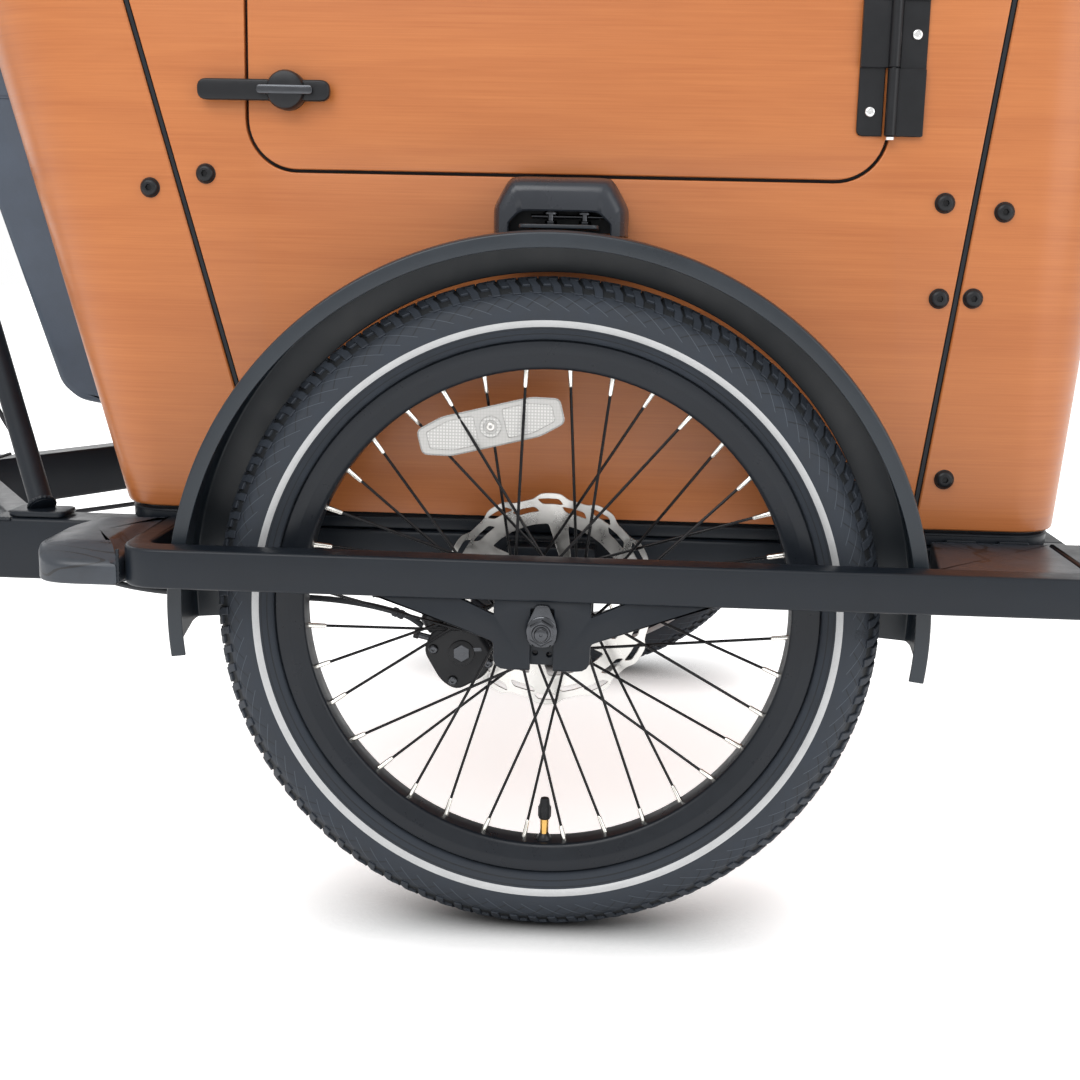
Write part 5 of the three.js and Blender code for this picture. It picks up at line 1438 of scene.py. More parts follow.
@dataclass
class GuardBar:
    """Flat bar round the wheel with its fork plate, the step pads and the axle's outer hardware."""

    side: Side
    finishes: Finishes
    rear_x: float = -318.0
    front_x: float = 425.0
    outer_o: float = 65.0
    inner_o: float = 40.0
    low_z: float = 278.0
    high_z: float = 308.0
    rail_y: float = 303.3
    plate_low: float = 225.0

    def band(self) -> Shell:
        """The bar: a U-shaped outline with round corners, open towards the frame."""
        out, inn = -WHEEL_Y - self.outer_o, -WHEEL_Y - self.inner_o
        rx, fx, ry = self.rear_x, self.front_x, -self.rail_y
        outer = [(rx, ry), (rx, out), (fx, out), (fx, ry)]
        inner = [(fx - 25, ry), (fx - 25, inn), (rx + 18, inn), (rx + 18, ry)]
        loop = filleted(outer + inner, [0.6, 33, 33, 0.6, 0.6, 13, 13, 0.6], 12)
        return slab([loop], self.low_z, self.high_z, 2.6, Plane.XY, steps=4)

    def fork(self) -> list:
        """Plate under the bar: slotted block, two arms and the little windows between them."""
        y, low, top = -WHEEL_Y, self.plate_low, self.low_z + 1.0
        corners = [(-8.5, low), (-8.5, top - 7), (8.5, top - 7), (8.5, low), (36, low), (36, low + 21),
                   (127, top), (63, top), (36, top - 12.5), (36, top), (-36, top), (-36, top - 12.5),
                   (-63, top), (-127, top), (-36, low + 21), (-36, low)]
        cuts = [0.5, 1.0, 1.0, 0.5, 10, 3, 1.0, 1.0, 1.0, 0.5, 0.5, 1.0, 1.0, 1.0, 3, 10]
        plate = slab([filleted(corners, cuts, 5)], y - 61.3, y - 55.3, 1.0, steps=2)
        insert = filleted([(-12, low + 3), (12, low + 3), (12, self.low_z + 3), (-12, self.low_z + 3)],
                2.5, 4)
        holes = [circle(1.9, 14, (-5.2, low + 12)), circle(1.9, 14, (5.4, low + 11)),
                 circle(5.6, 24, (0, AXLE_Z))]
        back = slab([insert] + holes, y - 55.2, y - 49.4, 0.5)
        return [plate, back]

    def seams(self) -> list:
        """Weld beads where plate meets bar and bar meets rail."""
        y = -WHEEL_Y - 58.5
        runs = [[(-126, y, 277.6), (-64, y, 277.6)], [(-36, y, 277.6), (36, y, 277.6)],
                [(64, y, 277.6), (126, y, 277.6)]]
        beads = []
        for start, end in runs:
            count = max(6, int(abs(end[0] - start[0]) / 1.6))
            beads.append(weld(np.linspace(start, end, count), 1.7))
        for x0, x1 in ((self.rear_x + 1, self.rear_x + 17), (self.front_x - 24, self.front_x - 1)):
            for z in (self.high_z - 6.2, self.low_z + 1):
                beads.append(weld(np.linspace((x0, -self.rail_y - 0.6, z), (x1, -self.rail_y - 0.6, z), 12),
                                  1.6))
        joint = [(self.rear_x + 0.3, -WHEEL_Y - 58, z) for z in np.linspace(self.low_z + 3, 306, 18)]
        beads.append(weld(np.asarray(joint), 1.3))
        return beads

    def pads(self) -> list:
        """Rear pad, falling away at its outer edge, and the pad inside the front corner."""
        rail = -self.rail_y
        rear = filleted([(self.rear_x - 0.3, rail), (-370, rail), (-387, rail - 38),
                         (-386, -435), (self.rear_x - 0.3, -435)], [0.6, 14, 18, 34, 0.6], 9)
        front = filleted([(290, -414.7), (399.7, -414.7), (399.7, rail), (306, rail)],
                         [1.0, 16, 1.0, 1.0], 9)

        def rear_top(x: np.ndarray, y: np.ndarray) -> np.ndarray:
            """Flat, then falling along a smooth step to the outer edge."""
            return 307.2 - 11.5 * smooth(-409.0, -437.0, y) - 2.0 * smooth(-360.0, -390.0, x)

        def front_top(x: np.ndarray, y: np.ndarray) -> np.ndarray:
            """Nearly flat."""
            return 307.0 + 0.0 * x
        rear_pad = cushion(rear, 278.5, rear_top, 5.0)
        return [rear_pad, cushion(front, 286.5, front_top, 2.2)]

    def axle(self) -> list:
        """Axle with locknuts, teardrop washer, flanged nut with a thread end and centre hole."""
        y, z = -WHEEL_Y, AXLE_Z

        def at(o: float) -> tuple:
            """A point on the axle's line."""
            return (0.0, y - o, z)
        washer = filleted([(-11, z - 8), (-5, z - 12.5), (5, z - 12.5), (11, z - 8), (11, z + 5),
                           (4.6, z + 19.5), (-4.6, z + 19.5), (-11, z + 5)],
                          [4, 4, 4, 4, 4, 2, 2, 4], 4)
        parts = [pin(at(-67), at(73.2), 5.0, 28, slot=0),
                 slab([washer], y - 64.4, y - 61.7, 0.9, steps=2, slot=1),
                 rod(at(64.2), at(90), [(0, 11.2), (1.6, 11.2), (2.2, 10.2)], 36, slot=1),
                 nut(at(66.0), (0, -1, 0), 17.0, 6.2, 0.0, slot=1),
                 rod(at(71.4), at(90), [(0, 7.4), (1.6, 6.9), (2.2, 6.2)], 32, slot=1)]
        thread = [(0.0, 5.2)] + [(0.5 + 0.45 * i, 5.35 if i % 2 else 4.95) for i in range(7)]
        end = [(3.8, 4.6), (4.1, 4.0), (4.1, 1.2), (3.2, 0.9), (3.2, 0.05)]
        parts.append(rod(at(72.4), at(90), thread + end, 32, slot=0))
        parts += [nut(at(43.3), (0, -1, 0), 16.0, 5.4, slot=0), nut(at(-49.7), (0, -1, 0), 16.0, 6.2,
                slot=0),
                  nut(at(-56.3), (0, 1, 0), 16.0, 8.5, slot=0)]
        return parts

    def build(self) -> None:
        """Makes bar, pads and axle."""
        f, side, word = self.finishes, self.side, self.side.word
        make_piece("guard_bar_flat", [self.band()] + self.fork() + self.seams(), [f.frame], "carrier",
                   [f"guard_bar_{word}"], side)
        rear, front = self.pads()
        make_piece("rear_pad", [rear], [f.tread_pad], "carrier", [f"rear_step_pad_{word}"],
                   side)
        make_piece("front_pad", [front], [f.tread_pad], "carrier", [f"front_step_pad_{word}"],
                   side)
        make_piece("axle", self.axle(), [f.dark_chrome, f.dark_chrome], "carrier", [f"front_axle_{word}"],
                   side)


@dataclass
class Mudguard:
    """Channel-shaped mudguard and the hood over its bracket."""

    side: Side
    finishes: Finishes
    radius: float = 289.5
    half: float = 36.0
    flange: float = 12.5
    inner_flange: float = 31.0
    lift: float = 3.0
    dip: float = 7.5
    wall_y: float = 303.3

    def channel(self, centre: Sequence[float], radius: float, half: float, flange: float, inner: float,
                start: float, end: float, lift: float = 0.0, count: int = 150) -> Shell:
        """A channel bent round a centre: its section of (radius, across) at each angle.

        Args:
            centre: middle of the arc.
            radius: radius of the crown.
            half: half its width.
            flange: depth of its outer flange.
            inner: depth of its inner flange.
            start: first angle in degrees.
            end: last angle in degrees.
            lift: how much sooner the inner edge ends, in degrees.
            count: steps round.

        Returns:
            The surface.
        """
        r, h, t = radius, half, 2.4
        section = filleted([(r - flange, -h), (r - 1.5, -h), (r, -h + 6), (r, h - 6), (r - 1.5, h),
                (r - inner, h),
                            (r - inner, h - t), (r - t - 2.5, h - t), (r - t, h - 9), (r - t, -h + 9),
                            (r - t - 2.5, -h + t), (r - flange, -h + t)],
                           [0.9, 1.4, 3.5, 3.5, 1.4, 0.9, 0.9, 1.4, 3, 3, 1.4, 0.9], 4)
        rise = lift * (section[:, 1] + h) / (2 * h)
        a = np.radians(start + rise + (end - start - 2 * rise) * np.linspace(0, 1, count)[:, None])
        x = np.cos(a) * section[None, :, 0] + centre[0]
        z = np.sin(a) * section[None, :, 0] + centre[2]
        y = np.broadcast_to(section[None, :, 1] + centre[1], x.shape)
        return grid_shell(np.stack([x, y, z], -1))

    def bracket(self) -> list:
        """Strap from the crown to the box wall with its two bolts and washers."""
        crown, wall = AXLE_Z + self.radius, -self.wall_y
        strap = slab([filleted([(-26, -WHEEL_Y - 18), (32, -WHEEL_Y - 18), (32, wall), (-26, wall)],
                               [6, 6, 0.5, 0.5], 4)], crown + 1.2, crown + 4.0, 0.5, Plane.XY, steps=2)
        upright = slab([filleted([(-43, crown - 1), (47, crown - 1), (37, crown + 34), (-33, crown + 34)],
                                 [0.5, 0.5, 4, 4], 4)], wall - 3.0, wall, 0.5)
        rail = pin((-20, wall - 38, crown + 10.5), (35, wall - 38, crown + 10.5), 1.6, 12, slot=1)
        bolts = []
        for x in (-5.0, 21.0):
            bolts += [nut((x, wall - 38, crown + 4.0), (0, 0, 1), 8.0, 3.4, slot=1),
                      rod((x, wall - 38, crown + 12.2), (x, wall - 38, crown + 20), [(0, 6.0), (1.2,
                      6.0)], 20,
                          slot=1),
                      nut((x, wall - 38, crown + 13.4), (0, 0, 1), 8.0, 3.4, slot=1),
                      rod((x, wall - 38, crown + 2), (x, wall - 38, crown + 30), [(0, 2.6), (17.5, 2.6)],
                      12, slot=1)]
        return [strap, upright, rail] + bolts

    def hood(self) -> Shell:
        """A bent sheet from foot over the top to foot, closed in front but for an arched mouth.

        Rows run from the wall outwards: outer skin, the front face drawn in to the mouth's edge, then
        back along the inner skin. Each row is the same outline of points scaled about its foot line.
        """
        low = AXLE_Z + self.radius - 3.2
        outer = curve_through([(-50, low), (-50, low + 17), (-48.5, low + 23), (-43, low + 34), (-38.5,
                low + 40.5),
                               (-31, low + 43.5), (2, low + 43.7), (35, low + 43.5), (42, low + 40.5),
                               (46.5, low + 34), (52.5, low + 23), (54, low + 17), (54, low)], 61)
        middle = np.array([2.0, low])

        def drawn(amount: float, squash: float) -> np.ndarray:
            """The outline drawn in by an amount, with its top lowered by a share."""
            scale = np.array([(52.0 - amount) / 52.0, (43.7 - amount) / 43.7 * squash])
            ring = middle + (outer - middle) * scale
            ring[:, 1] = np.where(outer[:, 1] <= low + 0.01, low, ring[:, 1])
            return ring
        wall = -self.wall_y
        rows = [(outer, wall), (outer, wall - 20), (drawn(2.0, 1.0), wall - 38), (drawn(4.0, 0.99),
                wall - 46),
                (drawn(6.5, 0.97), wall - 49), (drawn(10.0, 0.94), wall - 50), (drawn(12.5, 0.6),
                wall - 50.2),
                (drawn(13.5, 0.58), wall - 49.4), (drawn(13.5, 0.58), wall - 47.2),
                (drawn(7.5, 0.95), wall - 45), (drawn(5.0, 0.98), wall - 30), (drawn(4.0, 1.0), wall)]
        points = np.stack([np.column_stack([ring[:, 0], np.full(len(ring), y), ring[:, 1]])
                           for ring, y in rows])
        return self.closed_sheet(points)

    def closed_sheet(self, points: np.ndarray) -> Shell:
        """Joins rows in a ring and closes both long edges with strips of quads."""
        rows, cols = points.shape[:2]
        shell = grid_shell(points, wrap_rows=True, wrap_cols=False, caps=False)
        half = rows // 2
        i = np.arange(half - 1) if rows % 2 == 0 else np.arange(half)
        j = rows - 1 - i
        strips = []
        for column, flip in ((0, False), (cols - 1, True)):
            quads = np.stack([i * cols + column, (i + 1) * cols + column, (j - 1) * cols + column,
                              j * cols + column], 1)
            strips.append(quads[:, ::-1] if flip else quads)
        return Shell(shell.points, shell.faces + strips, None, shell.slots + [0, 0])

    def build(self) -> None:
        """Makes mudguard and hood."""
        f, side, word = self.finishes, self.side, self.side.word
        centre = (0.0, -WHEEL_Y, AXLE_Z)
        arch = self.channel(centre, self.radius, self.half, self.flange, self.inner_flange, -self.dip,
                            180 + self.dip, self.lift)
        make_piece("mudguard", [arch] + self.bracket(), [f.guard, f.dark_chrome], "carrier",
                   [f"front_mudguard_{word}"], side)
        make_piece("hood", [self.hood()], [f.hood], "carrier", [f"mudguard_hood_{word}"],
                   side)


@dataclass
class Brake:
    """Disc brake caliper on its bracket inside the wheel."""

    side: Side
    finishes: Finishes
    turn: float = 212.0

    def place(self, points: np.ndarray) -> np.ndarray:
        """From the caliper's own drawing (outwards from the axle, round, sideways) to its place."""
        a = math.radians(self.turn)
        x = points[:, 0] * math.cos(a) - points[:, 2] * math.sin(a)
        z = points[:, 0] * math.sin(a) + points[:, 2] * math.cos(a) + AXLE_Z
        return np.stack([x, points[:, 1] - WHEEL_Y, z], 1)

    def build(self) -> None:
        """Makes two halves, bridge, pads, bracket, bolts and the hose's fitting."""
        f, word = self.finishes, self.side.word
        half = filleted([(60, -20), (70, -27), (92, -27), (106, -17), (107, 12), (100, 25), (74, 26), (60,
                18)],
                        [4, 5, 6, 7, 7, 7, 6, 4], 5)
        shells = [slab([half], 21.6, 33.6, 2.2, steps=3), slab([half], 40.4, 49.4, 2.2, steps=3)]
        bridge = filleted([(88, -22), (104, -14), (105, 12), (98, 22), (88, 22)], 3, 4)
        shells.append(slab([bridge], 32, 42, 0.6))
        shells.append(slab([filleted([(34, -8), (72, -12), (72, 22), (34, 16)], 4, 4)], 44, 49.3, 0.8))
        shells.append(slab([filleted([(62, -16), (84, -16), (84, 16), (62, 16)], 3, 3)], 34.0, 34.9, 0.2,
                slot=1))
        shells.append(slab([filleted([(62, -16), (84, -16), (84, 16), (62, 16)], 3, 3)], 39.1, 40.2, 0.2,
                slot=1))
        shells.append(slab([circle(10.5, 36, (80, 0))], 20.4, 22.4, 0.8, steps=2))
        shells.append(slab([circle(7.4, 6, (80, 0))], 19.4, 20.8, 0.5, slot=1))
        for u, w in ((98, -14), (98, 16), (66, 18)):
            shells.append(button_bolt((u, 21.8, w), (0, -1, 0), 4.0, 2.6, slot=1))
        shells.append(rod((88, 29, -26), (88, 29, -60), [(0, 7.2), (2, 7.6), (13, 7.6), (14, 6.6), (15.5,
                4.6),
                                                         (22, 4.2), (23, 3.4), (30, 3.2), (31, 2.6)], 24))
        shells.append(pin((96, 26, -22), (104, 26, -30), 2.6, 16, slot=1))
        shells.append(pin((103, 26, -29), (106, 26, -32), 3.4, 16))
        shells.append(slab([filleted([(64, 4), (86, -8), (87, -5), (65, 7)], 0.6, 2)], 21.0, 21.8, 0.1,
                slot=1))

        make_piece("caliper", [s.moved(self.place) for s in shells], [f.black, f.dark_chrome], "carrier",
                   [f"brake_caliper_{word}"], self.side)


# ---- Load box -------------------------------------------------------------------------------------

@dataclass
class LoadBox:
    """Wooden load box: side and corner panels, doors with hinges and latches, tray, floor and case."""

    finishes: Finishes
    low_z: float = 316.3
    high_z: float = 806.0
    half_y: float = 303.0
    wall: float = 9.0
    rear_x: tuple = (-362.0, -523.0)
    front_x: tuple = (411.0, 465.0)
    rear_r: tuple = (42.0, 130.0)
    front_r: tuple = (42.0, 100.0)
    rear_seam: tuple = (-231.0, -367.0)
    front_seam: tuple = (289.7, 349.5)
    gap: float = 5.0
    back_y: float = 152.0
    door: tuple = (-246.0, 250.0, 589.0, 38.0)
    bolts: tuple = ((-325.9, 572.6), (-280.9, 584.2), (297.8, 573.1), (343.7, 567.3), (298.5, 500.2),
                    (324.6, 500.9), (312.8, 357.6))

    def at(self, pair: tuple, t: np.ndarray) -> np.ndarray:
        """A size at height share t, on the straight line between its low and high value."""
        return pair[0] + (pair[1] - pair[0]) * t

    def wall_rows(self, line: Callable[[float, float], np.ndarray], rows: int = 26) -> Shell:
        """A curved wall: each row is its outer line and its inner line at one height, edges eased.

        Args:
            line: gives (x, y) points at a height share and an inset.
            rows: how many heights.

        Returns:
            The surface, marked with distance along the outer line and height.
        """
        span = self.high_z - self.low_z
        t = np.concatenate([[0.0], [1.0 / span], np.linspace(3.0 / span, 1 - 3.0 / span, rows),
                            [1 - 1.0 / span], [1.0]])
        ease = np.concatenate([[1.2], [0.3], np.zeros(rows), [0.3], [1.2]])
        grid, marks = [], []
        for share, inset in zip(t, ease):
            outer, inner = line(share, inset), line(share, self.wall - inset)[::-1]
            loop = self.eased(outer, inner)
            run = np.concatenate([[0.0], np.cumsum(np.linalg.norm(np.diff(outer, axis=0), axis=1))])
            height = self.low_z + span * share
            along = np.interp(np.arange(len(loop)), [0, 2, len(outer) + 1, len(outer) + 5, len(loop)],
                              [run[0], run[0], run[-1], run[-1], run[0]])
            along[2:2 + len(outer) - 2] = run[1:-1]
            half = len(loop) // 2
            along[half:] = along[:half][::-1][:len(loop) - half]
            grid.append(np.column_stack([loop, np.full(len(loop), height)]))
            marks.append(np.column_stack([along + 137.0, np.full(len(loop), height), 0 * along]))
        return grid_shell(np.stack(grid), marks=np.stack(marks))

    def eased(self, outer: np.ndarray, inner: np.ndarray) -> np.ndarray:
        """A loop of an outer and a returning inner line, with its four corners cut back a little."""
        loop = np.concatenate([outer, inner])
        corners = [0, len(outer) - 1, len(outer), len(loop) - 1]
        parts = []
        for i, point in enumerate(loop):
            if i in corners:
                before, after = loop[i - 1], loop[(i + 1) % len(loop)]
                parts += [point + unit(before - point) * 1.0, point + unit(after - point) * 1.0]
            else:
                parts.append(point)
        return np.stack(parts)

    def rear_corner(self, t: float, inset: float) -> np.ndarray:
        """Outline of a rear corner panel from its seam round to the back, on the right."""
        radius, rear = self.at(self.rear_r, t), self.at(self.rear_x, t)
        bend = arc((rear + radius, radius - self.half_y), radius - inset, 270, 180, 26)
        seam = self.at(self.rear_seam, t) - self.gap / 2
        side = np.linspace((seam, inset - self.half_y), bend[0], 8)[:-1]
        back = np.linspace(bend[-1], (rear + inset, -self.back_y - self.gap / 2), 5)[1:]
        return np.concatenate([side, bend, back])

    def front_line(self, t: float, inset: float) -> np.ndarray:
        """Outline of the front panel from the right seam across to the left one."""
        radius, front = self.at(self.front_r, t), self.at(self.front_x, t)
        seam, side = self.at(self.front_seam, t) + self.gap / 2, self.half_y - inset
        first = arc((front - radius, radius - self.half_y), radius - inset, 270, 360, 22)
        second = first[::-1] * np.array([1.0, -1.0])
        lead = np.linspace((seam, -side), first[0], 5)[:-1]
        across = np.linspace(first[-1], second[0], 14)[1:-1]
        return np.concatenate([lead, first, across, second, lead[::-1] * np.array([1.0, -1.0])])

    def back_line(self, t: float, inset: float) -> np.ndarray:
        """Outline of the flat rear wall."""
        x, y = self.at(self.rear_x, t) + inset, self.back_y - self.gap / 2
        return np.linspace((x, y), (x, -y), 12)

    def side_loop(self) -> np.ndarray:
        """Side panel: slanted seams, and the doorway cut out of its top with round lower corners."""
        rear, front, low, radius = self.door
        g, half = 2.6, self.gap / 2
        x0, x1, sill, r = rear - g, front + g, low - g, radius + g
        corners = [(self.rear_seam[0] + half, self.low_z), (self.front_seam[0] - half, self.low_z),
                   (self.front_seam[1] - half, self.high_z), (x1, self.high_z)]
        loop = corners + arc((x1 - r, sill + r), r, 0, -90, 14).tolist()
        loop += arc((x0 + r, sill + r), r, -90, -180, 14).tolist()
        return np.array(loop + [(x0, self.high_z), (self.rear_seam[1] + half, self.high_z)])

    def door_loop(self) -> np.ndarray:
        """Door: straight top, round lower corners."""
        rear, front, low, radius = self.door
        loop = [(front, self.high_z), (rear, self.high_z)]
        loop += arc((rear + radius, low + radius), radius, 180, 270, 14).tolist()
        return np.array(loop + arc((front - radius, low + radius), radius, 270, 360, 14).tolist())

    def panels(self) -> None:
        """Makes every wooden panel."""
        f, out = self.finishes, -self.half_y
        for side in Side:
            word = side.word
            plate = slab([self.side_loop()], out, out + self.wall, 1.1, steps=3)
            make_piece("panel", [plate], [f.wood], "carrier", [f"side_panel_{word}"],
                    side)
            leaf = slab([self.door_loop()], out, out + self.wall, 1.1, steps=3)
            leaf.marks = leaf.marks + np.array([0.0, 31.0, 0.0])
            make_piece("door", [leaf] + self.door_hardware(), [f.wood, f.black, f.chrome], f"door_{word}",
                       [f"side_door_{word}"], side)
            # A dark strip behind the door gap, put there as the shade seen through the gap.
            strip = self.gap_strip()
            make_piece("door_gap_shade_strip", [strip], [f.rubber], "carrier", (), side)
            make_piece("corner_panel", [self.wall_rows(self.rear_corner)], [f.wood], "carrier",
                       [f"rear_corner_panel_{word}"], side)
        make_piece("nose_panel", [self.wall_rows(self.front_line)], [f.wood], "carrier", ["front_panel"])
        make_piece("back_panel", [self.wall_rows(self.back_line)], [f.wood], "carrier", ["rear_wall"])

    def gap_strip(self) -> Shell:
        """Dark strip in the rubber finish behind the gap round the door, put there as the shade in the gap:
        a band that follows its sides and sill.
        """
        rear, front, low, radius = self.door
        loops = []
        for d in (7.0, -7.0):
            x0, x1, sill, r = rear - d, front + d, low - d, radius + d
            half = arc((x0 + r, sill + r), r, 180, 270, 14).tolist() + arc((x1 - r, sill + r), r, 270,
                    360, 14).tolist()
            loops.append([(x0, self.high_z - 2)] + half + [(x1, self.high_z - 2)])
        outline = np.array(loops[0] + loops[1][::-1])
        inner = -self.half_y + self.wall + 0.4
        return slab([outline], inner, inner + 3.0, 0.5)

    def door_hardware(self) -> list:
        """The door's own hinge leaf and middle barrel."""
        x, y, z0, z1 = 251.3, -self.half_y - 6.0, 622.0, 772.0
        leaf = filleted([(x - 25, z0), (x - 5.6, z0), (x - 5.6, z1), (x - 25, z1)], [5, 0.5, 0.5, 5], 4)
        parts = [slab([leaf], -self.half_y - 2.4, -self.half_y + 0.4, 0.6, slot=1),
                 pin((x, y, z0 + 50.4), (x, y, z1 - 50.4), 4.5, 24, 0.5, slot=1)]
        arm = filleted([(x - 25, z0 + 50.4), (x - 1.4, z0 + 50.4), (x - 1.4, z1 - 50.4), (x - 25,
                z1 - 50.4)],
                       0.8, 2)
        parts.append(slab([arm], -self.half_y - 5.0, -self.half_y - 1.0, 0.5, slot=1))
        for z in (z0 + 18, z0 + 75, z1 - 18):
            parts.append(button_bolt((x - 15.5, -self.half_y - 2.4, z), (0, -1, 0), 4.2, 2.0, slot=2))
        return parts

    def hinges(self, side: Side) -> None:
        """The fixed leaf with its two barrels and the pin."""
        f, x, y, z0, z1 = self.finishes, 251.3, -self.half_y - 6.0, 622.0, 772.0
        out = -self.half_y
        leaf = filleted([(x + 4.9, z0), (x + 25, z0), (x + 25, z1), (x + 4.9, z1)], [0.5, 5, 5, 0.5], 4)
        parts = [slab([leaf], out - 2.4, out - 0.2, 0.6)]
        for low, high in ((z0, z0 + 50), (z1 - 50, z1)):
            parts.append(pin((x, y, low), (x, y, high), 4.5, 24, 0.5))
            arm = filleted([(x + 1.4, low), (x + 25, low), (x + 25, high), (x + 1.4, high)], 0.8, 2)
            parts.append(slab([arm], out - 5.0, out - 1.0, 0.5))
        parts.append(rod((x, y, z0 - 3.4), (x, y, z1), [(0, 1.5), (0.5, 3.6), (2.6, 3.8), (3.2, 3.0),
                (3.4, 1.6),
                                                       (z1 - z0 + 4.0, 1.6), (z1 - z0 + 4.2, 3.8),
                                                       (z1 - z0 + 6.4, 3.4), (z1 - z0 + 6.8, 1.5)], 20,
                                                       slot=1))
        for z in (z0 + 18, z0 + 75, z1 - 18):
            parts.append(button_bolt((x + 16.5, out - 2.4, z), (0, -1, 0), 4.2, 2.0, slot=1))
        make_piece("hinge", parts, [f.black, f.chrome], "carrier", [f"door_hinge_{side.word}"],
                   side)

    def latch(self, side: Side) -> None:
        """Turn latch: a boss, a rounded tongue over the frame edge and a finger grip."""
        f, out, x, z = self.finishes, -self.half_y, -214.0, 648.0
        tongue = filleted([(x - 70, z - 8), (x + 34, z - 8), (x + 34, z + 8), (x - 70, z + 8)], 7.4, 6)
        grip = filleted([(x - 22, z - 3.4), (x + 22, z - 3.4), (x + 22, z + 3.4), (x - 22, z + 3.4)], 3.2,
                5)
        parts = [slab([tongue], out - 11, out - 4.2, 1.6, steps=3),
                 rod((x, out - 0.4, z), (x, out - 40, z), [(0, 14.4), (1, 15), (12.4, 15), (14.6, 13.8),
                 (15.6, 11),
                                                           (15.9, 4)], 40),
                 slab([grip], out - 16.6, out - 14.5, 0.8, steps=2, slot=1)]
        make_piece("latch", parts, [f.black, f.dark_chrome], f"latch_{side.word}",
                [f"door_latch_{side.word}"],
                   side)

    def side_screws(self, side: Side) -> None:
        """Button screws with washers along the seams."""
        f, parts = self.finishes, []
        for x, z in self.bolts:
            parts.append(rod((x, -self.half_y + 0.3, z), (x, -self.half_y - 9, z), [(0, 7.9), (0.9, 7.9),
                    (1.2, 7.5)], 28))
            parts.append(button_bolt((x, -self.half_y - 0.8, z), (0, -1, 0), 7.2, 3.9, 0.36))
        make_piece("panel_screws", parts, [f.black], "carrier", (), side)

    def tray(self) -> None:
        """The steel tray that follows the box's foot, and the strips behind the seams."""
        f = self.finishes

        def ring(inset: float) -> np.ndarray:
            """The tray's outline drawn in by an inset."""
            r, y = self.rear_r[0] - inset, self.half_y - inset
            rear, front = self.rear_x[0] + inset, self.front_x[0] - inset
            return np.concatenate([arc((rear + r, r - y), r, 180, 270, 12), arc((front - r, r - y), r,
                    270, 360, 12),
                                   arc((front - r, y - r), r, 0, 90, 12), arc((rear + r, y - r), r, 90,
                                   180, 12)])
        parts = [slab([ring(4.0), ring(28.0)], 302.2, 313.2, 1.6, Plane.XY, steps=3),
                 slab([ring(9.0), ring(27.0)], 312.6, 316.0, 0.5, Plane.XY)]
        lips = [slab([ring(3.4), ring(8.0)], 311.0, 312.2, 0.5, Plane.XY, steps=2)]
        for seam in (self.rear_seam, self.front_seam):
            for way in (-1.0, 1.0):
                for half, inset, depth in ((17.0, self.wall + 0.3, 6.0), (1.7, 1.6, 9.0), (2.4, 3.2, 7.0)):
                    corners = []
                    for t in (0.0, 0.985):
                        x, z = self.at(seam, t), self.low_z + (self.high_z - self.low_z) * t
                        corners.append([(x - half, z), (x + half, z)])
                    loop = np.array([corners[0][0], corners[0][1], corners[1][1], corners[1][0]])
                    y = way * (self.half_y - inset)
                    y0, y1 = sorted((y, y - way * depth))
                    parts.append(slab([loop], y0, y1, 0.3))
        for way in (-1.0, 1.0):
            for x in (-300.0, -262.0, 330.0, 372.0):
                y0, y1 = sorted((way * (self.half_y - 3.4), way * (self.half_y + 1.6)))
                tab = filleted([(x - 12, 303.0), (x + 12, 303.0), (x + 12, 308.4), (x - 12, 308.4)], 1.5, 3)
                parts.append(slab([tab], y0, y1, 0.6))
        make_piece("tray", parts + lips, [f.frame], "carrier", ["box_frame"])

    def floor(self) -> None:
        """Floor board with cut corners."""
        f, inset = self.finishes, self.wall + 8
        rear, front, y = self.rear_x[0] + inset, self.front_x[0] - inset, self.half_y - inset
        loop = filleted([(rear, -y), (front, -y), (front, y), (rear, y)], 20, 4)
        board = slab([loop], self.low_z, self.low_z + 8.7, 0.8, Plane.XY)
        make_piece("floor_board", [board], [f.wood], "carrier", ["box_floor"])

    def case(self) -> None:
        """Slim case on the rear wall: soft-edged shell, lid line and two catches."""
        f = self.finishes
        span = self.high_z - self.low_z

        def back(z: float, off: float) -> float:
            """Where the rear wall is at a height, less an offset."""
            return self.at(self.rear_x, (z - self.low_z) / span) - off
        profile = np.array([(back(372, 0.6), 372), (back(384, 66), 384), (back(398, 78), 398), (back(746,
                78), 746),
                            (back(760, 66), 760), (back(760, 0.6), 760)])
        loop = filleted(profile, [1, 8, 8, 10, 10, 1], 5)
        parts = [slab([loop], -140, 140, 7.0, steps=4)]
        lid = filleted(np.array([(back(652, 80), 652), (back(652, 20), 652), (back(655.5, 20), 655.5),
                                 (back(655.5, 80), 655.5)]), 0.6, 2)
        parts.append(slab([lid], -141, 141, 1.0))
        for y in (-80.0, 80.0):
            catch = filleted(np.array([(back(632, 83), 632), (back(632, 60), 632), (back(676, 60), 676),
                                       (back(676, 83), 676)]), 2.5, 4)
            parts.append(slab([catch], y - 12, y + 12, 2.0, slot=1, steps=2))
        make_piece("stowage_case", parts, [f.case, f.black], "carrier", ["rear_case"])

    def build(self) -> None:
        """Makes the whole box."""
        self.panels()
        for side in Side:
            self.hinges(side)
            self.latch(side)
            self.side_screws(side)
        self.tray()
        self.floor()
        self.case()


# ---- Carrier frame and steering -------------------------------------------------------------------

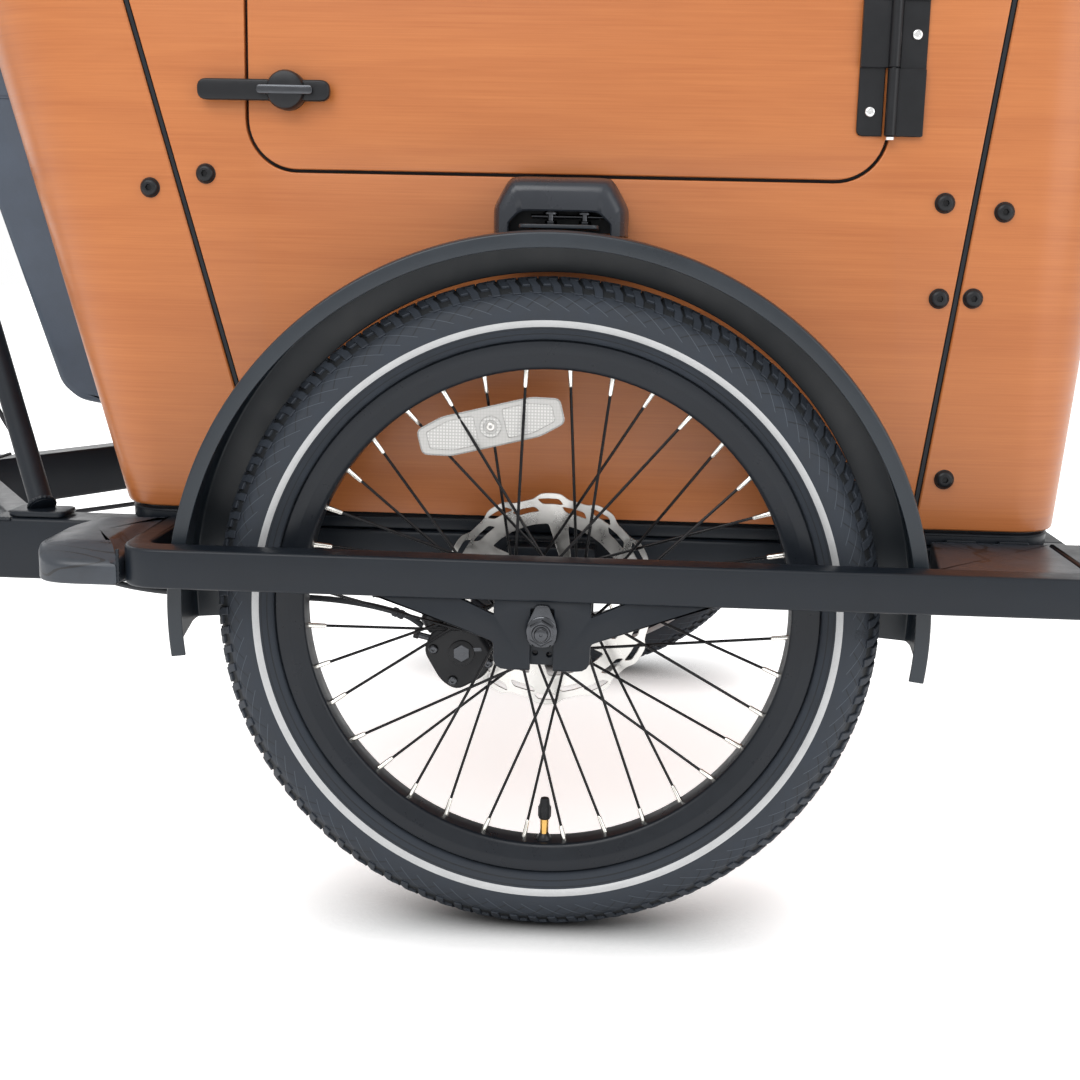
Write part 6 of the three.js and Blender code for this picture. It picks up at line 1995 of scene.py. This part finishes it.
@dataclass
class Carrier:
    """Frame under the box, steering column, bars, grips, brake lever and hose."""

    finishes: Finishes
    rail_y: tuple = (263.0, 303.0)
    rail_x: tuple = (-470.0, 425.0)
    column_x: float = -640.0
    column_top: float = 1030.0

    def beam(self, corners: Sequence[Sequence[float]], low: float = 250.0, high: float = 301.7) -> Shell:
        """A rectangular tube seen from above, its long edges rounded."""
        return slab([np.asarray(corners, float)], low, high, 3.2, Plane.XY, steps=3)

    def frame(self) -> None:
        """Rails, cross tubes, the tapering rear and the inner axle plates."""
        f = self.finishes
        (y0, y1), (x0, x1) = self.rail_y, self.rail_x
        parts = []
        for way in (-1.0, 1.0):
            a, b = sorted((way * y0, way * y1))
            parts.append(self.beam([(x0, a), (x1, a), (x1, b), (x0, b)]))
            hip = [(x0 + 20, way * y1), (-600, way * 60), (-600, way * 14), (x0 + 20, way * 254)]
            parts.append(self.beam(hip))
            y = way * (WHEEL_Y - 50.0)
            plate = filleted([(-36, 225), (-5.3, 225), (-5.3, 261.3), (5.3, 261.3), (5.3, 225), (36, 225),
                    (36, 296),
                              (-36, 296)], [9, 0.5, 4.5, 4.5, 0.5, 9, 4, 4], 5)
            p0, p1 = sorted((y, y - way * 6))
            parts.append(slab([plate], p0, p1, 0.8, steps=2))
            q0, q1 = sorted((y - way * 5, way * (y1 - 1)))
            flange = np.array([(-36, q0), (36, q0), (36, q1), (-36, q1)])
            parts.append(slab([flange], 290, 296, 0.6, Plane.XY))
            for start, end in (((x0 + 2, way * (y1 + 0.2), 301), (x0 + 18, way * (y1 + 0.2), 301)),
                               ((-35, way * (y1 + 0.6), 296.4), (35, way * (y1 + 0.6), 296.4)),
                               ((-35, way * (y1 + 0.6), 289.6), (35, way * (y1 + 0.6), 289.6))):
                parts.append(weld(np.linspace(start, end, max(8, int(abs(end[0] - start[0]) / 1.8))), 1.6))
        for a, b, half in ((-350, -310, y0), (-20, 20, y0), (x1 - 40, x1, y0), (-680, -598, 60)):
            parts.append(self.beam([(a, -half), (b, -half), (b, half), (a, half)]))
        for x in (-678.0, -600.0):
            parts.append(weld(np.linspace((x, -58, 302.2), (x, 58, 302.2), 60), 1.8))
        make_piece("carrier_rails", parts, [f.frame], "carrier", ["carrier_frame"])

    def column(self) -> None:
        """Upright column with foot, struts, shoes, bolts and the bar clamp."""
        f, x, top = self.finishes, self.column_x, self.column_top
        foot = 302.2
        parts = [rod((x, 0, foot), (x, 0, top), [(0, 19), (top - foot - 1.2, 19), (top - foot, 17.6)], 40),
                 slab([filleted([(x - 36, -42), (x + 36, -42), (x + 36, 42), (x - 36, 42)], 10, 5)], foot,
                 foot + 8,
                      1.4, Plane.XY, steps=2)]
        for way in (-1.0, 1.0):
            low, high = np.array([-432.0, way * 283.0, foot + 6]), np.array([x + 4, way * 5.4, 634.0])
            parts.append(tube([tuple(low), tuple(high)], 10, 28))
            shoe = filleted([(-456, way * 283 - 17), (-408, way * 283 - 17), (-408, way * 283 + 17),
                             (-456, way * 283 + 17)], 7, 4)
            parts.append(slab([shoe], foot, foot + 5, 1.6, Plane.XY, steps=2))
            turn = np.linspace(0, 2 * np.pi, 40)[:, None]
            along = unit(high - low)
            aside = unit(np.cross(along, (0.0, 0.0, 1.0)))
            bead = low + along * 2.5 + 10.6 * (np.cos(turn) * aside + np.sin(turn) * np.cross(along, aside))
            parts.append(weld(bead, 1.6))
            parts.append(button_bolt((x - 28, way * 33, foot + 8), (0, 0, 1), 6.5, 4.0, slot=1))
            parts.append(button_bolt((x + 28, way * 33, foot + 8), (0, 0, 1), 6.5, 4.0, slot=1))
        angle = np.linspace(0, 2 * np.pi, 60)
        parts.append(weld(np.stack([x + 19.8 * np.cos(angle), 19.8 * np.sin(angle),
                0 * angle + foot + 8.6], 1), 1.8))
        parts.append(tube([(x, 0, top - 34), (x + 52, 0, top + 16)], 14, 28))
        clamp = [(0, 19.6), (1.4, 21), (22.6, 21), (23.4, 20.2), (24.6, 20.2), (25.4, 21), (46.6, 21),
                (48, 19.6)]
        parts.append(rod((x + 54, -24, top + 18), (x + 54, 24, top + 18), clamp, 40, slot=2))
        for way in (-1.0, 1.0):
            for dz in (-13.0, 13.0):
                parts.append(button_bolt((x + 73.0, way * 14, top + 18 + dz), (1, 0, 0), 4.2, 3.4, slot=1))
        parts.append(rod((x, 0, top - 30), (x, 0, top), [(0, 19.4), (0.6, 20.6), (20, 20.6), (21, 19.4)],
                40, slot=2))
        make_piece("column", parts, [f.frame, f.dark_chrome, f.black], "carrier", ["steering_column"])

    def bar_points(self, way: float) -> np.ndarray:
        """Half of the handlebar's middle line, from its middle outwards."""
        cx, cz = self.column_x + 54, self.column_top + 18
        bend = [(0, 0, 0), (0, 60, 0), (-20, 130, 16), (-70, 220, 30), (-120, 270, 30), (-225, 312, 26)]
        return np.array([(cx + x, way * y, cz + z) for x, y, z in bend])

    def bars(self) -> None:
        """Handlebar, grips with ribs and end caps, lever body and blade."""
        f = self.finishes
        half = self.bar_points(1.0)
        knots = np.concatenate([(half * np.array([1, -1, 1]))[::-1], half[1:]])
        path = curve_through(knots, 161)
        bar = swept(path, circle(11.0, 28), (0, 0, 1))
        middle = path[len(path) // 2]
        sleeve = rod((middle[0], -61, middle[2]), (middle[0], 61, middle[2]),
                     [(0, 11.2), (14, 12.4), (108, 12.4), (122, 11.2)], 28)
        make_piece("handlebar_tube", [bar, sleeve], [f.black], "carrier", ["handlebar"])
        for side in Side:
            a, b = (self.bar_points(-1.0)[i] for i in (4, 5))
            along = unit(b - a)
            start, end = a - along * 6, b + along * 6
            length = float(np.linalg.norm(end - start))
            profile = [(0, 14.5), (0.8, 17), (5, 17), (6, 15.8)]
            for d in np.arange(8.0, length - 12, 3.6):
                profile += [(d, 15.2), (d + 0.5, 15.9), (d + 2.2, 15.9), (d + 2.7, 15.2)]
            profile += [(length - 7, 15.4), (length - 6, 17), (length - 1, 17), (length, 15.2)]
            make_piece("handle_grip", [rod(start, end, profile, 28)], [f.rubber], "carrier",
                       [f"grip_{side.word}"], side)
        px, py, pz = self.column_x + 10, -226.0, self.column_top + 42
        body = [rod((px - 18, py + 14, pz + 3), (px - 34, py - 4, pz + 4), [(0, 17), (0.8, 18), (23, 18),
                (24, 17)], 28)]
        for low, high in ((pz - 13, pz - 5.6), (pz + 5.6, pz + 13)):
            body.append(slab([filleted([(px - 20, py - 2), (px + 14, py - 2), (px + 14, py + 46),
                    (px - 20, py + 46)],
                                       [6, 6, 9, 5], 4)], low, high, 1.2, Plane.XY, steps=2))
        body.append(slab([filleted([(px - 20, py + 17), (px + 14, py + 17), (px + 14, py + 46), (px - 20,
                py + 46)],
                                   [1, 1, 9, 5], 4)], pz - 6, pz + 6, 0.5, Plane.XY))
        body.append(pin((px, py, pz - 12.9), (px, py, pz + 13), 3.0, 20, slot=1))
        make_piece("lever_clamp", body, [f.black, f.steel], "carrier", ["brake_lever_body"])
        blade = filleted([(px - 8, py + 10), (px + 8, py + 12), (px + 13, py - 4), (px - 2, py - 52),
                          (px - 90, py - 124), (px - 106, py - 126), (px - 102, py - 113), (px - 18,
                          py - 44),
                          (px - 6, py - 10)], [3, 4, 6, 18, 8, 4, 5, 18, 8], 6)
        make_piece("lever_blade", [slab([blade], pz - 4, pz + 4, 1.8, Plane.XY, steps=3)], [f.rim],
                "brake_lever",
                   ["brake_lever"])

    def hose(self) -> None:
        """Brake hose from the lever down the column to the splitter and out to both calipers."""
        f, low = self.finishes, 244.0
        lx, ly, lz = self.column_x + 10, -226.0, self.column_top + 42
        ahead, join = self.column_x + 34, (self.column_x + 86, 0.0, low)
        down = [(lx + 16, ly + 24, lz - 2), (lx + 46, ly + 62, lz - 24), (lx + 60, -90, lz - 130),
                (ahead + 10, -26, lz - 250), (ahead, 0, 660), (ahead, 0, 440), (ahead + 14, 0, 370),
                (self.column_x + 84, 0, 300), join]
        parts = [tube(down, 2.5, 14, 160)]
        block = filleted([(join[0] - 8, -7), (join[0] + 12, -7), (join[0] + 12, 7), (join[0] - 8, 7)], 2, 3)
        parts.append(slab([block], low - 5, low + 5, 1.0, Plane.XY, slot=1))
        for way in (-1.0, 1.0):
            run = [join, (-536, way * 30, low), (-470, way * 120, low), (-410, way * 236, low),
                   (-360, way * 288, low), (-290, way * 311, low), (-183, way * 324, 247), (-123,
                   way * 336, 241),
                   (-101, way * 337, 230.5)]
            parts.append(tube(run, 2.5, 14, 150))
            for start, end in (((-126, way * 335.3, 241.6), (-110, way * 337, 236)),):
                parts.append(rod(start, end, [(0, 3.2), (1, 3.9), (4, 3.9), (5, 3.2), (6, 3.8), (9, 3.8),
                        (10, 3.1)],
                                 16))
            parts.append(pin((-290, way * 303.2, low + 2), (-290, way * 314, low + 2), 2.0, 12, slot=1))
        make_piece("hose_run", parts, [f.rubber, f.black], "carrier", ["brake_hose"])

    def build(self) -> None:
        """Makes frame, column, bars and hose."""
        self.frame()
        self.column()
        self.bars()
        self.hose()


# ---- Rear half --------------------------------------------------------------------------------------

@dataclass
class RearHalf:
    """Rear frame, saddle, drive and rear wheel."""

    finishes: Finishes
    head_x: float = -640.0
    crank: tuple = (-960.0, 288.0)
    axle: tuple = (-1400.0, 330.0)
    lean: float = 18.0

    def up_seat(self, length: float) -> np.ndarray:
        """A point on the seat tube's line at a distance up from the crank."""
        a = math.radians(self.lean)
        return np.array([self.crank[0] - length * math.sin(a), 0.0, self.crank[1] + length * math.cos(a)])

    def frame(self) -> None:
        """Tubes with weld beads at their joints, dropouts and the seat binder."""
        f, hx = self.finishes, self.head_x
        (cx, cz), (ax, az) = self.crank, self.axle
        collar = [(0, 20.8), (0.4, 27), (1.6, 28.2), (9, 28.2), (10.4, 27), (149.6, 27), (151, 28.2),
                (158.4, 28.2),
                  (159.6, 27), (160, 20.8)]
        parts = [rod((hx, 0, 432), (hx, 0, 592), collar, 48)]
        parts.append(tube([(hx - 18, 0, 492), (cx, 0, cz + 10)], 30, 36))
        parts.append(tube([(hx - 16, 0, 568), tuple(self.up_seat(196))], 16, 28))
        parts.append(rod((cx, -36, cz), (cx, 36, cz), [(0, 9.8), (0.3, 23.4), (1.6, 25), (70.4, 25),
                (71.7, 23.4),
                                                       (72, 9.8)], 44))
        parts.append(rod(tuple(self.up_seat(0)), tuple(self.up_seat(400)),
                         [(0, 17), (386, 17), (387.4, 20), (399, 20), (400, 19), (400, 13.6)], 36))
        head = self.up_seat(392)
        ears = filleted([(head[0] - 32, head[2] - 6), (head[0] - 16, head[2] - 6), (head[0] - 16,
                head[2] + 7),
                         (head[0] - 32, head[2] + 7)], 3, 4)
        parts += [slab([ears], 1.8, 11, 1.0), slab([ears], -11, -1.8, 1.0)]
        parts.append(button_bolt((head[0] - 24, -11, head[2]), (0, -1, 0), 4.2, 3.6, slot=1))
        top = self.up_seat(360)
        for way in (-1.0, 1.0):
            parts.append(tube([(cx - 8, way * 27, cz), (ax + 32, way * 73, az - 4)], 9, 24))
            parts.append(tube([(top[0] - 8, way * 36, top[2]), (ax + 22, way * 73, az + 34)], 8, 24))
            plate = filleted([(ax - 16, az - 8), (ax - 8, az - 16), (ax + 48, az - 15), (ax + 48, az + 6),
                              (ax + 30, az + 48), (ax + 10, az + 48), (ax - 16, az + 12)], [3, 3, 6, 8, 6,
                              6, 6], 5)
            y0, y1 = sorted((way * 70, way * 76))
            parts.append(slab([plate, circle(5.4, 24, (ax, az))], y0, y1, 0.9, steps=2))
        parts.append(tube([(top[0] - 8, -36, top[2]), (top[0] - 8, 36, top[2])], 9, 24))
        run = math.hypot(top[0] - 8 - ax, top[2] - az)
        share = 361.5 / run
        low = (ax + (top[0] - 8 - ax) * share, az + (top[2] - az) * share)
        parts.append(tube([(low[0], -44, low[1]), (low[0], 44, low[1])], 6.5, 20))
        turn = np.linspace(0, 2 * np.pi, 70)
        for point, way, radius in (((hx - 30, 0, 483), (-310, 0, -194), 31.0), ((cx + 24, 0, cz + 25),
                (310, 0, 194), 31.0),
                                   ((hx - 27, 0, 562), (-345, 0, -94), 17.0)):
            along = unit(np.asarray(way, float))
            aside = np.array([0.0, 1.0, 0.0])
            third = np.cross(along, aside)
            bead = np.asarray(point, float) + radius * (np.cos(turn)[:, None] * aside + np.sin(turn)[:,
                    None] * third)
            parts.append(weld(bead, 2.2))
        make_piece("rear_tubes", parts, [f.frame, f.dark_chrome], "rear_frame", ["main_frame"])

    def saddle(self) -> None:
        """Post with head clamp, padded saddle with a seam line, and its steel rails."""
        f = self.finishes
        base, head = self.up_seat(270), self.up_seat(578)
        post = [rod(tuple(base), tuple(head), [(0, 12.6), (0.8, 13.4), (300, 13.4), (308, 13.4)], 32)]
        clamp = filleted([(head[0] - 22, head[2] - 6), (head[0] + 22, head[2] - 6), (head[0] + 22,
                head[2] + 15),
                          (head[0] - 22, head[2] + 15)], 6, 5)
        post.append(slab([clamp], -26, 26, 2.0, steps=2, slot=1))
        post.append(button_bolt((head[0] + 22, 0, head[2] + 4), (1, 0, 0), 5, 3.6, slot=1))
        make_piece("post", post, [f.rim, f.dark_chrome], "seat", ["seat_post"])
        seat = self.up_seat(610)
        u = np.linspace(0.0, 1.0, 81)
        v = np.linspace(0.0, 2 * np.pi, 64, endpoint=False)
        x = seat[0] - 128 + 262 * u
        wide = 106 * np.sqrt(np.clip(u / 0.17, 0, 1) * (2 - np.clip(u / 0.17, 0,
                1))) * (1 - 0.775 * smooth(0.22, 0.66, u))
        wide = wide * np.sqrt(np.clip((1 - u) / 0.06, 0, 1) * (2 - np.clip((1 - u) / 0.06, 0, 1))) + 0.4
        top = seat[2] + 46 + 8 * (1 - smooth(0.0, 0.3, u)) - 2 * smooth(0.6, 1.0, u) - 6 * smooth(0.93,
                1.0, u)
        low = seat[2] + 6 + 14 * smooth(0.0, 0.45, u) * (1 - smooth(0.75, 1.0, u) * 0.6)
        c, s = np.cos(v), np.sin(v)
        shape_y = np.sign(c) * np.abs(c) ** 0.75
        shape_z = np.where(s > 0, np.abs(s) ** 0.7, -np.abs(s) ** 0.45)
        middle, rise = (top + low) / 2, (top - low) / 2
        dish = 7.0 * np.exp(-(c / 0.28) ** 2)[None, :] * (s > 0)[None, :] * np.sin(np.pi * u)[:, None]
        y = wide[:, None] * shape_y[None]
        z = middle[:, None] + rise[:, None] * shape_z[None] - dish
        z = z - 9.0 * (np.abs(shape_y)[None] ** 2) * (s > 0)[None] * smooth(0.0, 0.1, u)[:, None]
        body = grid_shell(np.stack([np.broadcast_to(x[:, None], y.shape), y, z], -1))
        piping = []
        for way in (1.0, -1.0):
            line = np.stack([x, way * (wide + 0.3), middle - 0.32 * rise * 1.0], 1)[2:-2]
            piping.append(swept(line, circle(1.5, 10), (0, 0, 1), slot=1))
        cover = make_piece("saddle_top", [body] + piping, [f.leather, f.rubber], "seat", ["saddle"])
        rails = [tube([(seat[0] - 92, way * 34, seat[2] + 14), (seat[0] - 60, way * 22, seat[2] + 3),
                       (seat[0] + 40, way * 20, seat[2] + 3), (seat[0] + 104, way * 10, seat[2] + 22)],
                       3.5, 16, 40)
                 for way in (-1.0, 1.0)]
        make_piece("saddle_rails", rails, [f.dark_chrome], "seat", ())

    def guard(self) -> None:
        """Rear mudguard and its stays."""
        f, (ax, az) = self.finishes, self.axle
        arch = Mudguard(Side.RIGHT, f).channel((ax, 0.0, az), 354.0, 30.0, 14.0, 14.0, 22, 196)
        a = math.radians(158)
        stays = [tube([(ax + 347 * math.cos(a), way * 29, az + 347 * math.sin(a)), (ax - 9, way * 80,
                az + 11)],
                      2.5, 14, slot=1) for way in (-1.0, 1.0)]
        stays += [button_bolt((ax - 9, way * 76, az + 11), (0, way, 0), 5, 6.5, slot=1) for way in (-1.0,
                1.0)]
        make_piece("rear_guard", [arch] + stays, [f.guard, f.wire], "rear_frame", ["rear_mudguard"])

    def wheel(self) -> None:
        """Rear tyre, rim, hub, spokes and axle."""
        f, (ax, az) = self.finishes, self.axle
        place = place_on_axle((ax, 0.0, az))
        tyre = Tyre(330.0, ((330, 0), (329.7, 6), (328.2, 11), (325, 16), (319.5, 20.6), (312.5, 23.6),
                (305, 25.0),
                            (298, 23.4), (291.6, 18.5), (287.4, 15.4), (286.8, 11.4), (281, 10.7), (278.5,
                            9.4)),
                    pitches=124)
        make_piece("rear_tyre_body", [s.moved(place) for s in [tyre.carcass((299.4,
                295.0))] + tyre.tread()],
                   [f.tyre, f.band], "rear_wheel", ["rear_tyre"])
        rim = ((286, 13.9), (285.6, 14.3), (284.5, 14.4), (277.4, 14.4), (276.4, 14.0), (275.8, 13.8),
                (268.6, 11.8),
               (267, 11.0), (265.9, 9.7), (265.6, 8), (265.5, 0))
        inner = ((274, 0), (274, 8.8), (277, 11.5), (283, 11.7), (285.6, 12.3), (286, 12.8))
        hub = ((6.6, 50), (17, 50), (18, 49), (28, 37), (30, 35.5), (37.4, 33.2), (38, 32.4), (38, 29.6),
               (37.4, 29), (32.5, 26.5), (33.6, 20), (34, 0), (34, -20), (35, -24.4), (41.4, -27), (42,
               -27.8),
               (42, -30.2), (41.4, -31), (34, -34), (28, -43), (14, -51), (12, -58), (12, -63.5), (6.6,
               -63.8))
        wheel = Wheel((ax, 0.0, az), rim, inner, 266.0, (31.0, -29.0), 37.0, hub)
        make_piece("rear_rim_hoop", [s.moved(place) for s in [wheel.rim()] + wheel.valve_shells(2, 1)],
                   [f.rim, f.black, f.brass], "rear_wheel", ["rear_rim"])
        make_piece("rear_hub_and_spokes",
                [s.moved(place) for s in [wheel.hub().painted(2)] + wheel.spoke_shells()],
                   [f.wire, f.nickel, f.dark_chrome], "rear_wheel", ["rear_spoked_hub"])

        def at(y: float) -> tuple:
            """A point on the axle's line."""
            return (ax, y, az)
        parts = [pin(at(-90), at(90), 5.0, 28)]
        for way, near in ((-1.0, 58.8), (1.0, 64.7)):
            parts.append(nut(at(way * near), (0, way, 0), 16.0, 69.6 - near))
            parts.append(rod(at(way * 76.2), at(way * 120), [(0, 12), (1.4, 12), (1.8, 11.4)], 28))
            parts.append(nut(at(way * 77.8), (0, way, 0), 16.6, 8.4, 2.0))
        make_piece("rear_axle_set", parts, [f.dark_chrome], "rear_frame", ["rear_axle"])

    def toothed(self, radius: float, teeth: int, holes: Sequence[np.ndarray], y: float, thick: float,
                depth: float = 2.6) -> Shell:
        """A toothed plate: its radius swings with the sine of teeth times the angle."""
        a = np.linspace(0, 2 * np.pi, teeth * 10, endpoint=False)
        r = radius + depth * np.clip(np.cos(teeth * a) * 1.3, -1, 1)
        return slab([np.stack([r * np.cos(a), r * np.sin(a)], 1)] + list(holes), y - thick / 2,
                y + thick / 2, 0.4)

    def drive(self) -> None:
        """Crankset, pedals, sprocket and the chain of single links."""
        f, (cx, cz), (ax, az) = self.finishes, self.crank, self.axle
        y = -54.0
        windows = [circle(14, 24, (46 * math.cos((k + 0.5) / 5 * 2 * math.pi),
                46 * math.sin((k + 0.5) / 5 * 2 * math.pi)))
                   for k in range(5)]
        ring = self.toothed(72.0, 36, windows + [circle(9, 20)], y, 3.0).shifted(cx, 0, cz)
        parts = [ring, pin((cx, -79, cz), (cx, 77, cz), 8, 24),
                 rod((cx, y - 8, cz), (cx, y + 6, cz), [(0, 15.6), (1.2, 17), (12.8, 17), (14, 15.6)], 32)]
        for way, y0, y1 in ((1.0, -78, -62), (-1.0, 62, 76)):
            arm = filleted([(cx - way * 18, cz - 15), (cx + way * 20, cz - 15), (cx + way * 182, cz - 10),
                            (cx + way * 187, cz), (cx + way * 182, cz + 10), (cx + way * 20, cz + 15),
                            (cx - way * 18, cz + 15)], [12, 14, 8, 6, 8, 14, 12], 6)
            parts.append(slab([arm], y0, y1, 3.0, steps=3))
            tip = -80.4 if way > 0 else 78.4
            parts.append(rod((cx, tip, cz), (cx, 0, cz), [(0, 5.5), (0.4, 7.6), (3, 7.8), (4, 7.0)], 24,
                    slot=1))
        make_piece("crank_arms", parts, [f.black, f.dark_chrome], "crank", ["crankset"])
        sprocket = [self.toothed(33.5, 18, [circle(9.2, 20)], y, 2.4, 2.2),
                    slab([circle(22, 32), circle(9.2, 20)], y + 1.2, y + 5.4, 0.5)]
        make_piece("sprocket_disc", [s.shifted(ax, 0, az) for s in sprocket], [f.chain], "sprocket",
                   ["rear_sprocket"])
        self.pedals()
        self.links(y)

    def pedals(self) -> None:
        """Two flat pedals: a frame of bars round a sleeve, with grip studs and end reflectors."""
        f, (cx, cz) = self.finishes, self.crank
        for name, node, way, side, inner in (("pedal_r", "pedal_right", 1.0, -1.0, 78.0),
                                             ("pedal_l", "pedal_left", -1.0, 1.0, 76.0)):
            px = cx + way * 170
            outline = filleted([(px - 42, cz - 7), (px - 36, cz - 12), (px + 36, cz - 12), (px + 42,
                    cz - 7),
                                (px + 42, cz + 7), (px + 36, cz + 12), (px - 36, cz + 12), (px - 42,
                                cz + 7)], 3, 4)
            parts = []
            for d in (8.0, 38.0, 70.0, 92.0):
                y0, y1 = sorted((side * (inner + d), side * (inner + d + 8)))
                parts.append(slab([outline], y0, y1, 1.6, steps=2))
            for dx, dz in ((-36, 0), (36, 0)):
                bar = filleted([(px + dx - 5, cz - 9), (px + dx + 5, cz - 9), (px + dx + 5, cz + 9),
                                (px + dx - 5, cz + 9)], 2.5, 3)
                y0, y1 = sorted((side * (inner + 8.5), side * (inner + 99.5)))
                parts.append(slab([bar], y0, y1, 1.0))
            parts.append(pin((px, side * (inner + 6), cz), (px, side * (inner + 99), cz), 9, 24))
            parts.append(pin((px, side * (inner - 14), cz), (px, side * (inner + 12), cz), 4.2, 20, slot=1))
            for dx in (-36.0, 36.0):
                outward = 1.0 if dx > 0 else -1.0
                lens = [(side * (inner + 24), cz - 6), (side * (inner + 84), cz - 6),
                        (side * (inner + 84), cz + 6),
                        (side * (inner + 24), cz + 6)]
                x0, x1 = sorted((px + dx + outward * 4.4, px + dx + outward * 6.4))
                parts.append(slab([filleted(lens, 2.0, 3)], x0, x1, 0.6, Plane.YZ, slot=2))
            studs = [rod((px + dx, side * (inner + d + 4), cz), (px + dx, side * (inner + d + 4), cz + z),
                         [(0, 1.6), (13.0, 1.6), (13.4, 1.2)], 8) for d in (8.0, 38.0, 70.0, 92.0)
                     for dx in (-26.0, 26.0) for z in (-20.0, 20.0)]
            make_piece(f"{node}_body", parts + studs, [f.case, f.dark_chrome, f.amber], name, [node])

    def links(self, y: float) -> None:
        """Chain: one link each half inch round both toothed wheels and along the straight runs.

        The loop is two arcs joined by the lines that touch both circles; links are set at equal
        steps along it, outer and inner plates by turns, with a roller at every joint.
        """
        f, (cx, cz), (ax, az) = self.finishes, self.crank, self.axle
        span, tilt = math.hypot(cx - ax, cz - az), math.atan2(cz - az, cx - ax)
        big, small = 75.5, 37.0
        bend = math.degrees(math.acos((big - small) / span))
        lean = math.degrees(tilt)
        loop = np.concatenate([arc((cx, cz), big, lean - (180 - bend), lean + (180 - bend), 200),
                               arc((ax, az), small, lean + (180 - bend), lean + (180 + bend), 120)])
        closed = np.concatenate([loop, loop[:1]])
        run = np.concatenate([[0.0], np.cumsum(np.linalg.norm(np.diff(closed, axis=0), axis=1))])
        count = int(round(run[-1] / 12.7 / 2)) * 2
        s = np.arange(count) * run[-1] / count
        joint = np.stack([np.interp(s, run, closed[:, 0]), np.interp(s, run, closed[:, 1])], 1)
        after = np.roll(joint, -1, 0)
        outline = np.concatenate([arc((0, 0), 4.1, 100, 260, 6), arc((1, 0), 4.1, -80, 80, 6)])
        shells = []
        for first, gap, thick in ((0, 2.3, 0.9), (1, 3.3, 0.9)):
            a, b = joint[first::2], after[first::2]
            along = b - a
            side = np.stack([-along[:, 1], along[:, 0]], 1)
            long = np.linalg.norm(along, axis=1, keepdims=True)
            for way in (-1.0, 1.0):
                x = outline[:, 0].copy()
                right = x > 0.5
                u = np.where(right, x - 1, x)
                points2 = (a[:, None] + unit(along)[:, None] * u[None, :, None]
                           + along[:, None] * right[None, :, None]
                           + (side / long)[:, None] * outline[None, :, 1:])
                rows = []
                for d in (0.0, thick):
                    rows.append(np.stack([points2[..., 0], np.full(points2.shape[:2], y + way * (gap + d)),
                                          points2[..., 1]], -1))
                block = np.stack(rows, 1)
                k, _, n = block.shape[:3]
                one = grid_shell(np.zeros((2, n, 3)))
                offset = (np.arange(k) * 2 * n)[:, None, None]
                shells.append(Shell(block.reshape(-1, 3), [(q[None] + offset).reshape(-1, q.shape[1])
                                                           for q in one.faces]))
        base = np.stack([joint[:, 0], np.full(count, y - 4.6), joint[:, 1]], 1)
        tip = np.stack([joint[:, 0], np.full(count, y + 4.6), joint[:, 1]], 1)
        rollers = many_rods(base, tip, [(0, 1.8), (2.2, 1.8), (2.3, 3.6),
                                                                              (6.9, 3.6), (7.0, 1.8),
                                                                              (9.2, 1.8)], 12)
        make_piece("chain_links", shells + [rollers], [f.chain], "rear_frame", ["chain"])

    def build(self) -> None:
        """Makes the rear half."""
        self.frame()
        self.saddle()
        self.guard()
        self.wheel()
        self.drive()


# ---- Assembly --------------------------------------------------------------------------------------

def main() -> None:
    """Builds every sub-assembly."""
    finishes = Finishes()
    Studio().build()
    for side in Side:
        FrontWheel(side, finishes).build()
        GuardBar(side, finishes).build()
        Mudguard(side, finishes).build()
        Brake(side, finishes).build()
    LoadBox(finishes).build()
    Carrier(finishes).build()
    RearHalf(finishes).build()


if __name__ == "__main__":
    main()
